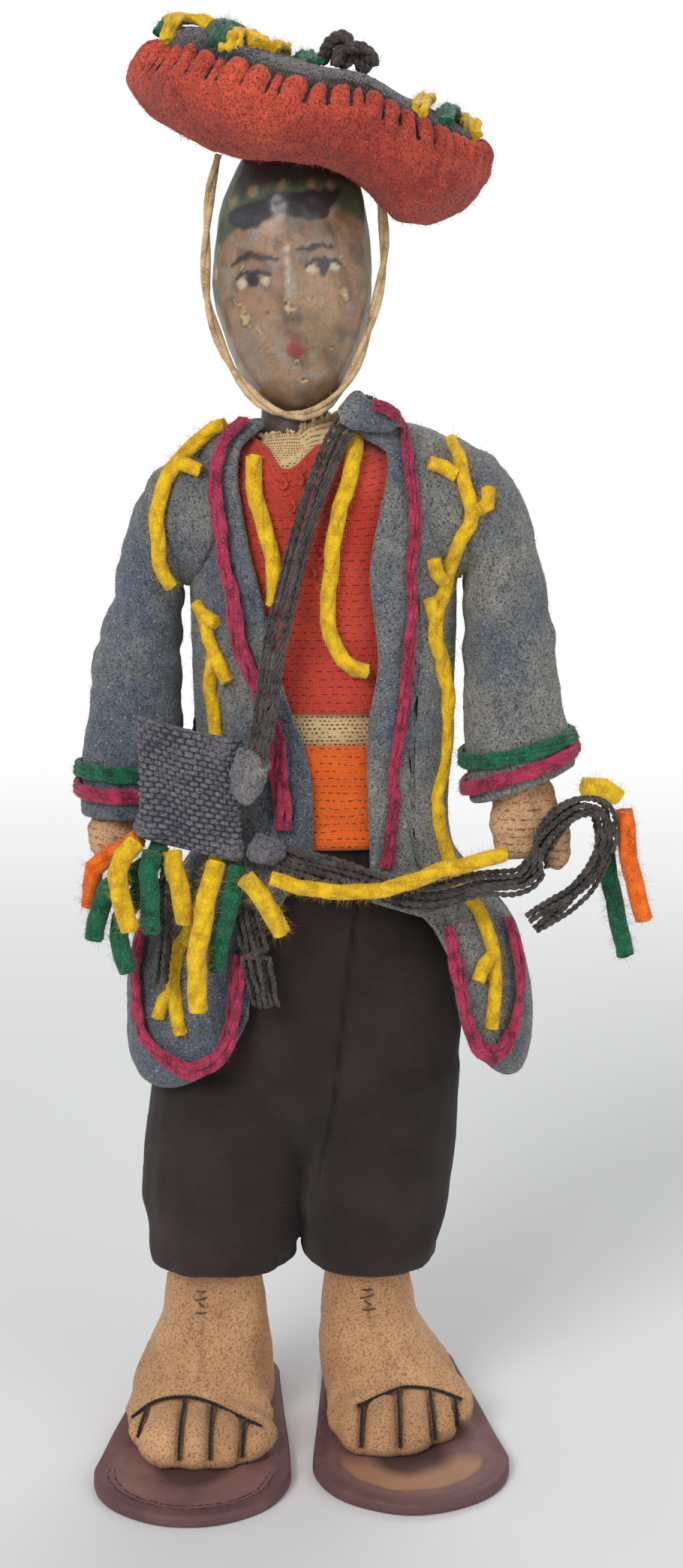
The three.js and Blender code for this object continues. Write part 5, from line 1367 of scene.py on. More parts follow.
felt_wall = 2.0
jacket_form = UprightForm([
    (74, 5.6, 0.4, 40.5, 21), (88, 5.4, 0.3, 40.8, 20.6), (100, 5, 0.2, 40, 20), (108, 4.8, 0, 38, 19.4),
    (114, 4.5, 0, 34.5, 18.8), (120, 4.3, 0, 29, 18.2), (127, 4.25, 0, 25, 17.7), (140, 4.25, 0, 24.7, 17.4),
    (160, 4.25, 0, 25.6, 17.2), (180, 4.25, 0, 26.1, 17.4), (192, 4.25, 0, 26.1, 16.4),
    (199, 4.25, 0, 26.1, 15),
    (203.4, 4.4, 0, 25.2, 13.6), (206.4, 4.2, 0, 20.4, 12.4), (208.4, 3.2, 0, 13.6, 10.9),
])
edge_right = ((118, 2.2), (130, 2.2), (139, 2.0), (146, 0.8), (152, -1.6), (160, -4.1), (169, -6.4),
              (175, -7.8),
              (183, -10), (191, -11.6), (198, -12.5), (203, -12), (206, -9.8), (208.4, -7.2))
edge_left = ((117, 13.6), (126, 13.4), (136, 13.1), (145, 12.9), (152.4, 13.3), (158, 14.4), (163, 15.1),
             (170, 14.4), (178, 13.4), (184, 13.8), (191, 15.2), (198, 16.6), (203, 16.4), (205.4, 12.4),
             (208.4, 10))


def edge_x(edge, z):
    heights = [row[0] for row in edge]
    place = np.interp(z, heights, np.arange(len(edge)))
    return between_stations(edge, place)[..., 1]


def tail_hem(share, hem, end, bottom_z):
    """Height of a front's hem: along the points of hem near the opening, then a rounded tail to the side."""
    start = hem[-1][0]
    t = np.clip(np.abs(share - (start + end) / 2) / ((end - start) / 2), 0, 1)
    tail = bottom_z + 17 - 17 * np.sqrt(1 - t * t) ** 1.2
    return np.where(share < start, np.interp(share, *zip(*hem)), tail)


hem_right = ((0, 127), (0.09, 119.2), (0.12, 115.7), (0.2, 111))
hem_left = ((0, 117.1), (0.1, 115.7), (0.24, 113.8), (0.29, 110.5), (0.33, 104))


def felt_uneven(grid, broad, broad_size, seed):
    """Heights, in millimetres, of soft hills and dents in thick felt."""
    flat = grid.reshape(-1, 3)
    uneven = broad * wobble(flat, broad_size, seed) + 0.14 * wobble(flat, 4.2, seed + 1)
    return (uneven + 0.06 * wobble(flat, 1.4, seed + 2)).reshape(grid.shape[:2])


def heather_and_painted_light(made, across, seed):
    """Stores a value for the felt's colour: uneven, and with painted light that pales it towards the doll's
    left, by across, and towards the top.
    """
    points = places_of(made)
    # Painted light: the felt is paler towards the doll's left and towards the top.
    light = (points[:, 0] - 0.004) / 0.03 * across + (points[:, 2] - 0.15) * 1.2
    store(made, "tone", 0.10 * wobble(points, 0.045, seed) + light)


def felt_panel(name, angle_at, hem_at, material, seed, columns=45, rows=105):
    across = spread_between(0, columns, 0.7, 0.22) / columns
    up = spread_between(0, rows, 0.8, 0.22) / rows
    low = jacket_form.place_of(hem_at(across))[None]
    place = low + (jacket_form.last - low) * up[:, None]
    grid = jacket_form.point(place, angle_at(across[None], place), -felt_wall / 2)
    uneven = felt_uneven(grid, 0.28, 14, seed)
    made = cloth_piece(name, grid + grid_normals(grid, False) * (uneven * 0.6)[..., None], felt_wall - 0.1,
                       material, rim=0.9)
    heather_and_painted_light(made, 0.10, seed + 5)
    return made


def front_angles(side, edge):
    def angle_at(share, place):
        start = jacket_form.angle_of(place, edge_x(edge, jacket_form.point(place, 0.0)[..., 2]))
        return start + (side * 89.6 - start) * share
    return angle_at


jacket_pieces = {
    "jacket_front_right": felt_panel("felt_front_right", front_angles(-1, edge_right),
                                     lambda share: tail_hem(share, hem_right, 1.0, 78.5), grey_felt, 101),
    "jacket_front_left": felt_panel("felt_front_left", front_angles(1, edge_left),
                                    lambda share: tail_hem(share, hem_left, 1.0, 80.5), grey_felt, 111),
    "jacket_back": felt_panel("felt_back", lambda share, place: 90.4 + 179.2 * share + 0 * place,
                              lambda share: 96 - 12 * np.maximum(0, 1 - (2 * share - 1) ** 2) ** 0.35,
                              grey_felt, 121, columns=85, rows=115),
}


def ring_solid(rings, name, material):
    """A closed mesh through rings of points, from the first to the last, in the row frame's metres."""
    rows, around = rings.shape[:2]
    points = np.concatenate([rings.reshape(-1, 3), rings[:1].mean(axis=1), rings[-1:].mean(axis=1)])
    faces = grid_faces(rows, around, wrap=True)
    low, high = rows * around, rows * around + 1
    faces += [(low, (j + 1) % around, j) for j in range(around)]
    start = (rows - 1) * around
    faces += [(high, start + j, start + (j + 1) % around) for j in range(around)]
    made = mesh_object(name, points, faces, material)
    reshape_mesh(made, face_outwards)
    return made


def oval_rings(rows, turn):
    """Level rings of points from rows of height, middle x, middle y, half width and half depth."""
    z, x, y, wide, deep = np.moveaxis(np.asarray(rows, float)[..., None], 1, 0)
    return np.stack([x + wide * np.cos(turn), y + deep * np.sin(turn), z + 0 * turn], -1)


def lump(name, rings, material, seed, uneven=0.35):
    """A rounded soft lump through level oval rings of height, middle x, middle y, half width and half depth."""
    table = np.asarray(rings, float)
    place = np.linspace(0, len(table) - 1, 60)
    rows = between_stations(table, place)
    swell = np.sin(math.pi * np.clip(place / (len(table) - 1), 0, 1)) ** 0.35 * 0.98 + 0.02
    turn = np.linspace(0, 2 * math.pi, 90, endpoint=False)
    rows[:, 3:] *= swell[:, None]
    grid = oval_rings(rows, turn)
    flat = grid.reshape(-1, 3)
    push = uneven * (wobble(flat, 5, seed) + 0.5 * wobble(flat, 2, seed + 1)).reshape(grid.shape[:2])
    grid = grid + (grid_normals(grid, True) * push[..., None]) * swell[:, None, None]
    return ring_solid(to_row(grid), name, material)


def join_into(made, other):
    """Adds another object's mesh to the first, which keeps its name."""
    reshape_mesh(made, lambda shape: shape.from_mesh(other.data))
    bpy.data.objects.remove(other)


# The left front has a small standing piece of collar, rolled over beside the neck.
collar_rings = [(206, 14.6, -13.4, 4.4, 0.9), (207.3, 13.2, -13.9, 6.6, 1.4), (209, 13, -14.1, 6.0, 1.6),
                (210.6, 12.6, -13.8, 5.0, 1.5), (211.8, 10.9, -13.4, 2.9, 1.3), (213, 10.7, -13.0, 2.0, 1.1),
                (213.8, 10.7, -12.8, 1.0, 0.7)]
collar = lump("standing_collar", collar_rings, grey_felt, 127)
store(collar, "tone", 0.1 * wobble(places_of(collar), 0.02, 128) + 0.02)
join_into(jacket_pieces["jacket_front_left"], collar)
felt_fibre = wool_material("felt_fibre", (120, 122, 120), (64, 70, 84), (190, 188, 176))
for i, (node, made) in enumerate(jacket_pieces.items()):
    settle(made, "body", [node])
    settle(nap(f"{made.name}_nap", made, felt_fibre, 0.18, 0.0013, 130 + i), "body", [])

# Yarn sewn on the jacket: a felted band of magenta wool down the lapels and round the tails, and loose yellow
# sprigs beside it that run down to the tails.
felt_pile = 0.35
jacket_middle = (-0.0009, -0.001)


def side_by_side(line, count, width, middle, seed, wander=0.0003):
    """Strands laid flat beside each other along a line that runs round the doll's body."""
    chance = np.random.default_rng(seed)
    made = []
    points = np.array([tuple(p) for p in line])
    along = np.gradient(points, axis=0)
    along /= np.linalg.norm(along, axis=1, keepdims=True)
    out = points - np.c_[np.full((len(points), 2), middle), np.minimum(points[:, 2], 0.196)]
    across = np.cross(along, out)
    across /= np.linalg.norm(across, axis=1, keepdims=True)
    out = np.cross(across, along)
    share = np.linspace(0, 1, len(points))
    for k in range(count):
        waves = chance.uniform(0, 6.28, 3)
        shift = ((k + 0.5) / count - 0.5) * width + wander * np.sin(17 * share + waves[0])
        lift = wander * 1.2 * np.sin(23 * share + waves[1]) + 0.0003 * (k % 2)
        made.append([Vector(p) for p in points + across * shift[:, None] + out * lift[:, None]])
    return made


def lying_on(pieces, points, lift):
    """Places on the front of finished pieces, from widths and heights, lifted off their felt."""
    bpy.context.view_layer.update()
    knots = []
    for x, z in points:
        start = Vector(to_row((x, -60.0, z)))
        ahead = Vector((0, 1, 0))
        found = [place for place in (hit(piece, start, ahead) for piece in pieces) if place]
        if found:
            knots.append(min(found, key=lambda place: (place - start).length) - ahead * lift)
    return knots


jacket_bands = [
    ("lapel_yarn_right", 1.4, [
        (-11.4, 207.2), (-14.2, 204.2), (-15.8, 200), (-16.3, 195.5), (-15.5, 191), (-14.9, 187),
        (-14.3, 181.3),
        (-12.9, 176), (-12.2, 170.2), (-11, 164.8), (-9, 160), (-6.9, 155), (-5.2, 150.7), (-4.1, 146.5),
        (-4.2, 141.7), (-3.6, 136.9), (-3.7, 131.5)]),
    ("lapel_yarn_left", 1.1, [
        (13.4, 211.0), (15.6, 210.5), (17.9, 209.1), (19.4, 207), (19.9, 204.6), (20.1, 202), (20.4, 198.3),
        (21, 194.3), (21.5, 190.6), (21.5, 186.5), (21, 182.8), (20.8, 179.6), (21, 173.7),
        (20.7, 167.8), (20.4, 161.9), (19.9, 156.6), (19, 151.2), (17.9, 145.2), (17.4, 140.4), (17.9, 136.2),
        (17.5, 131.3), (16.9, 126.4), (16.2, 123.6)]),
    ("tail_yarn_right", 1.4, [
        (-31.8, 109.5), (-32.6, 97), (-30.6, 88.5), (-22.9, 83.6), (-15.2, 88), (-12.8, 97), (-12.2, 107)]),
    ("tail_yarn_left", 1.4, [
        (28.4, 112), (30.4, 101.6), (33, 90.5), (37.4, 86), (41.4, 91), (42.8, 101.6), (40.6, 111)]),
]
for i, (node, radius, points) in enumerate(jacket_bands):
    line = yarn_lines(jacket_form, [points], felt_pile + 0.05, 0.75 * radius)[0]
    if node == "lapel_yarn_left":
        line = smooth_line(lying_on([jacket_pieces["jacket_front_left"]], points, 0.0006 * radius), 0.0009)
    band = side_by_side(line, 3, radius * 0.00225, jacket_middle, 136 + i, wander=0.0002)
    made = yarn(f"wool_{node}", band, magenta_wool, radius * 0.00058, pitch=0.012, hairs=1.21,
                hair_length=0.0013, seed=140 + i, sides=10, uneven=0.0005, fullness=0.68)
    settle(made, "body", [node])

# Sleeves: two felt tubes sewn into the jacket's armholes, so that the shoulder runs on without a step. They
# wrinkle near the armhole and the elbow. Inside each is a stuffed arm that ends in a small mitten hand.
class LimbForm:
    """A limb from rows of outer x and z, inner x and z, middle y and half depth, in the doll's millimetres.
    Angle 0 is the outer side and 90 degrees the front."""

    def __init__(self, rows):
        self.rows = rows
        self.last = len(rows) - 1

    def point(self, place, degrees, offset=0.0):
        place, degrees, offset = np.broadcast_arrays(np.asarray(place, float), degrees, offset)
        values = np.moveaxis(between_stations(self.rows, place), -1, 0)
        outer = np.stack([values[0], values[4], values[1]], -1)
        inner = np.stack([values[2], values[4], values[3]], -1)
        reach = (outer - inner) / 2
        radius = np.linalg.norm(reach, axis=-1, keepdims=True)
        c, s = np.cos(np.radians(degrees))[..., None], np.sin(np.radians(degrees))[..., None]
        return ((outer + inner) / 2 + reach / radius * (radius + offset[..., None]) * c
                + np.array([0, -1, 0]) * (values[5] + offset)[..., None] * s)


def jacket_side_x(y, z, side):
    """Where the jacket's side lies at a depth and a height."""
    values = between_stations(jacket_form.stations, jacket_form.place_of(z))
    share = np.clip(np.abs((y - values[..., 2]) / values[..., 4]), 0, 0.97)
    return values[..., 1] + side * values[..., 3] * (1 - share**2.3) ** (1 / 2.3)


arm_plane_right = -22.3
arm_plane_left = 30.8
right_sleeve = LimbForm([
    (arm_plane_right, 203.2, arm_plane_right, 176.2, 0, 12.6), (-29.2, 196.4, -22.6, 177.4, -0.2, 11.8),
    (-34.4, 185.5, -22.9, 176.6, -0.6, 10.8), (-37, 173.4, -23.1, 170.6, -1.2, 10),
    (-40.3, 164, -23.3, 161.6, -1.8, 9.4), (-42, 151, -23.3, 150.6, -2.8, 9.2),
    (-43, 141, -24, 141, -3.4, 9.2),
    (-43.4, 132, -24.8, 132, -4, 9.2),
])
left_sleeve = LimbForm([
    (arm_plane_left, 203.8, arm_plane_left, 177.6, 0, 12.6), (38.2, 199.8, 31.2, 178.6, -0.6, 12),
    (43.6, 190, 31.4, 177.2, -1.6, 10.8), (46.8, 176.2, 31.5, 171.4, -3, 10), (49, 164, 31.5, 161, -4.6, 9.4),
    (50.6, 152.4, 31.2, 150.8, -6.4, 9.2), (52.6, 144.4, 31.8, 141, -7.8, 9),
    (52.6, 137.6, 32.6, 132.6, -8.8, 8.8),
])


sleeve_bends = {"right": ((-19, 0, 190), (-28, 0, 190)), "left": ((27.5, 0, 190), (37, 0, 190))}


def sleeve(side_name, side, form, end_place, seed):
    """A felt tube that ends at the form's place given by end_place for each angle."""
    degrees = np.linspace(0, 360, 104, endpoint=False)
    places = spread_between(0, form.last * 10.5, 0.7, 0.25) / 10.5
    spots = np.where(places[:, None] > 5, 5 + (places[:, None] - 5) * (end_place(degrees)[None] - 5) / 2,
                     places[:, None])
    grid = form.point(spots, degrees[None], -felt_wall / 2)
    first = grid[0]
    end = first.copy()
    end[:, 0] = jacket_side_x(first[:, 1], np.minimum(first[:, 2], 204.5), side) - side * 1.0
    end[:, 2] += ramp(first[:, 2], 196, 8) * 1.4
    end[:, 1] *= 1.02
    steps = np.linspace(0, 1, 9)[:-1, None, None]
    lead = end[None] * (1 - steps) + first[None] * steps
    grid = np.concatenate([lead, grid])
    reach = np.r_[np.zeros(8), places * 10.5]
    uneven = felt_uneven(grid, 0.30, 13, seed)
    turn = np.radians(degrees)[None]
    armhole = bell(reach - 9, 7)[:, None] * np.clip(np.sin(turn) + 0.4, 0, 1.2)
    pull = np.sin(reach[:, None] * 0.95 + 1.8 * np.sin(turn * 2 + seed) + 2.2 * np.cos(turn))
    elbow = bell(reach - 38, 11)[:, None]
    bend = np.sin(reach[:, None] * 0.7 + 1.4 * np.cos(turn * 2 + 0.6 * seed))
    uneven = uneven + 0.55 * armhole * pull + 0.38 * elbow * bend
    grid = grid + grid_normals(grid, True) * uneven[..., None]
    made = cloth_piece(f"felt_sleeve_{side_name}", grid, felt_wall - 0.1, grey_felt, wrap=True, rim=0.9)
    heather_and_painted_light(made, 0.08, seed + 5)
    bend_between(made, f"{side_name}_arm", *sleeve_bends[side_name], [f"sleeve_{side_name}"], "blue_felt")
    fuzz = nap(f"felt_sleeve_{side_name}_nap", made, felt_fibre, 0.17, 0.0013, seed + 9)
    bend_between(fuzz, f"{side_name}_arm", *sleeve_bends[side_name], [], "blue_felt")
    return made


sleeve("right", -1, right_sleeve, lambda turn: 7 + 0 * turn, 151)
left_sleeve_felt = sleeve("left", 1, left_sleeve, lambda turn: 6.52 - 0.22 * np.cos(np.radians(turn)), 161)

# Branched sprigs of loose yellow wool on the two fronts. The left one runs up onto the sleeve's edge.
jacket_sprigs = {
    "sprig_right": [
        [(-20, 173.4), (-18.6, 171.4), (-17.7, 167.3), (-16.4, 164.3), (-17.3, 161.2), (-17.4, 157.2),
         (-16.8, 153),
         (-16.2, 147), (-16, 138), (-16, 130), (-17.6, 121), (-21, 112.6), (-24.6, 105), (-24.7, 97.5),
         (-23.5, 90.5)],
        [(-18.4, 171.4), (-15.9, 170.4)], [(-16.4, 164.3), (-14.9, 161.4), (-14, 159.3)],
        [(-24.6, 99), (-27.2, 96.6), (-28, 93.4)]],
    "sprig_left": [
        [(28.4, 204.3), (30, 201.2), (30.8, 196.2), (31.9, 193), (32.3, 190.2), (30.3, 186.4), (28.4, 180.6),
         (27, 175.4), (25.6, 171.3), (25.8, 166.6), (27.2, 161.2), (28, 156.5), (28.1, 151.1), (28, 145.7),
         (27.4, 140.9),
         (26.2, 136), (26.7, 131), (27.5, 127), (29.4, 121.8), (31, 118.8), (34.6, 113.5), (37, 107),
         (37.6, 98),
         (36.8, 91.4)],
        [(24.2, 200.4), (26.6, 199.6), (29.4, 198)], [(35.3, 195.6), (35.5, 193.6), (34.4, 192),
                                                      (32.4, 191.2)],
                                                      [(25.2, 182.4), (25.6, 179.6), (27.1, 178)],
        [(24.5, 174.8), (24.5, 172.6), (25.4, 170.8)], [(37.2, 106), (35, 103.4), (34.2, 101)]],
}
sprig_swell = {
    "sprig_right": (0.6, 0.9, 0.75, 0.75, 0.8, 0.95, 1.1, 1.0),
    "sprig_left": (0.75, 0.8, 1.1, 0.9, 0.9, 1.1, 1.35, 1.15, 0.7, 0.65, 0.7, 1.0, 1.1, 0.9, 0.9, 0.85),
}
felt_below = {
    "sprig_right": [jacket_pieces["jacket_front_right"]],
    "sprig_left": [jacket_pieces["jacket_front_left"], left_sleeve_felt],
}
for i, (node, routes) in enumerate(jacket_sprigs.items()):
    lines = [smooth_line(lying_on(felt_below[node], points, 0.0011), 0.0009) for points in routes]
    made = roving(f"wool_{node}", lines, yellow_wool, 0.0015, 145 + i, ends=(0.8, 0.8),
                  swell=sprig_swell[node])
    settle(made, "body", [node])


# Arms: one stuffed mitten of coarser stockinette in each sleeve, with rows of small dark gaps between the
# stitches. They turn on the wire through the shoulders.
def arm(side_name, seed):
    made = evenly_meshed(merged_copy(f"arm_{side_name}", f"stuffed_arm_{side_name}"), 0.00062, 8)
    plush_simulated(made, 0.0003)
    points = places_of(made)
    hand = ramp(points[:, 2], 0.146, -0.006)
    wrist = bell(points[:, 2] - 0.1345, 0.0014)
    push = (0.00034 * wobble(points, 0.006, seed) + 0.00012 * wobble(points, 0.0022, seed + 1)) * hand
    move_to(made, points + normals_of(made) * (push - 0.0003 * wrist)[:, None])
    # Painted shade round the wrist at the cuff, and a little random wear.
    store(made, "worn", np.clip(0.15 * wrist + 0.12 * wobble(points, 0.005, seed + 2), 0, 0.5))
    made.data.materials.append(hand_cloth)
    settle(made, f"{side_name}_arm", [f"arm_{side_name}"])


arm("right", 171)
arm("left", 172)

# Two felted bands of wool round each cuff, green over magenta. On the left sleeve they slope.
cuff_bands = {
    ("green", "right"): (6.0, 0.0), ("magenta", "right"): (6.42, 0.0),
    ("green", "left"): (5.62, 0.12), ("magenta", "left"): (6.07, 0.28),
}
for i, (side_name, form) in enumerate((("right", right_sleeve), ("left", left_sleeve))):
    for j, (colour, wool) in enumerate((("green", green_wool), ("magenta", magenta_wool))):
        place, slope = cuff_bands[colour, side_name]
        turns = np.arange(0, 372, 6)
        rings = []
        for k in (-1, 0, 1):
            places = place - slope * np.cos(np.radians(turns)) + 0.10 * k
            ring = form.point(places, turns, 0.95 + 0.10 * np.sin(turns * 0.07 + j + 2 * k))
            ring[:, 2] += 0.3 * np.sin(np.radians(turns) * 2 + i + 2 * j)
            rings.append(smooth_line(to_row(ring), 0.001))
        made = yarn(f"cuff_wool_{colour}_{side_name}", rings, wool, 0.00072, hairs=1.1, hair_length=0.0012,
                    seed=180 + 2 * i + j, sides=8, pitch=0.012, uneven=0.0004, fullness=0.66)
        settle(made, f"{side_name}_arm", [f"cuff_{colour}_{side_name}"])

# The sprig on the right sleeve starts and ends on the jacket's front.
sleeve_places = ((0.2, 41), (0.55, 53), (0.96, 70), (1.34, 91), (1.89, 109), (2.14, 124))
sprig_knots = [right_sleeve.point(place, turn, felt_pile + 0.1 + 1.3) for place, turn in sleeve_places]
side_branch = ((0, 0, 0), (3.2, -1.2, -0.6), (4.6, -1.0, -1.2))
sprig_top = [jacket_form.front(x, z, felt_pile + 0.1 + 0.9) for x, z in ((-15, 206.2), (-17.8, 205.2))]
sprig_lines = [smooth_line(to_row([*sprig_top, *sprig_knots]), 0.001),
               smooth_line(to_row([sprig_knots[0] + shift for shift in side_branch]), 0.001)]
made = roving("wool_sleeve_sprig", sprig_lines, yellow_wool, 0.0015, 190, ends=(0.8, 0.8), hairs=1.21,
              hair_length=0.0024)
bend_between(made, "right_arm", *sleeve_bends["right"], ["sleeve_sprig_right"], "yellow_wool")

# Head: a smooth carved egg on a neck, painted and varnished, with a low ridge for the nose. The face slopes up
# towards its left. The paint has gone mottled, and it has chipped off in spots.
head_stations = [
    (209.2, -0.5, -3.4, 2.0, 2.3), (210.6, -0.7, -2.8, 5.3, 5.8), (213.2, -0.9, -2.2, 8.1, 8.6),
    (217.0, -1.1, -1.4, 10.5, 10.8), (223.5, -1.3, -0.6, 13.2, 13.2), (230.5, -1.6, 0, 14.9, 14.8),
    (237.5, -1.6, 0.4, 15.0, 15.4), (244.5, -1.5, 0.6, 14.2, 15.2), (250.5, -1.2, 0.6, 12.7, 14.0),
    (256.5, -0.9, 0.6, 10.2, 11.6), (260.4, -0.8, 0.6, 6.8, 8.2), (262.4, -0.8, 0.6, 2.4, 3.0),
]
neck_x = -1.2


def painted_material(name):
    made, tree = material_of(name)
    place = object_place(tree)
    paint = put(tree, "ShaderNodeAttribute", attribute_name="paint").outputs["Color"]
    broad = noise(tree, place, 160.0, 6.0, 0.65)
    fine = noise(tree, place, 1500.0, 3.0)
    cracks = put(tree, "ShaderNodeTexVoronoi", feature="DISTANCE_TO_EDGE", Vector=place, Scale=520.0)
    mottle = ranged(tree, broad, 0.36, 0.66, 0.8, 1.18)
    grain = ranged(tree, fine, 0.3, 0.7, 0.86, 1.12)
    both = maths(tree, "MULTIPLY", mottle, grain)
    shaded = put(tree, "ShaderNodeVectorMath", operation="SCALE", _0=paint, Scale=both)
    crack = ranged(tree, cracks.outputs["Distance"], 0.045, 0.01, 0, 0.35)
    where = ranged(tree, broad, 0.5, 0.6)
    crack = maths(tree, "MULTIPLY", crack, where)
    cracked = colour_mix(tree, crack, shaded.outputs["Vector"], (52, 38, 32))
    height = maths(tree, "MULTIPLY_ADD", crack, -1.0, broad)
    bump = bumped(tree, 0.35, 0.0005, height)
    rough = ranged(tree, fine, 0, 1, 0.3, 0.55)
    cover(tree, Base_Color=cracked, Roughness=rough, Coat_Weight=0.45, Coat_Roughness=0.22,
          Specular_IOR_Level=0.45, Normal=bump)
    return made


spots_up = between_stations(head_stations, np.linspace(0, len(head_stations) - 1, 180))
turns = np.linspace(0, 2 * math.pi, 290, endpoint=False)
head_paint = painted_material("varnished_paint")
head = ring_solid(to_row(oval_rings(spots_up, turns)), "carved_head", head_paint)


def line_distance(x, z, line):
    best = np.full(len(x), 99.0)
    share = np.zeros(len(x))
    for i, ((x0, z0), (x1, z1)) in enumerate(zip(line, line[1:])):
        run = np.array([x1 - x0, z1 - z0])
        t = np.clip(((x - x0) * run[0] + (z - z0) * run[1]) / (run @ run), 0, 1)
        d = np.hypot(x - x0 - t * run[0], z - z0 - t * run[1])
        share = np.where(d < best, (i + t) / (len(line) - 1), share)
        best = np.minimum(best, d)
    return best, share


def brush(x, z, line, width, soft=0.35):
    """A brush stroke that is thickest in its middle."""
    off, share = line_distance(x, z, line)
    wide = width / 2 * (0.45 + 0.55 * np.sin(math.pi * np.clip(share, 0.02, 0.98)))
    return np.clip((wide - off) / soft + 0.5, 0, 1)


def spot(x, z, middle, half_x, half_z, soft=0.3):
    off = np.hypot((x - middle[0]) / half_x, (z - middle[1]) / half_z) - 1
    return np.clip(0.5 - off * min(half_x, half_z) / soft, 0, 1)


def within(x, z, outline, soft=0.5):
    """1 inside a closed outline, 0 outside, with a soft edge."""
    inside = np.zeros(len(x), bool)
    for (x0, z0), (x1, z1) in zip(outline, [*outline[1:], outline[0]]):
        if z0 != z1:
            crosses = ((z0 > z) != (z1 > z)) & (x < (x1 - x0) * (z - z0) / (z1 - z0) + x0)
            inside ^= crosses
    off, _ = line_distance(x, z, [*outline, outline[0]])
    return np.clip(np.where(inside, off, -off) / soft + 0.5, 0, 1)


mm = of_row(places_of(head))
ridge, along = line_distance(mm[:, 0], mm[:, 2], [(-1.9, 238.5), (-1.6, 232.5), (-1.4, 228.0)])
front_half = np.clip(-mm[:, 1] / 4, 0, 1)
lift = front_half * bell(ridge, 1.5) * (0.35 + 0.75 * along)
for eye in ((-8.6, 234.2), (4.7, 236.8)):
    lift -= front_half * 0.22 * bell(np.hypot(mm[:, 0] - eye[0], mm[:, 2] - eye[1]), 3.2)
lift += front_half * 0.3 * bell(np.hypot(mm[:, 0] + 0.9, mm[:, 2] - 221.4), 2.2)
lift += 0.12 * wobble(mm, 9, 201) + 0.05 * wobble(mm, 3, 202)
chips = (((-16.2, 235.3), 0.5, 1.8), ((-10.5, 236.0), 0.42, 0.42), ((-10.1, 226.8), 0.8, 1.25),
         ((8.2, 231.8), 0.65, 0.95), ((8.6, 230.1), 0.28, 0.3), ((-0.6, 219.0), 0.5, 0.55),
         ((6.2, 240.0), 0.35, 0.3), ((-11.2, 229.5), 0.3, 0.35), ((-2.1, 229.2), 0.55, 1.0),
         ((0.9, 215.5), 0.9, 0.35), ((-12.4, 230.4), 0.25, 0.25), ((7.9, 237.6), 0.3, 0.5),
         ((-7.4, 224.6), 0.3, 0.25), ((6.0, 221.4), 0.35, 0.3), ((-6.0, 227.9), 0.3, 0.25))
for middle, half_x, half_z in chips:
    lift -= 0.28 * front_half * spot(mm[:, 0], mm[:, 2], middle, half_x, half_z)
move_to(head, places_of(head) + normals_of(head) * lift[:, None] / 1000)

x = mm[:, 0] + 0.25 * wobble(mm, 2.2, 203)
z = mm[:, 2] + 0.25 * wobble(mm, 2.2, 204)
colour = np.zeros((len(mm), 3))
colour[:] = colour_of((140, 110, 84))[:3]


def lay_on(share, shade):
    colour[:] += (np.array(colour_of(shade)[:3]) - colour) * np.clip(share, 0, 1)[:, None]


lay_on(np.clip(0.5 + 0.9 * wobble(mm, 7, 205), 0, 0.8), (150, 118, 90))
lay_on(np.clip(wobble(mm, 5, 206), 0, 0.7), (104, 82, 68))
lay_on(np.clip(wobble(mm, 4, 207) - 0.2, 0, 0.6), (140, 132, 122))
lay_on(0.6 * spot(x, z, (4.5, 231), 4, 6, 4), (168, 130, 92))
lay_on(0.55 * spot(x, z, (-8.0, 229), 4, 3.5, 3), (164, 118, 88))
lay_on(0.5 * spot(x, z, (3.5, 224), 3.5, 5, 3), (112, 92, 60))
lay_on(0.45 * spot(x, z, (-9.5, 220), 3, 6, 3), (140, 126, 116))
# A painted highlight on the forehead.
lay_on(0.5 * spot(x, z, (-5.5, 243.2), 2.4, 1.2, 1.2), (186, 164, 140))
lay_on(0.5 * spot(x, z, (1.5, 243.0), 5, 1.8, 1.6), (92, 74, 62))
# Painted shade under the chin: the head is darker below it.
lay_on(np.clip((216.5 - z) / 2.5, 0, 0.6), (98, 76, 52))
# The cap's green edge runs down both sides of the face and round the back.
side = ramp(np.abs(mm[:, 0] + 1.5), 13.1, 1.2) * ramp(z, 221, 6)
lay_on(0.8 * np.where(mm[:, 0] < 0, side, 0.65 * side), (112, 124, 96))
lay_on(ramp(mm[:, 1], 1.0, 2), (66, 74, 60))
cap_edge = 247.6 - 0.03 * (x + 1) ** 2 + 0.12 * x
lay_on(ramp(z, cap_edge, 1.2), (74, 88, 66))
lay_on(ramp(z - cap_edge - 2.6, 0.22 * np.abs(x + 1), 2.0), (44, 44, 40))
lay_on(0.5 * ramp(np.abs(x + 1.3), 9.5, 2) * ramp(z, 244, 3), (112, 128, 92))
hair = [(-13.5, 245.8), (-13.1, 246.9), (-10.3, 247.6), (-7.5, 248.3), (-4.7, 249.4), (-0.8, 249.6),
        (3.4, 250.2),
        (7.1, 250.5), (7.4, 249.4), (6.2, 247.3), (5.6, 245.7), (4.0, 244.8), (1.6, 244.6), (-0.8, 244.9),
        (-2.6, 245.6), (-4.4, 245.6), (-5.6, 244.9), (-7.5, 243.5), (-10.0, 243.0), (-12.2, 243.5),
        (-13.4, 244.8)]
on_face = mm[:, 1] < 0
lay_on(0.95 * within(x, z, hair) * on_face, (40, 38, 44))
lay_on(0.35 * spot(x, z, (-10.6, 245.2), 2.4, 1.2, 1.4) * on_face, (84, 86, 98))
for middle, size in (((-12.4, 248.4), 0.85), ((-8.6, 250.0), 1.15), ((-3.4, 250.7), 0.95),
                     ((2.2, 250.9), 0.8), ((5.7, 250.9), 0.8)):
    lay_on(0.62 * spot(x, z, middle, size, size, 0.8) * on_face, (166, 138, 106))
dark_brush = (50, 38, 36)
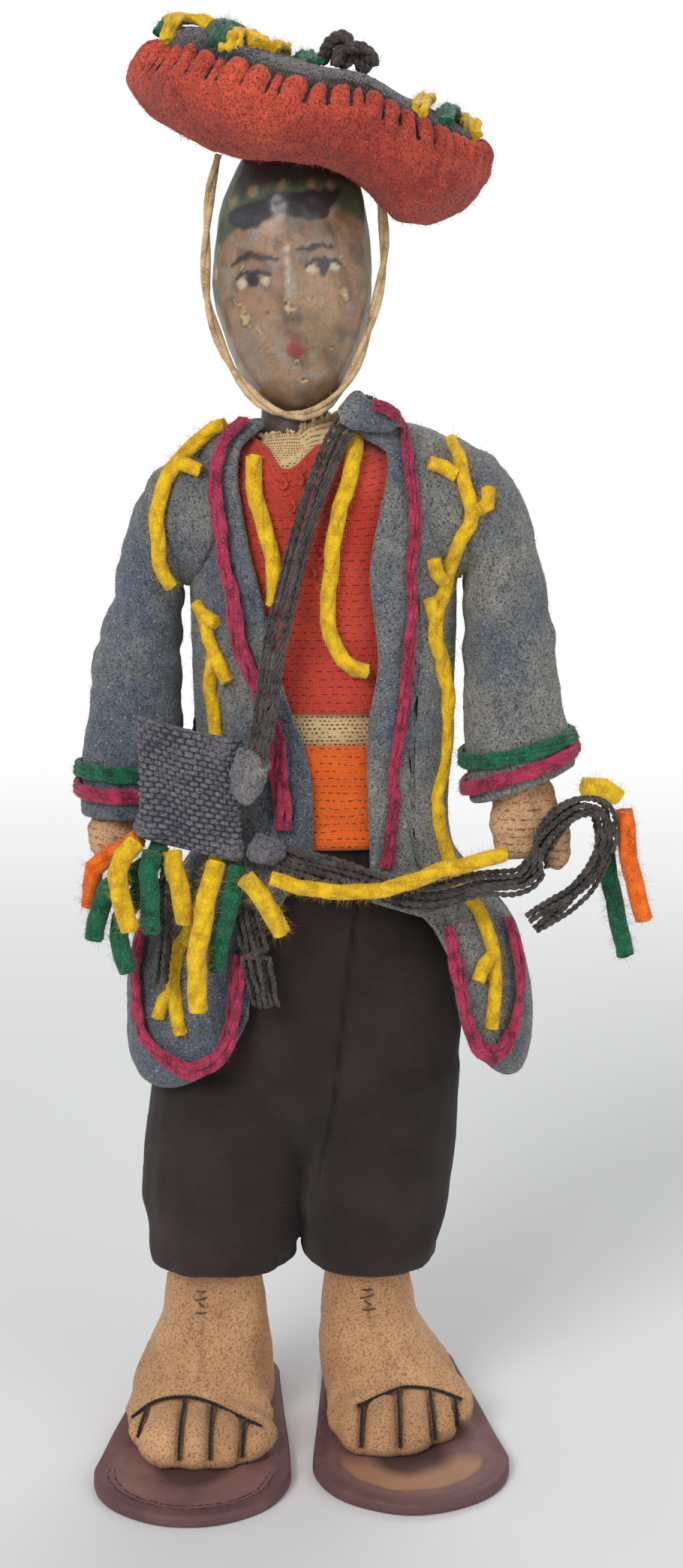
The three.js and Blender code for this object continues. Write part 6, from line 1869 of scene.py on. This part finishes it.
lay_on(0.9 * brush(x, z, [(-12.6, 236.3), (-10.9, 237.6), (-9.1, 238.3), (-7.2, 238.1), (-5.7, 237.7),
                          (-4.2, 237.8)], 1.35) * on_face, dark_brush)
lay_on(0.95 * brush(x, z, [(-0.4, 239.4), (1.9, 239.6), (4.0, 240.1), (6.2, 240.0)], 1.15) * on_face,
       dark_brush)
for middle in ((-10.8, 233.2), (-6.4, 233.9), (2.2, 235.9), (6.3, 236.5)):
    lay_on(0.72 * spot(x, z, middle, 0.95, 0.8, 0.5) * on_face, (206, 192, 164))
lay_on(0.95 * brush(x, z, [(-12.0, 234.0), (-10.3, 235.1), (-7.8, 235.4), (-5.2, 234.8)], 0.95) * on_face,
       (44, 40, 44))
lay_on(0.95 * brush(x, z, [(0.8, 236.2), (2.8, 237.4), (4.6, 237.7), (6.5, 237.4), (8.5, 236.6)],
                    0.95) * on_face, (44, 40, 44))
lay_on(0.97 * spot(x, z, (-8.8, 234.0), 1.15, 1.45) * on_face, (40, 38, 42))
lay_on(0.97 * spot(x, z, (4.6, 236.3), 1.25, 1.75) * on_face, (40, 38, 42))
# A painted highlight down the nose's ridge, and under its tip a painted shadow.
lay_on(0.6 * brush(x, z, [(-2.0, 237.4), (-1.7, 232.6), (-1.9, 229.0)], 1.7, 1.0) * on_face, (186, 172, 150))
lay_on(0.6 * spot(x, z, (-0.7, 227.3), 2.0, 1.7, 1.6) * on_face, (88, 80, 74))
lay_on(0.55 * spot(x, z, (-0.9, 223.8), 1.7, 0.7, 0.7) * on_face, (132, 62, 54))
lay_on(0.95 * spot(x, z, (-0.9, 221.2), 1.75, 1.55, 0.6) * on_face, (132, 46, 42))
lay_on(0.5 * spot(x, z, (-0.4, 218.9), 0.8, 0.6, 0.5) * on_face, (70, 46, 40))
chip_drift = 0.4 * wobble(mm, 1.1, 205)
for middle, half_x, half_z in chips:
    lay_on(0.7 * spot(mm[:, 0], mm[:, 2], middle, half_x + 0.22, half_z + 0.22) * on_face, (84, 60, 44))
    bare = spot(mm[:, 0] + chip_drift, mm[:, 2] - chip_drift, middle, half_x, half_z)
    lay_on(0.85 * bare * on_face, (204, 176, 126))


def paint_on(obj, shades):
    """Stores a colour at each of a mesh's points, for the paint's material to read."""
    layer = obj.data.attributes.new("paint", "FLOAT_COLOR", "POINT")
    layer.data.foreach_set("color", np.c_[shades, np.ones(len(shades))].astype(np.float32).ravel())


paint_on(head, colour)

neck_radii = ((192.2, 4.4), (192.6, 4.7), (203.3, 4.7), (203.45, 6.3), (203.9, 6.6), (207, 6.6), (214, 6.2))
neck_rows = [(z, neck_x, 0, radius, radius) for z, radius in neck_radii]
neck = ring_solid(to_row(oval_rings(neck_rows, np.linspace(0, 2 * math.pi, 120, endpoint=False))), "neck",
                  head_paint)
paint_on(neck, np.tile(colour_of((96, 80, 66))[:3], (len(neck.data.vertices), 1)))
join_into(head, neck)
settle(head, "head", ["head"])

# Chin cord: two smooth tan strands laid beside each other, from one side of the hat round under the chin to the
# other.
tan_cord = wool_material("tan_cord", (208, 176, 134), (158, 122, 86), (238, 216, 178))
chin_line = smooth_line(route(
    (-15.4, -2, 257.2), (-17, -2.6, 250), (-17.8, -3.4, 240), (-17.6, -4.2, 230.5), (-14.8, -5.5, 221.5),
    (-10.6, -7.4, 214.6), (-6.2, -8.9, 210.6), (-0.5, -9.6, 209), (5, -8.9, 211), (9.4, -7, 216.4),
    (12.4, -5, 223.5), (14.5, -3.8, 231), (15.8, -2.8, 239.6), (15.2, -2, 249)))
chin_cord = yarn("two_ply_chin_cord", [chin_line], tan_cord, 0.00105, hairs=0.66, hair_length=0.0009,
                 seed=210, pitch=0.026, uneven=0.00012, sides=12, fullness=0.54,
                 swell=(0.9, 0.9, 1, 1.3, 1, 0.95, 0.95))
settle(chin_cord, "head", ["chin_cord"])

# Hat: a thick bowl of red felt worn aslant. Its edge is turned up over a dark woven top and drawn in by black
# blanket stitches. Strips of loose yellow and green wool lie over the top, and a dark strip is knotted on it.
hat_radius = 35.5
hat_pose = (Matrix.Translation((1.4, -1.0, 264.6)) @ Matrix.Rotation(math.radians(18), 4, "Y")
            @ Matrix.Rotation(math.radians(7), 4, "X"))
hat_turn = np.array(hat_pose.to_3x3())
hat_middle = np.array(hat_pose.translation)


def hat_sag(x, height, front):
    """How far the soft hat sinks or rises at a place: its rim, its underside and its domed top."""
    rim = np.interp(x, (-36, -30, -23, -14, -4, 6, 22, 32), (-5.4, -4.6, -2.4, -0.9, -0.2, 0.4, 0.2, -0.9))
    rim = rim + 2.2 * bell(x - 12, 7) * front
    under = np.interp(x, (-30, -16, -9, 3, 9, 13, 18, 24, 30, 34),
                      (-0.4, -0.8, 0.2, 3.4, 2.6, 0.8, -3.2, -3.6, -3, -2))
    share = np.clip((height + 9) / 12, 0, 1)
    dome = 2.4 * bell(x + 19, 13) * ramp(height, 5.4, 2.2)
    return rim * share + under * (1 - share) + dome


def in_hat(points):
    """Points in the hat's own millimetres, its middle axis upright, in the row frame's metres."""
    points = np.asarray(points, float)
    placed = points @ hat_turn.T + hat_middle
    placed[..., 2] += hat_sag(placed[..., 0], points[..., 2], np.clip(-points[..., 1] / 20, 0, 1))
    return to_row(placed)


def turned_rings(profile, around, step, shaped):
    """Rings round the hat's axis along a profile of radius and height, shaped by a function."""
    profile = np.asarray(profile, float)
    place = np.linspace(0, len(profile) - 1, 600)
    line = between_stations(profile, place)
    run = np.r_[0, np.cumsum(np.linalg.norm(np.diff(line, axis=0), axis=1))]
    spots = np.arange(0, run[-1], step)
    radius, height = np.interp(spots, run, line[:, 0]), np.interp(spots, run, line[:, 1])
    angle = np.linspace(0, 2 * math.pi, around, endpoint=False)
    radius, height, angle = np.broadcast_arrays(np.maximum(radius, 0.05)[:, None], height[:, None],
                                                angle[None])
    radius, height = shaped(radius, height, angle)
    return np.stack([radius * np.cos(angle), radius * np.sin(angle), height], -1)


stitch_count = 56
chance = np.random.default_rng(221)
stitch_turns = (np.arange(stitch_count) + chance.uniform(-0.3, 0.3,
                                                         stitch_count)) * 2 * math.pi / stitch_count


def gathered(radius, height, angle):
    """Draws the rim in at each stitch, and lets the felt stand out between stitches."""
    off = np.abs((angle[..., None] - stitch_turns + math.pi) % (2 * math.pi) - math.pi).min(-1) * hat_radius
    near_rim = ramp(height, 0.4, 4.2) * (radius > 29)
    dip = bell(off, 0.6) * near_rim
    between = (1 - bell(off, 1.5)) * near_rim
    puff = 1 + 0.5 * np.sin(angle * 13 + 1.0) * np.sin(angle * 5)
    return radius - 0.6 * dip + 0.3 * between, height - 1.3 * dip * (height > 3) + 0.6 * puff * between


bowl_profile = [(0, -10.4), (9, -10.4), (17.0, -10.3), (26.3, -8.7), (32.0, -5.3), (35.0, -0.9), (35.5, 2.3),
                (34.5, 4.9), (32.8, 5.9), (31.3, 5.0), (30.9, 3.8), (26, 3.8), (14, 3.8), (0, 3.8)]
red_felt = felt_material("red_felt", (158, 58, 46), (204, 84, 62), (112, 34, 32),
                         (222, 122, 98), sheen=0.12)
rings = turned_rings(bowl_profile, 380, 0.7, gathered)
hat_bowl = ring_solid(in_hat(rings), "felt_hat_bowl", red_felt)
mm = of_row(places_of(hat_bowl))
push = 0.28 * wobble(mm, 11, 222) + 0.16 * wobble(mm, 3.6, 223) + 0.07 * wobble(mm, 1.3, 224)
move_to(hat_bowl, places_of(hat_bowl) + normals_of(hat_bowl) * push[:, None] / 1000)
# Painted light: the felt is paler towards the top of the hat, with an uneven heather.
store(hat_bowl, "tone", 0.12 * wobble(mm, 30, 225) + (mm[:, 2] - 262) * 0.012)
settle(hat_bowl, "head", ["hat_underside"])
red_fibre = wool_material("red_fibre", (224, 92, 72), (176, 54, 46), (246, 150, 124))
settle(nap("felt_hat_nap", hat_bowl, red_fibre, 0.36, 0.0014, 226), "head", [])

dark_weave = weave_material("dark_weave", (78, 68, 68), (48, 42, 44), (108, 96, 92),
                            500.0, sheen=0.3, depth=0.0003)
top_profile = [(0, 8.3), (12.4, 8.1), (25.4, 7.5), (30.2, 6.5), (31.0, 5.2), (31.0, 4.2), (26, 4.2),
               (13, 4.2),
               (0, 4.2)]


def woven_up(radius, height, angle):
    flat = np.stack([radius * np.cos(angle), radius * np.sin(angle)], -1) / 1000
    return radius, height + np.where(height > 5.5, plain_weave(flat, 0.0017, 0.75, 231), 0)


rings = turned_rings(top_profile, 320, 0.56, woven_up)
hat_top = ring_solid(in_hat(rings), "woven_hat_top", dark_weave)
local = (of_row(places_of(hat_top)) - hat_middle) @ hat_turn
spread_flat(hat_top.data, local[:, :2] / 1000)
settle(hat_top, "head", ["hat_top"])

# Blanket stitches of black thread come up over the felt's edge.
stitch_lines = []
for k, turn in enumerate(stitch_turns):
    drop = chance.uniform(-1.2, 1.2)
    lean = chance.uniform(-0.012, 0.012)
    knots = [(30.6, 5.4, -lean), (32.2, 5.35, 0), (33.9, 4.2, 0), (34.95, 2.4, lean),
             (35.05, 2.2 - drop, 2 * lean)]
    local = [((r - 0.1) * math.cos(turn + shift), (r - 0.1) * math.sin(turn + shift), h) for r, h,
             shift in knots]
    stitch_lines.append(smooth_line(in_hat(local), 0.0007))
hat_stitches = yarn("hat_blanket_stitches", stitch_lines, black_thread, 0.00034, hairs=0.55,
                    hair_length=0.0008, seed=232, sides=5, pitch=0.003, uneven=0.00015)
settle(hat_stitches, "head", [])


# Wool strips: each is a flat bundle of soft loose yarns that runs over the top and down under the felt's edge.
def wool_strip(name, node, colour, paths, wide, seed, thick=0.5, count=6):
    lines = []
    for k, path in enumerate(paths):
        path_mm = [(x, y, height + 0.7) for x, y, height in path]
        line = smooth_line(in_hat(path_mm), 0.001)
        lines += strands(line, count, thick / 1000, wide / 1000, seed + k, wander=0.0003)
    made = yarn(name, lines, wool_of[colour], 0.00085, hairs=0.44, hair_length=0.0016, seed=seed, sides=8,
                pitch=0.014, uneven=0.0003, fullness=0.68)
    return settle(made, "head", [node])


hat_strips = [
    ("yellow", [[(-27.6, -14.4, 5.6), (-28.2, -10, 7.8), (-27, -5, 8.4), (-23.5, -5.4, 8.4),
                 (-20.6, -7.6, 8.2)]],
     2.0),
    ("green", [[(-18.6, 22, 7.6), (-19.2, 8, 8.4), (-18.6, -6, 8.6), (-18, -18, 8.2), (-17.4, -24.6, 6.2)],
               [(-29.6, 9, 6.4), (-29.8, 2, 7.8), (-30.2, -4, 6.4)]], 3.2),
    ("yellow", [[(-9, 29, 7.0), (-9.2, 14, 8.4), (-9.2, 0, 8.6), (-9.4, -12, 8.0)],
                [(-15.4, 20, 7.6), (-15.2, 6, 8.2), (-14.4, -6, 8.0)],
                [(-15.4, -25.8, 5.8), (-15.2, -20.6, 8.6), (-12.6, -18.6, 8.9), (-10.6, -21, 8.2)]], 2.8),
    ("yellow", [[(19.8, 22, 7.4), (20, 8, 8.4), (20, -8, 8.2), (19.8, -17, 7.6), (19.6, -23.6, 6.0)],
                [(27, 6, 7.8), (28.8, -1, 8.0), (30.4, -5.4, 6.2)]], 2.8),
    ("green", [[(24.6, 16, 7.6), (24.6, 4, 8.4), (24.6, -8, 8.2), (24.4, -18, 6.2)],
               [(-5.4, 28, 7.6), (-4.6, 16, 8.4), (-2.6, 4, 8.4), (-1.4, -6, 8.0)]], 3.2),
]
for i, (colour, paths, wide) in enumerate(hat_strips):
    wool_strip(f"hat_wool_{i + 1}", f"hat_yarn_{i + 1}", colour, paths, wide, 240 + 3 * i)

# The knot: a dark woven strip looped through itself, with short ends.
dark_wool = wool_material("dark_wool", (84, 70, 70), (48, 40, 42), (122, 106, 100))
knot_middle = np.array([3.2, -4.0, 8.6])
knot_shapes = [
    [(-3.6, 0.4, 0.6), (-3.4, -0.4, 2.6), (-2.6, -0.6, 4.6), (-0.6, -0.4, 5.6), (1.2, 0.2, 4.2),
     (1.4, 0.4, 2.2),
     (0.2, 0.4, 1.0)],
    [(-0.4, -0.9, 2.4), (0.8, -1.2, 4.0), (2.8, -0.8, 4.8), (5.0, -0.2, 4.4), (6.4, 0.4, 3.2)],
    [(-1.4, 1.0, 1.4), (0.2, 1.2, 3.4), (2.0, 0.9, 3.6), (3.8, 0.6, 2.2), (5.4, 0.6, 1.4)],
    [(-0.2, -1.6, 0.8), (-0.3, -1.3, 2.6), (0.1, 0.0, 3.8), (0.5, 1.4, 2.6), (0.4, 1.6, 0.8)],
]
knot_lines = []
for k, shape_mm in enumerate(knot_shapes):
    line = smooth_line(in_hat(np.array(shape_mm) + knot_middle), 0.0008)
    knot_lines += strands(line, 4, 0.0018, 0.0018, 260 + k, wander=0.0002)
hat_knot = yarn("hat_wool_knot", knot_lines, dark_wool, 0.00075, hairs=0.66, hair_length=0.0014, seed=264,
                sides=6, pitch=0.003, uneven=0.0003)
settle(hat_knot, "head", ["hat_knot"])

# Strap: eight dark grey-brown strands side by side, from the bag up over the left shoulder beside the neck and
# down the back.
strap_knots = [(-6.4, -23.4, 155.3), (-4.9, -21, 166), (-2.2, -18.8, 177), (0.7, -17.2, 188),
               (3.7, -15.8, 197.5),
               (6.4, -14, 204), (9.2, -11, 208.6), (12, -7.4, 210.7), (13.8, -2.6, 211.2), (14.4, 3, 211.2),
               (14.4, 8, 210.6)]
for i in range(1, 10):
    t = i / 9
    z = 207.4 - 62 * t**1.4
    strap_knots.append(tuple(jacket_form.point(jacket_form.place_of(z), 148 + 102 * t, 0.3 + 0.5 + 1.1)))
strap_line = smooth_line(route(*strap_knots), 0.0015)
strap = yarn("strap_strands", side_by_side(strap_line, 8, 0.0046, jacket_middle, 301, wander=0.0002),
             brown_strand, 0.00043, hairs=0.28, hair_length=0.0014, seed=302, sides=5, pitch=0.0042,
             uneven=0.00012)
settle(strap, "body", ["bag_strap"])

# Bag: a small flat pouch of thick hand-woven wool with drawn-out top corners. It hangs from the strap's knot,
# lower towards the doll's left.
bag_middle = (-20.9, -22.6)
bag_low, bag_high, bag_wide, bag_half_depth = 128.6, 152.0, 19.0, 2.4
bag_slope = -0.25  # the bag hangs askew, lower towards the doll's left
bag_rows = [(0.0, 0.97, 0.55), (0.08, 1.0, 0.95), (0.4, 0.96, 1.15), (0.75, 0.97, 0.95), (0.93, 1.02, 0.65),
            (1.0, 1.05, 0.4)]


def bag_point(share, turn):
    row = between_stations(bag_rows, np.interp(share, [r[0] for r in bag_rows], np.arange(len(bag_rows))))
    c, s = np.cos(turn), np.sin(turn)
    x = bag_middle[0] + bag_wide / 2 * row[..., 1] * np.sign(c) * np.abs(c) ** 0.6
    y = bag_middle[1] + bag_half_depth * row[..., 2] * np.sign(s) * np.abs(s) ** 0.7
    corner = np.clip(np.abs(x - bag_middle[0]) / 9.5 - 0.55, 0, 1) * ramp(share, 0.8, 0.2)
    lean = bag_slope * (x - bag_middle[0])
    return np.stack([x, y,
                     bag_low + (bag_high - bag_low) * share + lean + 1.6 * corner - 0.9 * (share > 0.97)],
                    -1)


bag_shares = np.linspace(0, 1, 130)
bag_turns = np.linspace(0, 2 * math.pi, 721)[:-1]
outline = bag_point(np.full(720, 0.5), bag_turns)
run = np.r_[0, np.cumsum(np.linalg.norm(np.diff(np.vstack([outline, outline[:1]]), axis=0), axis=1))]
bag_turns = np.interp(np.linspace(0, run[-1], 230, endpoint=False), run, np.r_[bag_turns, 2 * math.pi])
grid = bag_point(bag_shares[:, None] + 0 * bag_turns[None], bag_turns[None] + 0 * bag_shares[:, None])
flat = flat_places(grid)


def chunky_weave(flat, pitch_x, pitch_y, depth, seed):
    uneven = flat_wobble(flat, 0.012, seed)
    b = flat[..., 1] / pitch_y + 0.35 * uneven
    row = np.floor(b)
    a = flat[..., 0] / pitch_x + 0.5 * (row % 2) + 0.25 * uneven
    bead = np.abs(np.sin(math.pi * a)) ** 0.55 * np.abs(np.sin(math.pi * b)) ** 0.6
    each = np.sin(12.9 * np.floor(a) + 78.2 * row) * 437.5
    each = each - np.floor(each)
    return depth * (bead * (0.7 + 0.6 * each) - 0.45), bead - 0.45 + 0.55 * (each - 0.5) * bead


bag_height, bead_light_and_gap_shade = chunky_weave(flat, 0.0018, 0.00108, 0.72, 311)
ease_ends = np.clip(np.minimum(bag_shares, 1 - bag_shares) * 23.4 / 0.8, 0, 1)[:, None]
# Knots of the edge wool stand out at the four corners, and are painted lighter, as painted highlight.
for x, z in ((-28.3, 151.4), (-14.6, 147.8), (-29.4, 132.4), (-13.0, 128.4)):
    near = np.exp(-(((grid[..., 0] - x) / 2.2) ** 2 + ((grid[..., 2] - z) / 2.0) ** 2))
    bag_height = bag_height + 1.1 * near
    bead_light_and_gap_shade = bead_light_and_gap_shade + 0.35 * near
grid = grid + grid_normals(grid, True) * (bag_height * ease_ends)[..., None]
blue_weave = felt_material("blue_bag_wool", (76, 76, 88), (112, 108, 114), (26, 26, 36),
                           (160, 156, 160))
bag = ring_solid(to_row(grid), "woven_bag", blue_weave)
# Painted light and shade: lighter on the beads and knots, darker in the gaps between beads.
store(bag, "tone", 0.08 * wobble(places_of(bag), 0.01, 312) + np.r_[(0.8 * bead_light_and_gap_shade - 0.04).ravel(), 0.0, 0.0])
store(bag, "gap", np.r_[np.clip((-0.02 - bead_light_and_gap_shade) / 0.22, 0, 0.9).ravel(), 0.0, 0.0])
settle(bag, "bag", ["bag"])
bag_fibre = wool_material("bag_fibre", (84, 86, 100), (44, 46, 60), (140, 138, 146))
settle(nap("bag_nap", bag, bag_fibre, 0.7, 0.0012, 313), "bag", [])

# Knot: a smooth lump of lighter grey felted wool at the bag's corner, where the bag hangs on its strap. The
# strap's strands run on over it.
knot_rings = [(149, -8.6, -24.9, 2.4, 1.2), (147.2, -8.9, -24.9, 3.5, 1.8), (144.8, -9.2, -24.9, 3.7, 2.3),
              (142, -9.8, -24.9, 3.3, 2.3), (139.4, -10.2, -24.9, 2.4, 1.8), (137.4, -10.4, -24.9, 1.2, 1.0)]
grey_lump = felt_material("grey_lump_wool", (104, 102, 106), (132, 126, 124),
                          (58, 56, 64), (156, 150, 148))
bag_knot = lump("bag_wool_knot", knot_rings, grey_lump, 320, uneven=0.6)
store(bag_knot, "tone", 0.12 * wobble(places_of(bag_knot), 0.006, 321))
settle(bag_knot, "bag", ["bag_knot"])
knot_line = smooth_line(route((-6.0, -24.3, 157.4), (-6.4, -24.8, 154.8), (-6.8, -25.3, 152),
                              (-7.4, -25.9, 149.8), (-8.0, -26.2, 147.8), (-8.5, -25.4, 146)), 0.0009)
knot_strands = yarn("knot_strands", side_by_side(knot_line, 8, 0.0046, jacket_middle, 322, wander=0.0002),
                    brown_strand, 0.00043, hairs=0.28, hair_length=0.0013, seed=323, sides=6, pitch=0.0034,
                    uneven=0.00012)
settle(knot_strands, "bag", [])

# Where the sling's strands come out from beside the bag, a lump of the bag's wool is felted onto them.
sling_lump_rings = [(131.8, -7.6, -22.8, 1.6, 1.0), (130.4, -7.2, -23.4, 3.2, 2.0),
                    (128.4, -6.8, -23.6, 3.6, 2.5),
                    (126.6, -6.2, -23.4, 2.6, 2.0), (125.4, -5.6, -23, 1.2, 1.0)]
sling_lump = lump("sling_wool_lump", sling_lump_rings, blue_weave, 326, uneven=0.7)
settle(sling_lump, "body", [])

# Under the bag hang wool ends like the sling's. Two bundles of brown strands, of the strap's kind, hang among
# them.
bag_ends = [
    ("orange", [[(-30.4, -20.6, 130.4), (-31.6, -20.4, 128.8), (-35.6, -19.6, 127.4), (-38.7, -19.4, 125.2),
                 (-39.8, -19.4, 121.5), (-40.3, -19.4, 116.8)]]),
    ("green", [[(-26.6, -21, 129.2), (-27.8, -21, 126), (-33, -22.6, 123.4), (-36.8, -23.6, 120.8),
                (-38.3, -23.6, 116), (-39.2, -23.4, 111.4)],
               [(-27.2, -21, 127.4), (-31, -21.4, 119.8), (-34.6, -21.8, 113.8), (-34.4, -21.8, 109.9),
                (-33, -21.6, 104.6)]]),
    ("yellow", [[(-31, -24.6, 130.2), (-32.2, -25.6, 129), (-34, -27.1, 126.4), (-34.1, -27.4, 122.3),
                 (-33.2, -27.4, 118.7), (-32, -27, 114)]]),
    ("green", [[(-27.8, -25, 128.6), (-28.6, -25.2, 124.7), (-28.4, -25.2, 119.5), (-28, -24.8, 113)]]),
    ("yellow", [[(-24.2, -23, 128.2), (-23.8, -24, 124.9), (-22.8, -23.8, 121), (-21.9, -22.6, 114.6)]]),
    ("yellow", [[(-16, -23.2, 126.2), (-17.2, -25, 121.3), (-18.6, -26, 114.8), (-19.6, -26, 108.3),
                 (-19.5, -25.6, 97.8)]]),
    ("green", [[(-11.9, -22.4, 125.2), (-13.1, -24, 119), (-15.4, -22.4, 111.4), (-16, -22, 104.8)]]),
    ("yellow", [[(-10.4, -26.6, 124), (-7.7, -26, 120.8), (-5.4, -25.4, 117), (-3.7, -25, 112.8)]]),
]
for i, (colour, routes) in enumerate(bag_ends):
    lines = [smooth_line(route(*points), 0.001) for points in routes]
    tassel = roving(f"bag_wool_{i + 1}", lines, wool_of[colour], 0.0020, 330 + i)
    settle(tassel, "bag", [f"bag_tassel_{i + 1}"])
fringe_line = smooth_line(route((-10.6, -20.6, 116.6), (-9.2, -21, 110), (-8, -21.8, 105),
                                (-6.6, -21.8, 97.8)), 0.001)
back_line = smooth_line(route((-24.6, -21.6, 127.4), (-25.4, -20.8, 120), (-25.8, -20.8, 112),
                              (-26.6, -20.8, 102)), 0.001)
fringe_lines = strands(fringe_line, 11, 0.0032, 0.0050, 341, wander=0.0002)
fringe_lines += strands(back_line, 7, 0.0018, 0.0040, 343, wander=0.0002)
fringe = yarn("bag_brown_strands", fringe_lines, brown_strand, 0.0005, hairs=0.28, hair_length=0.0014,
              seed=342, sides=6, pitch=0.0026)
settle(fringe, "bag", ["bag_fringe"])
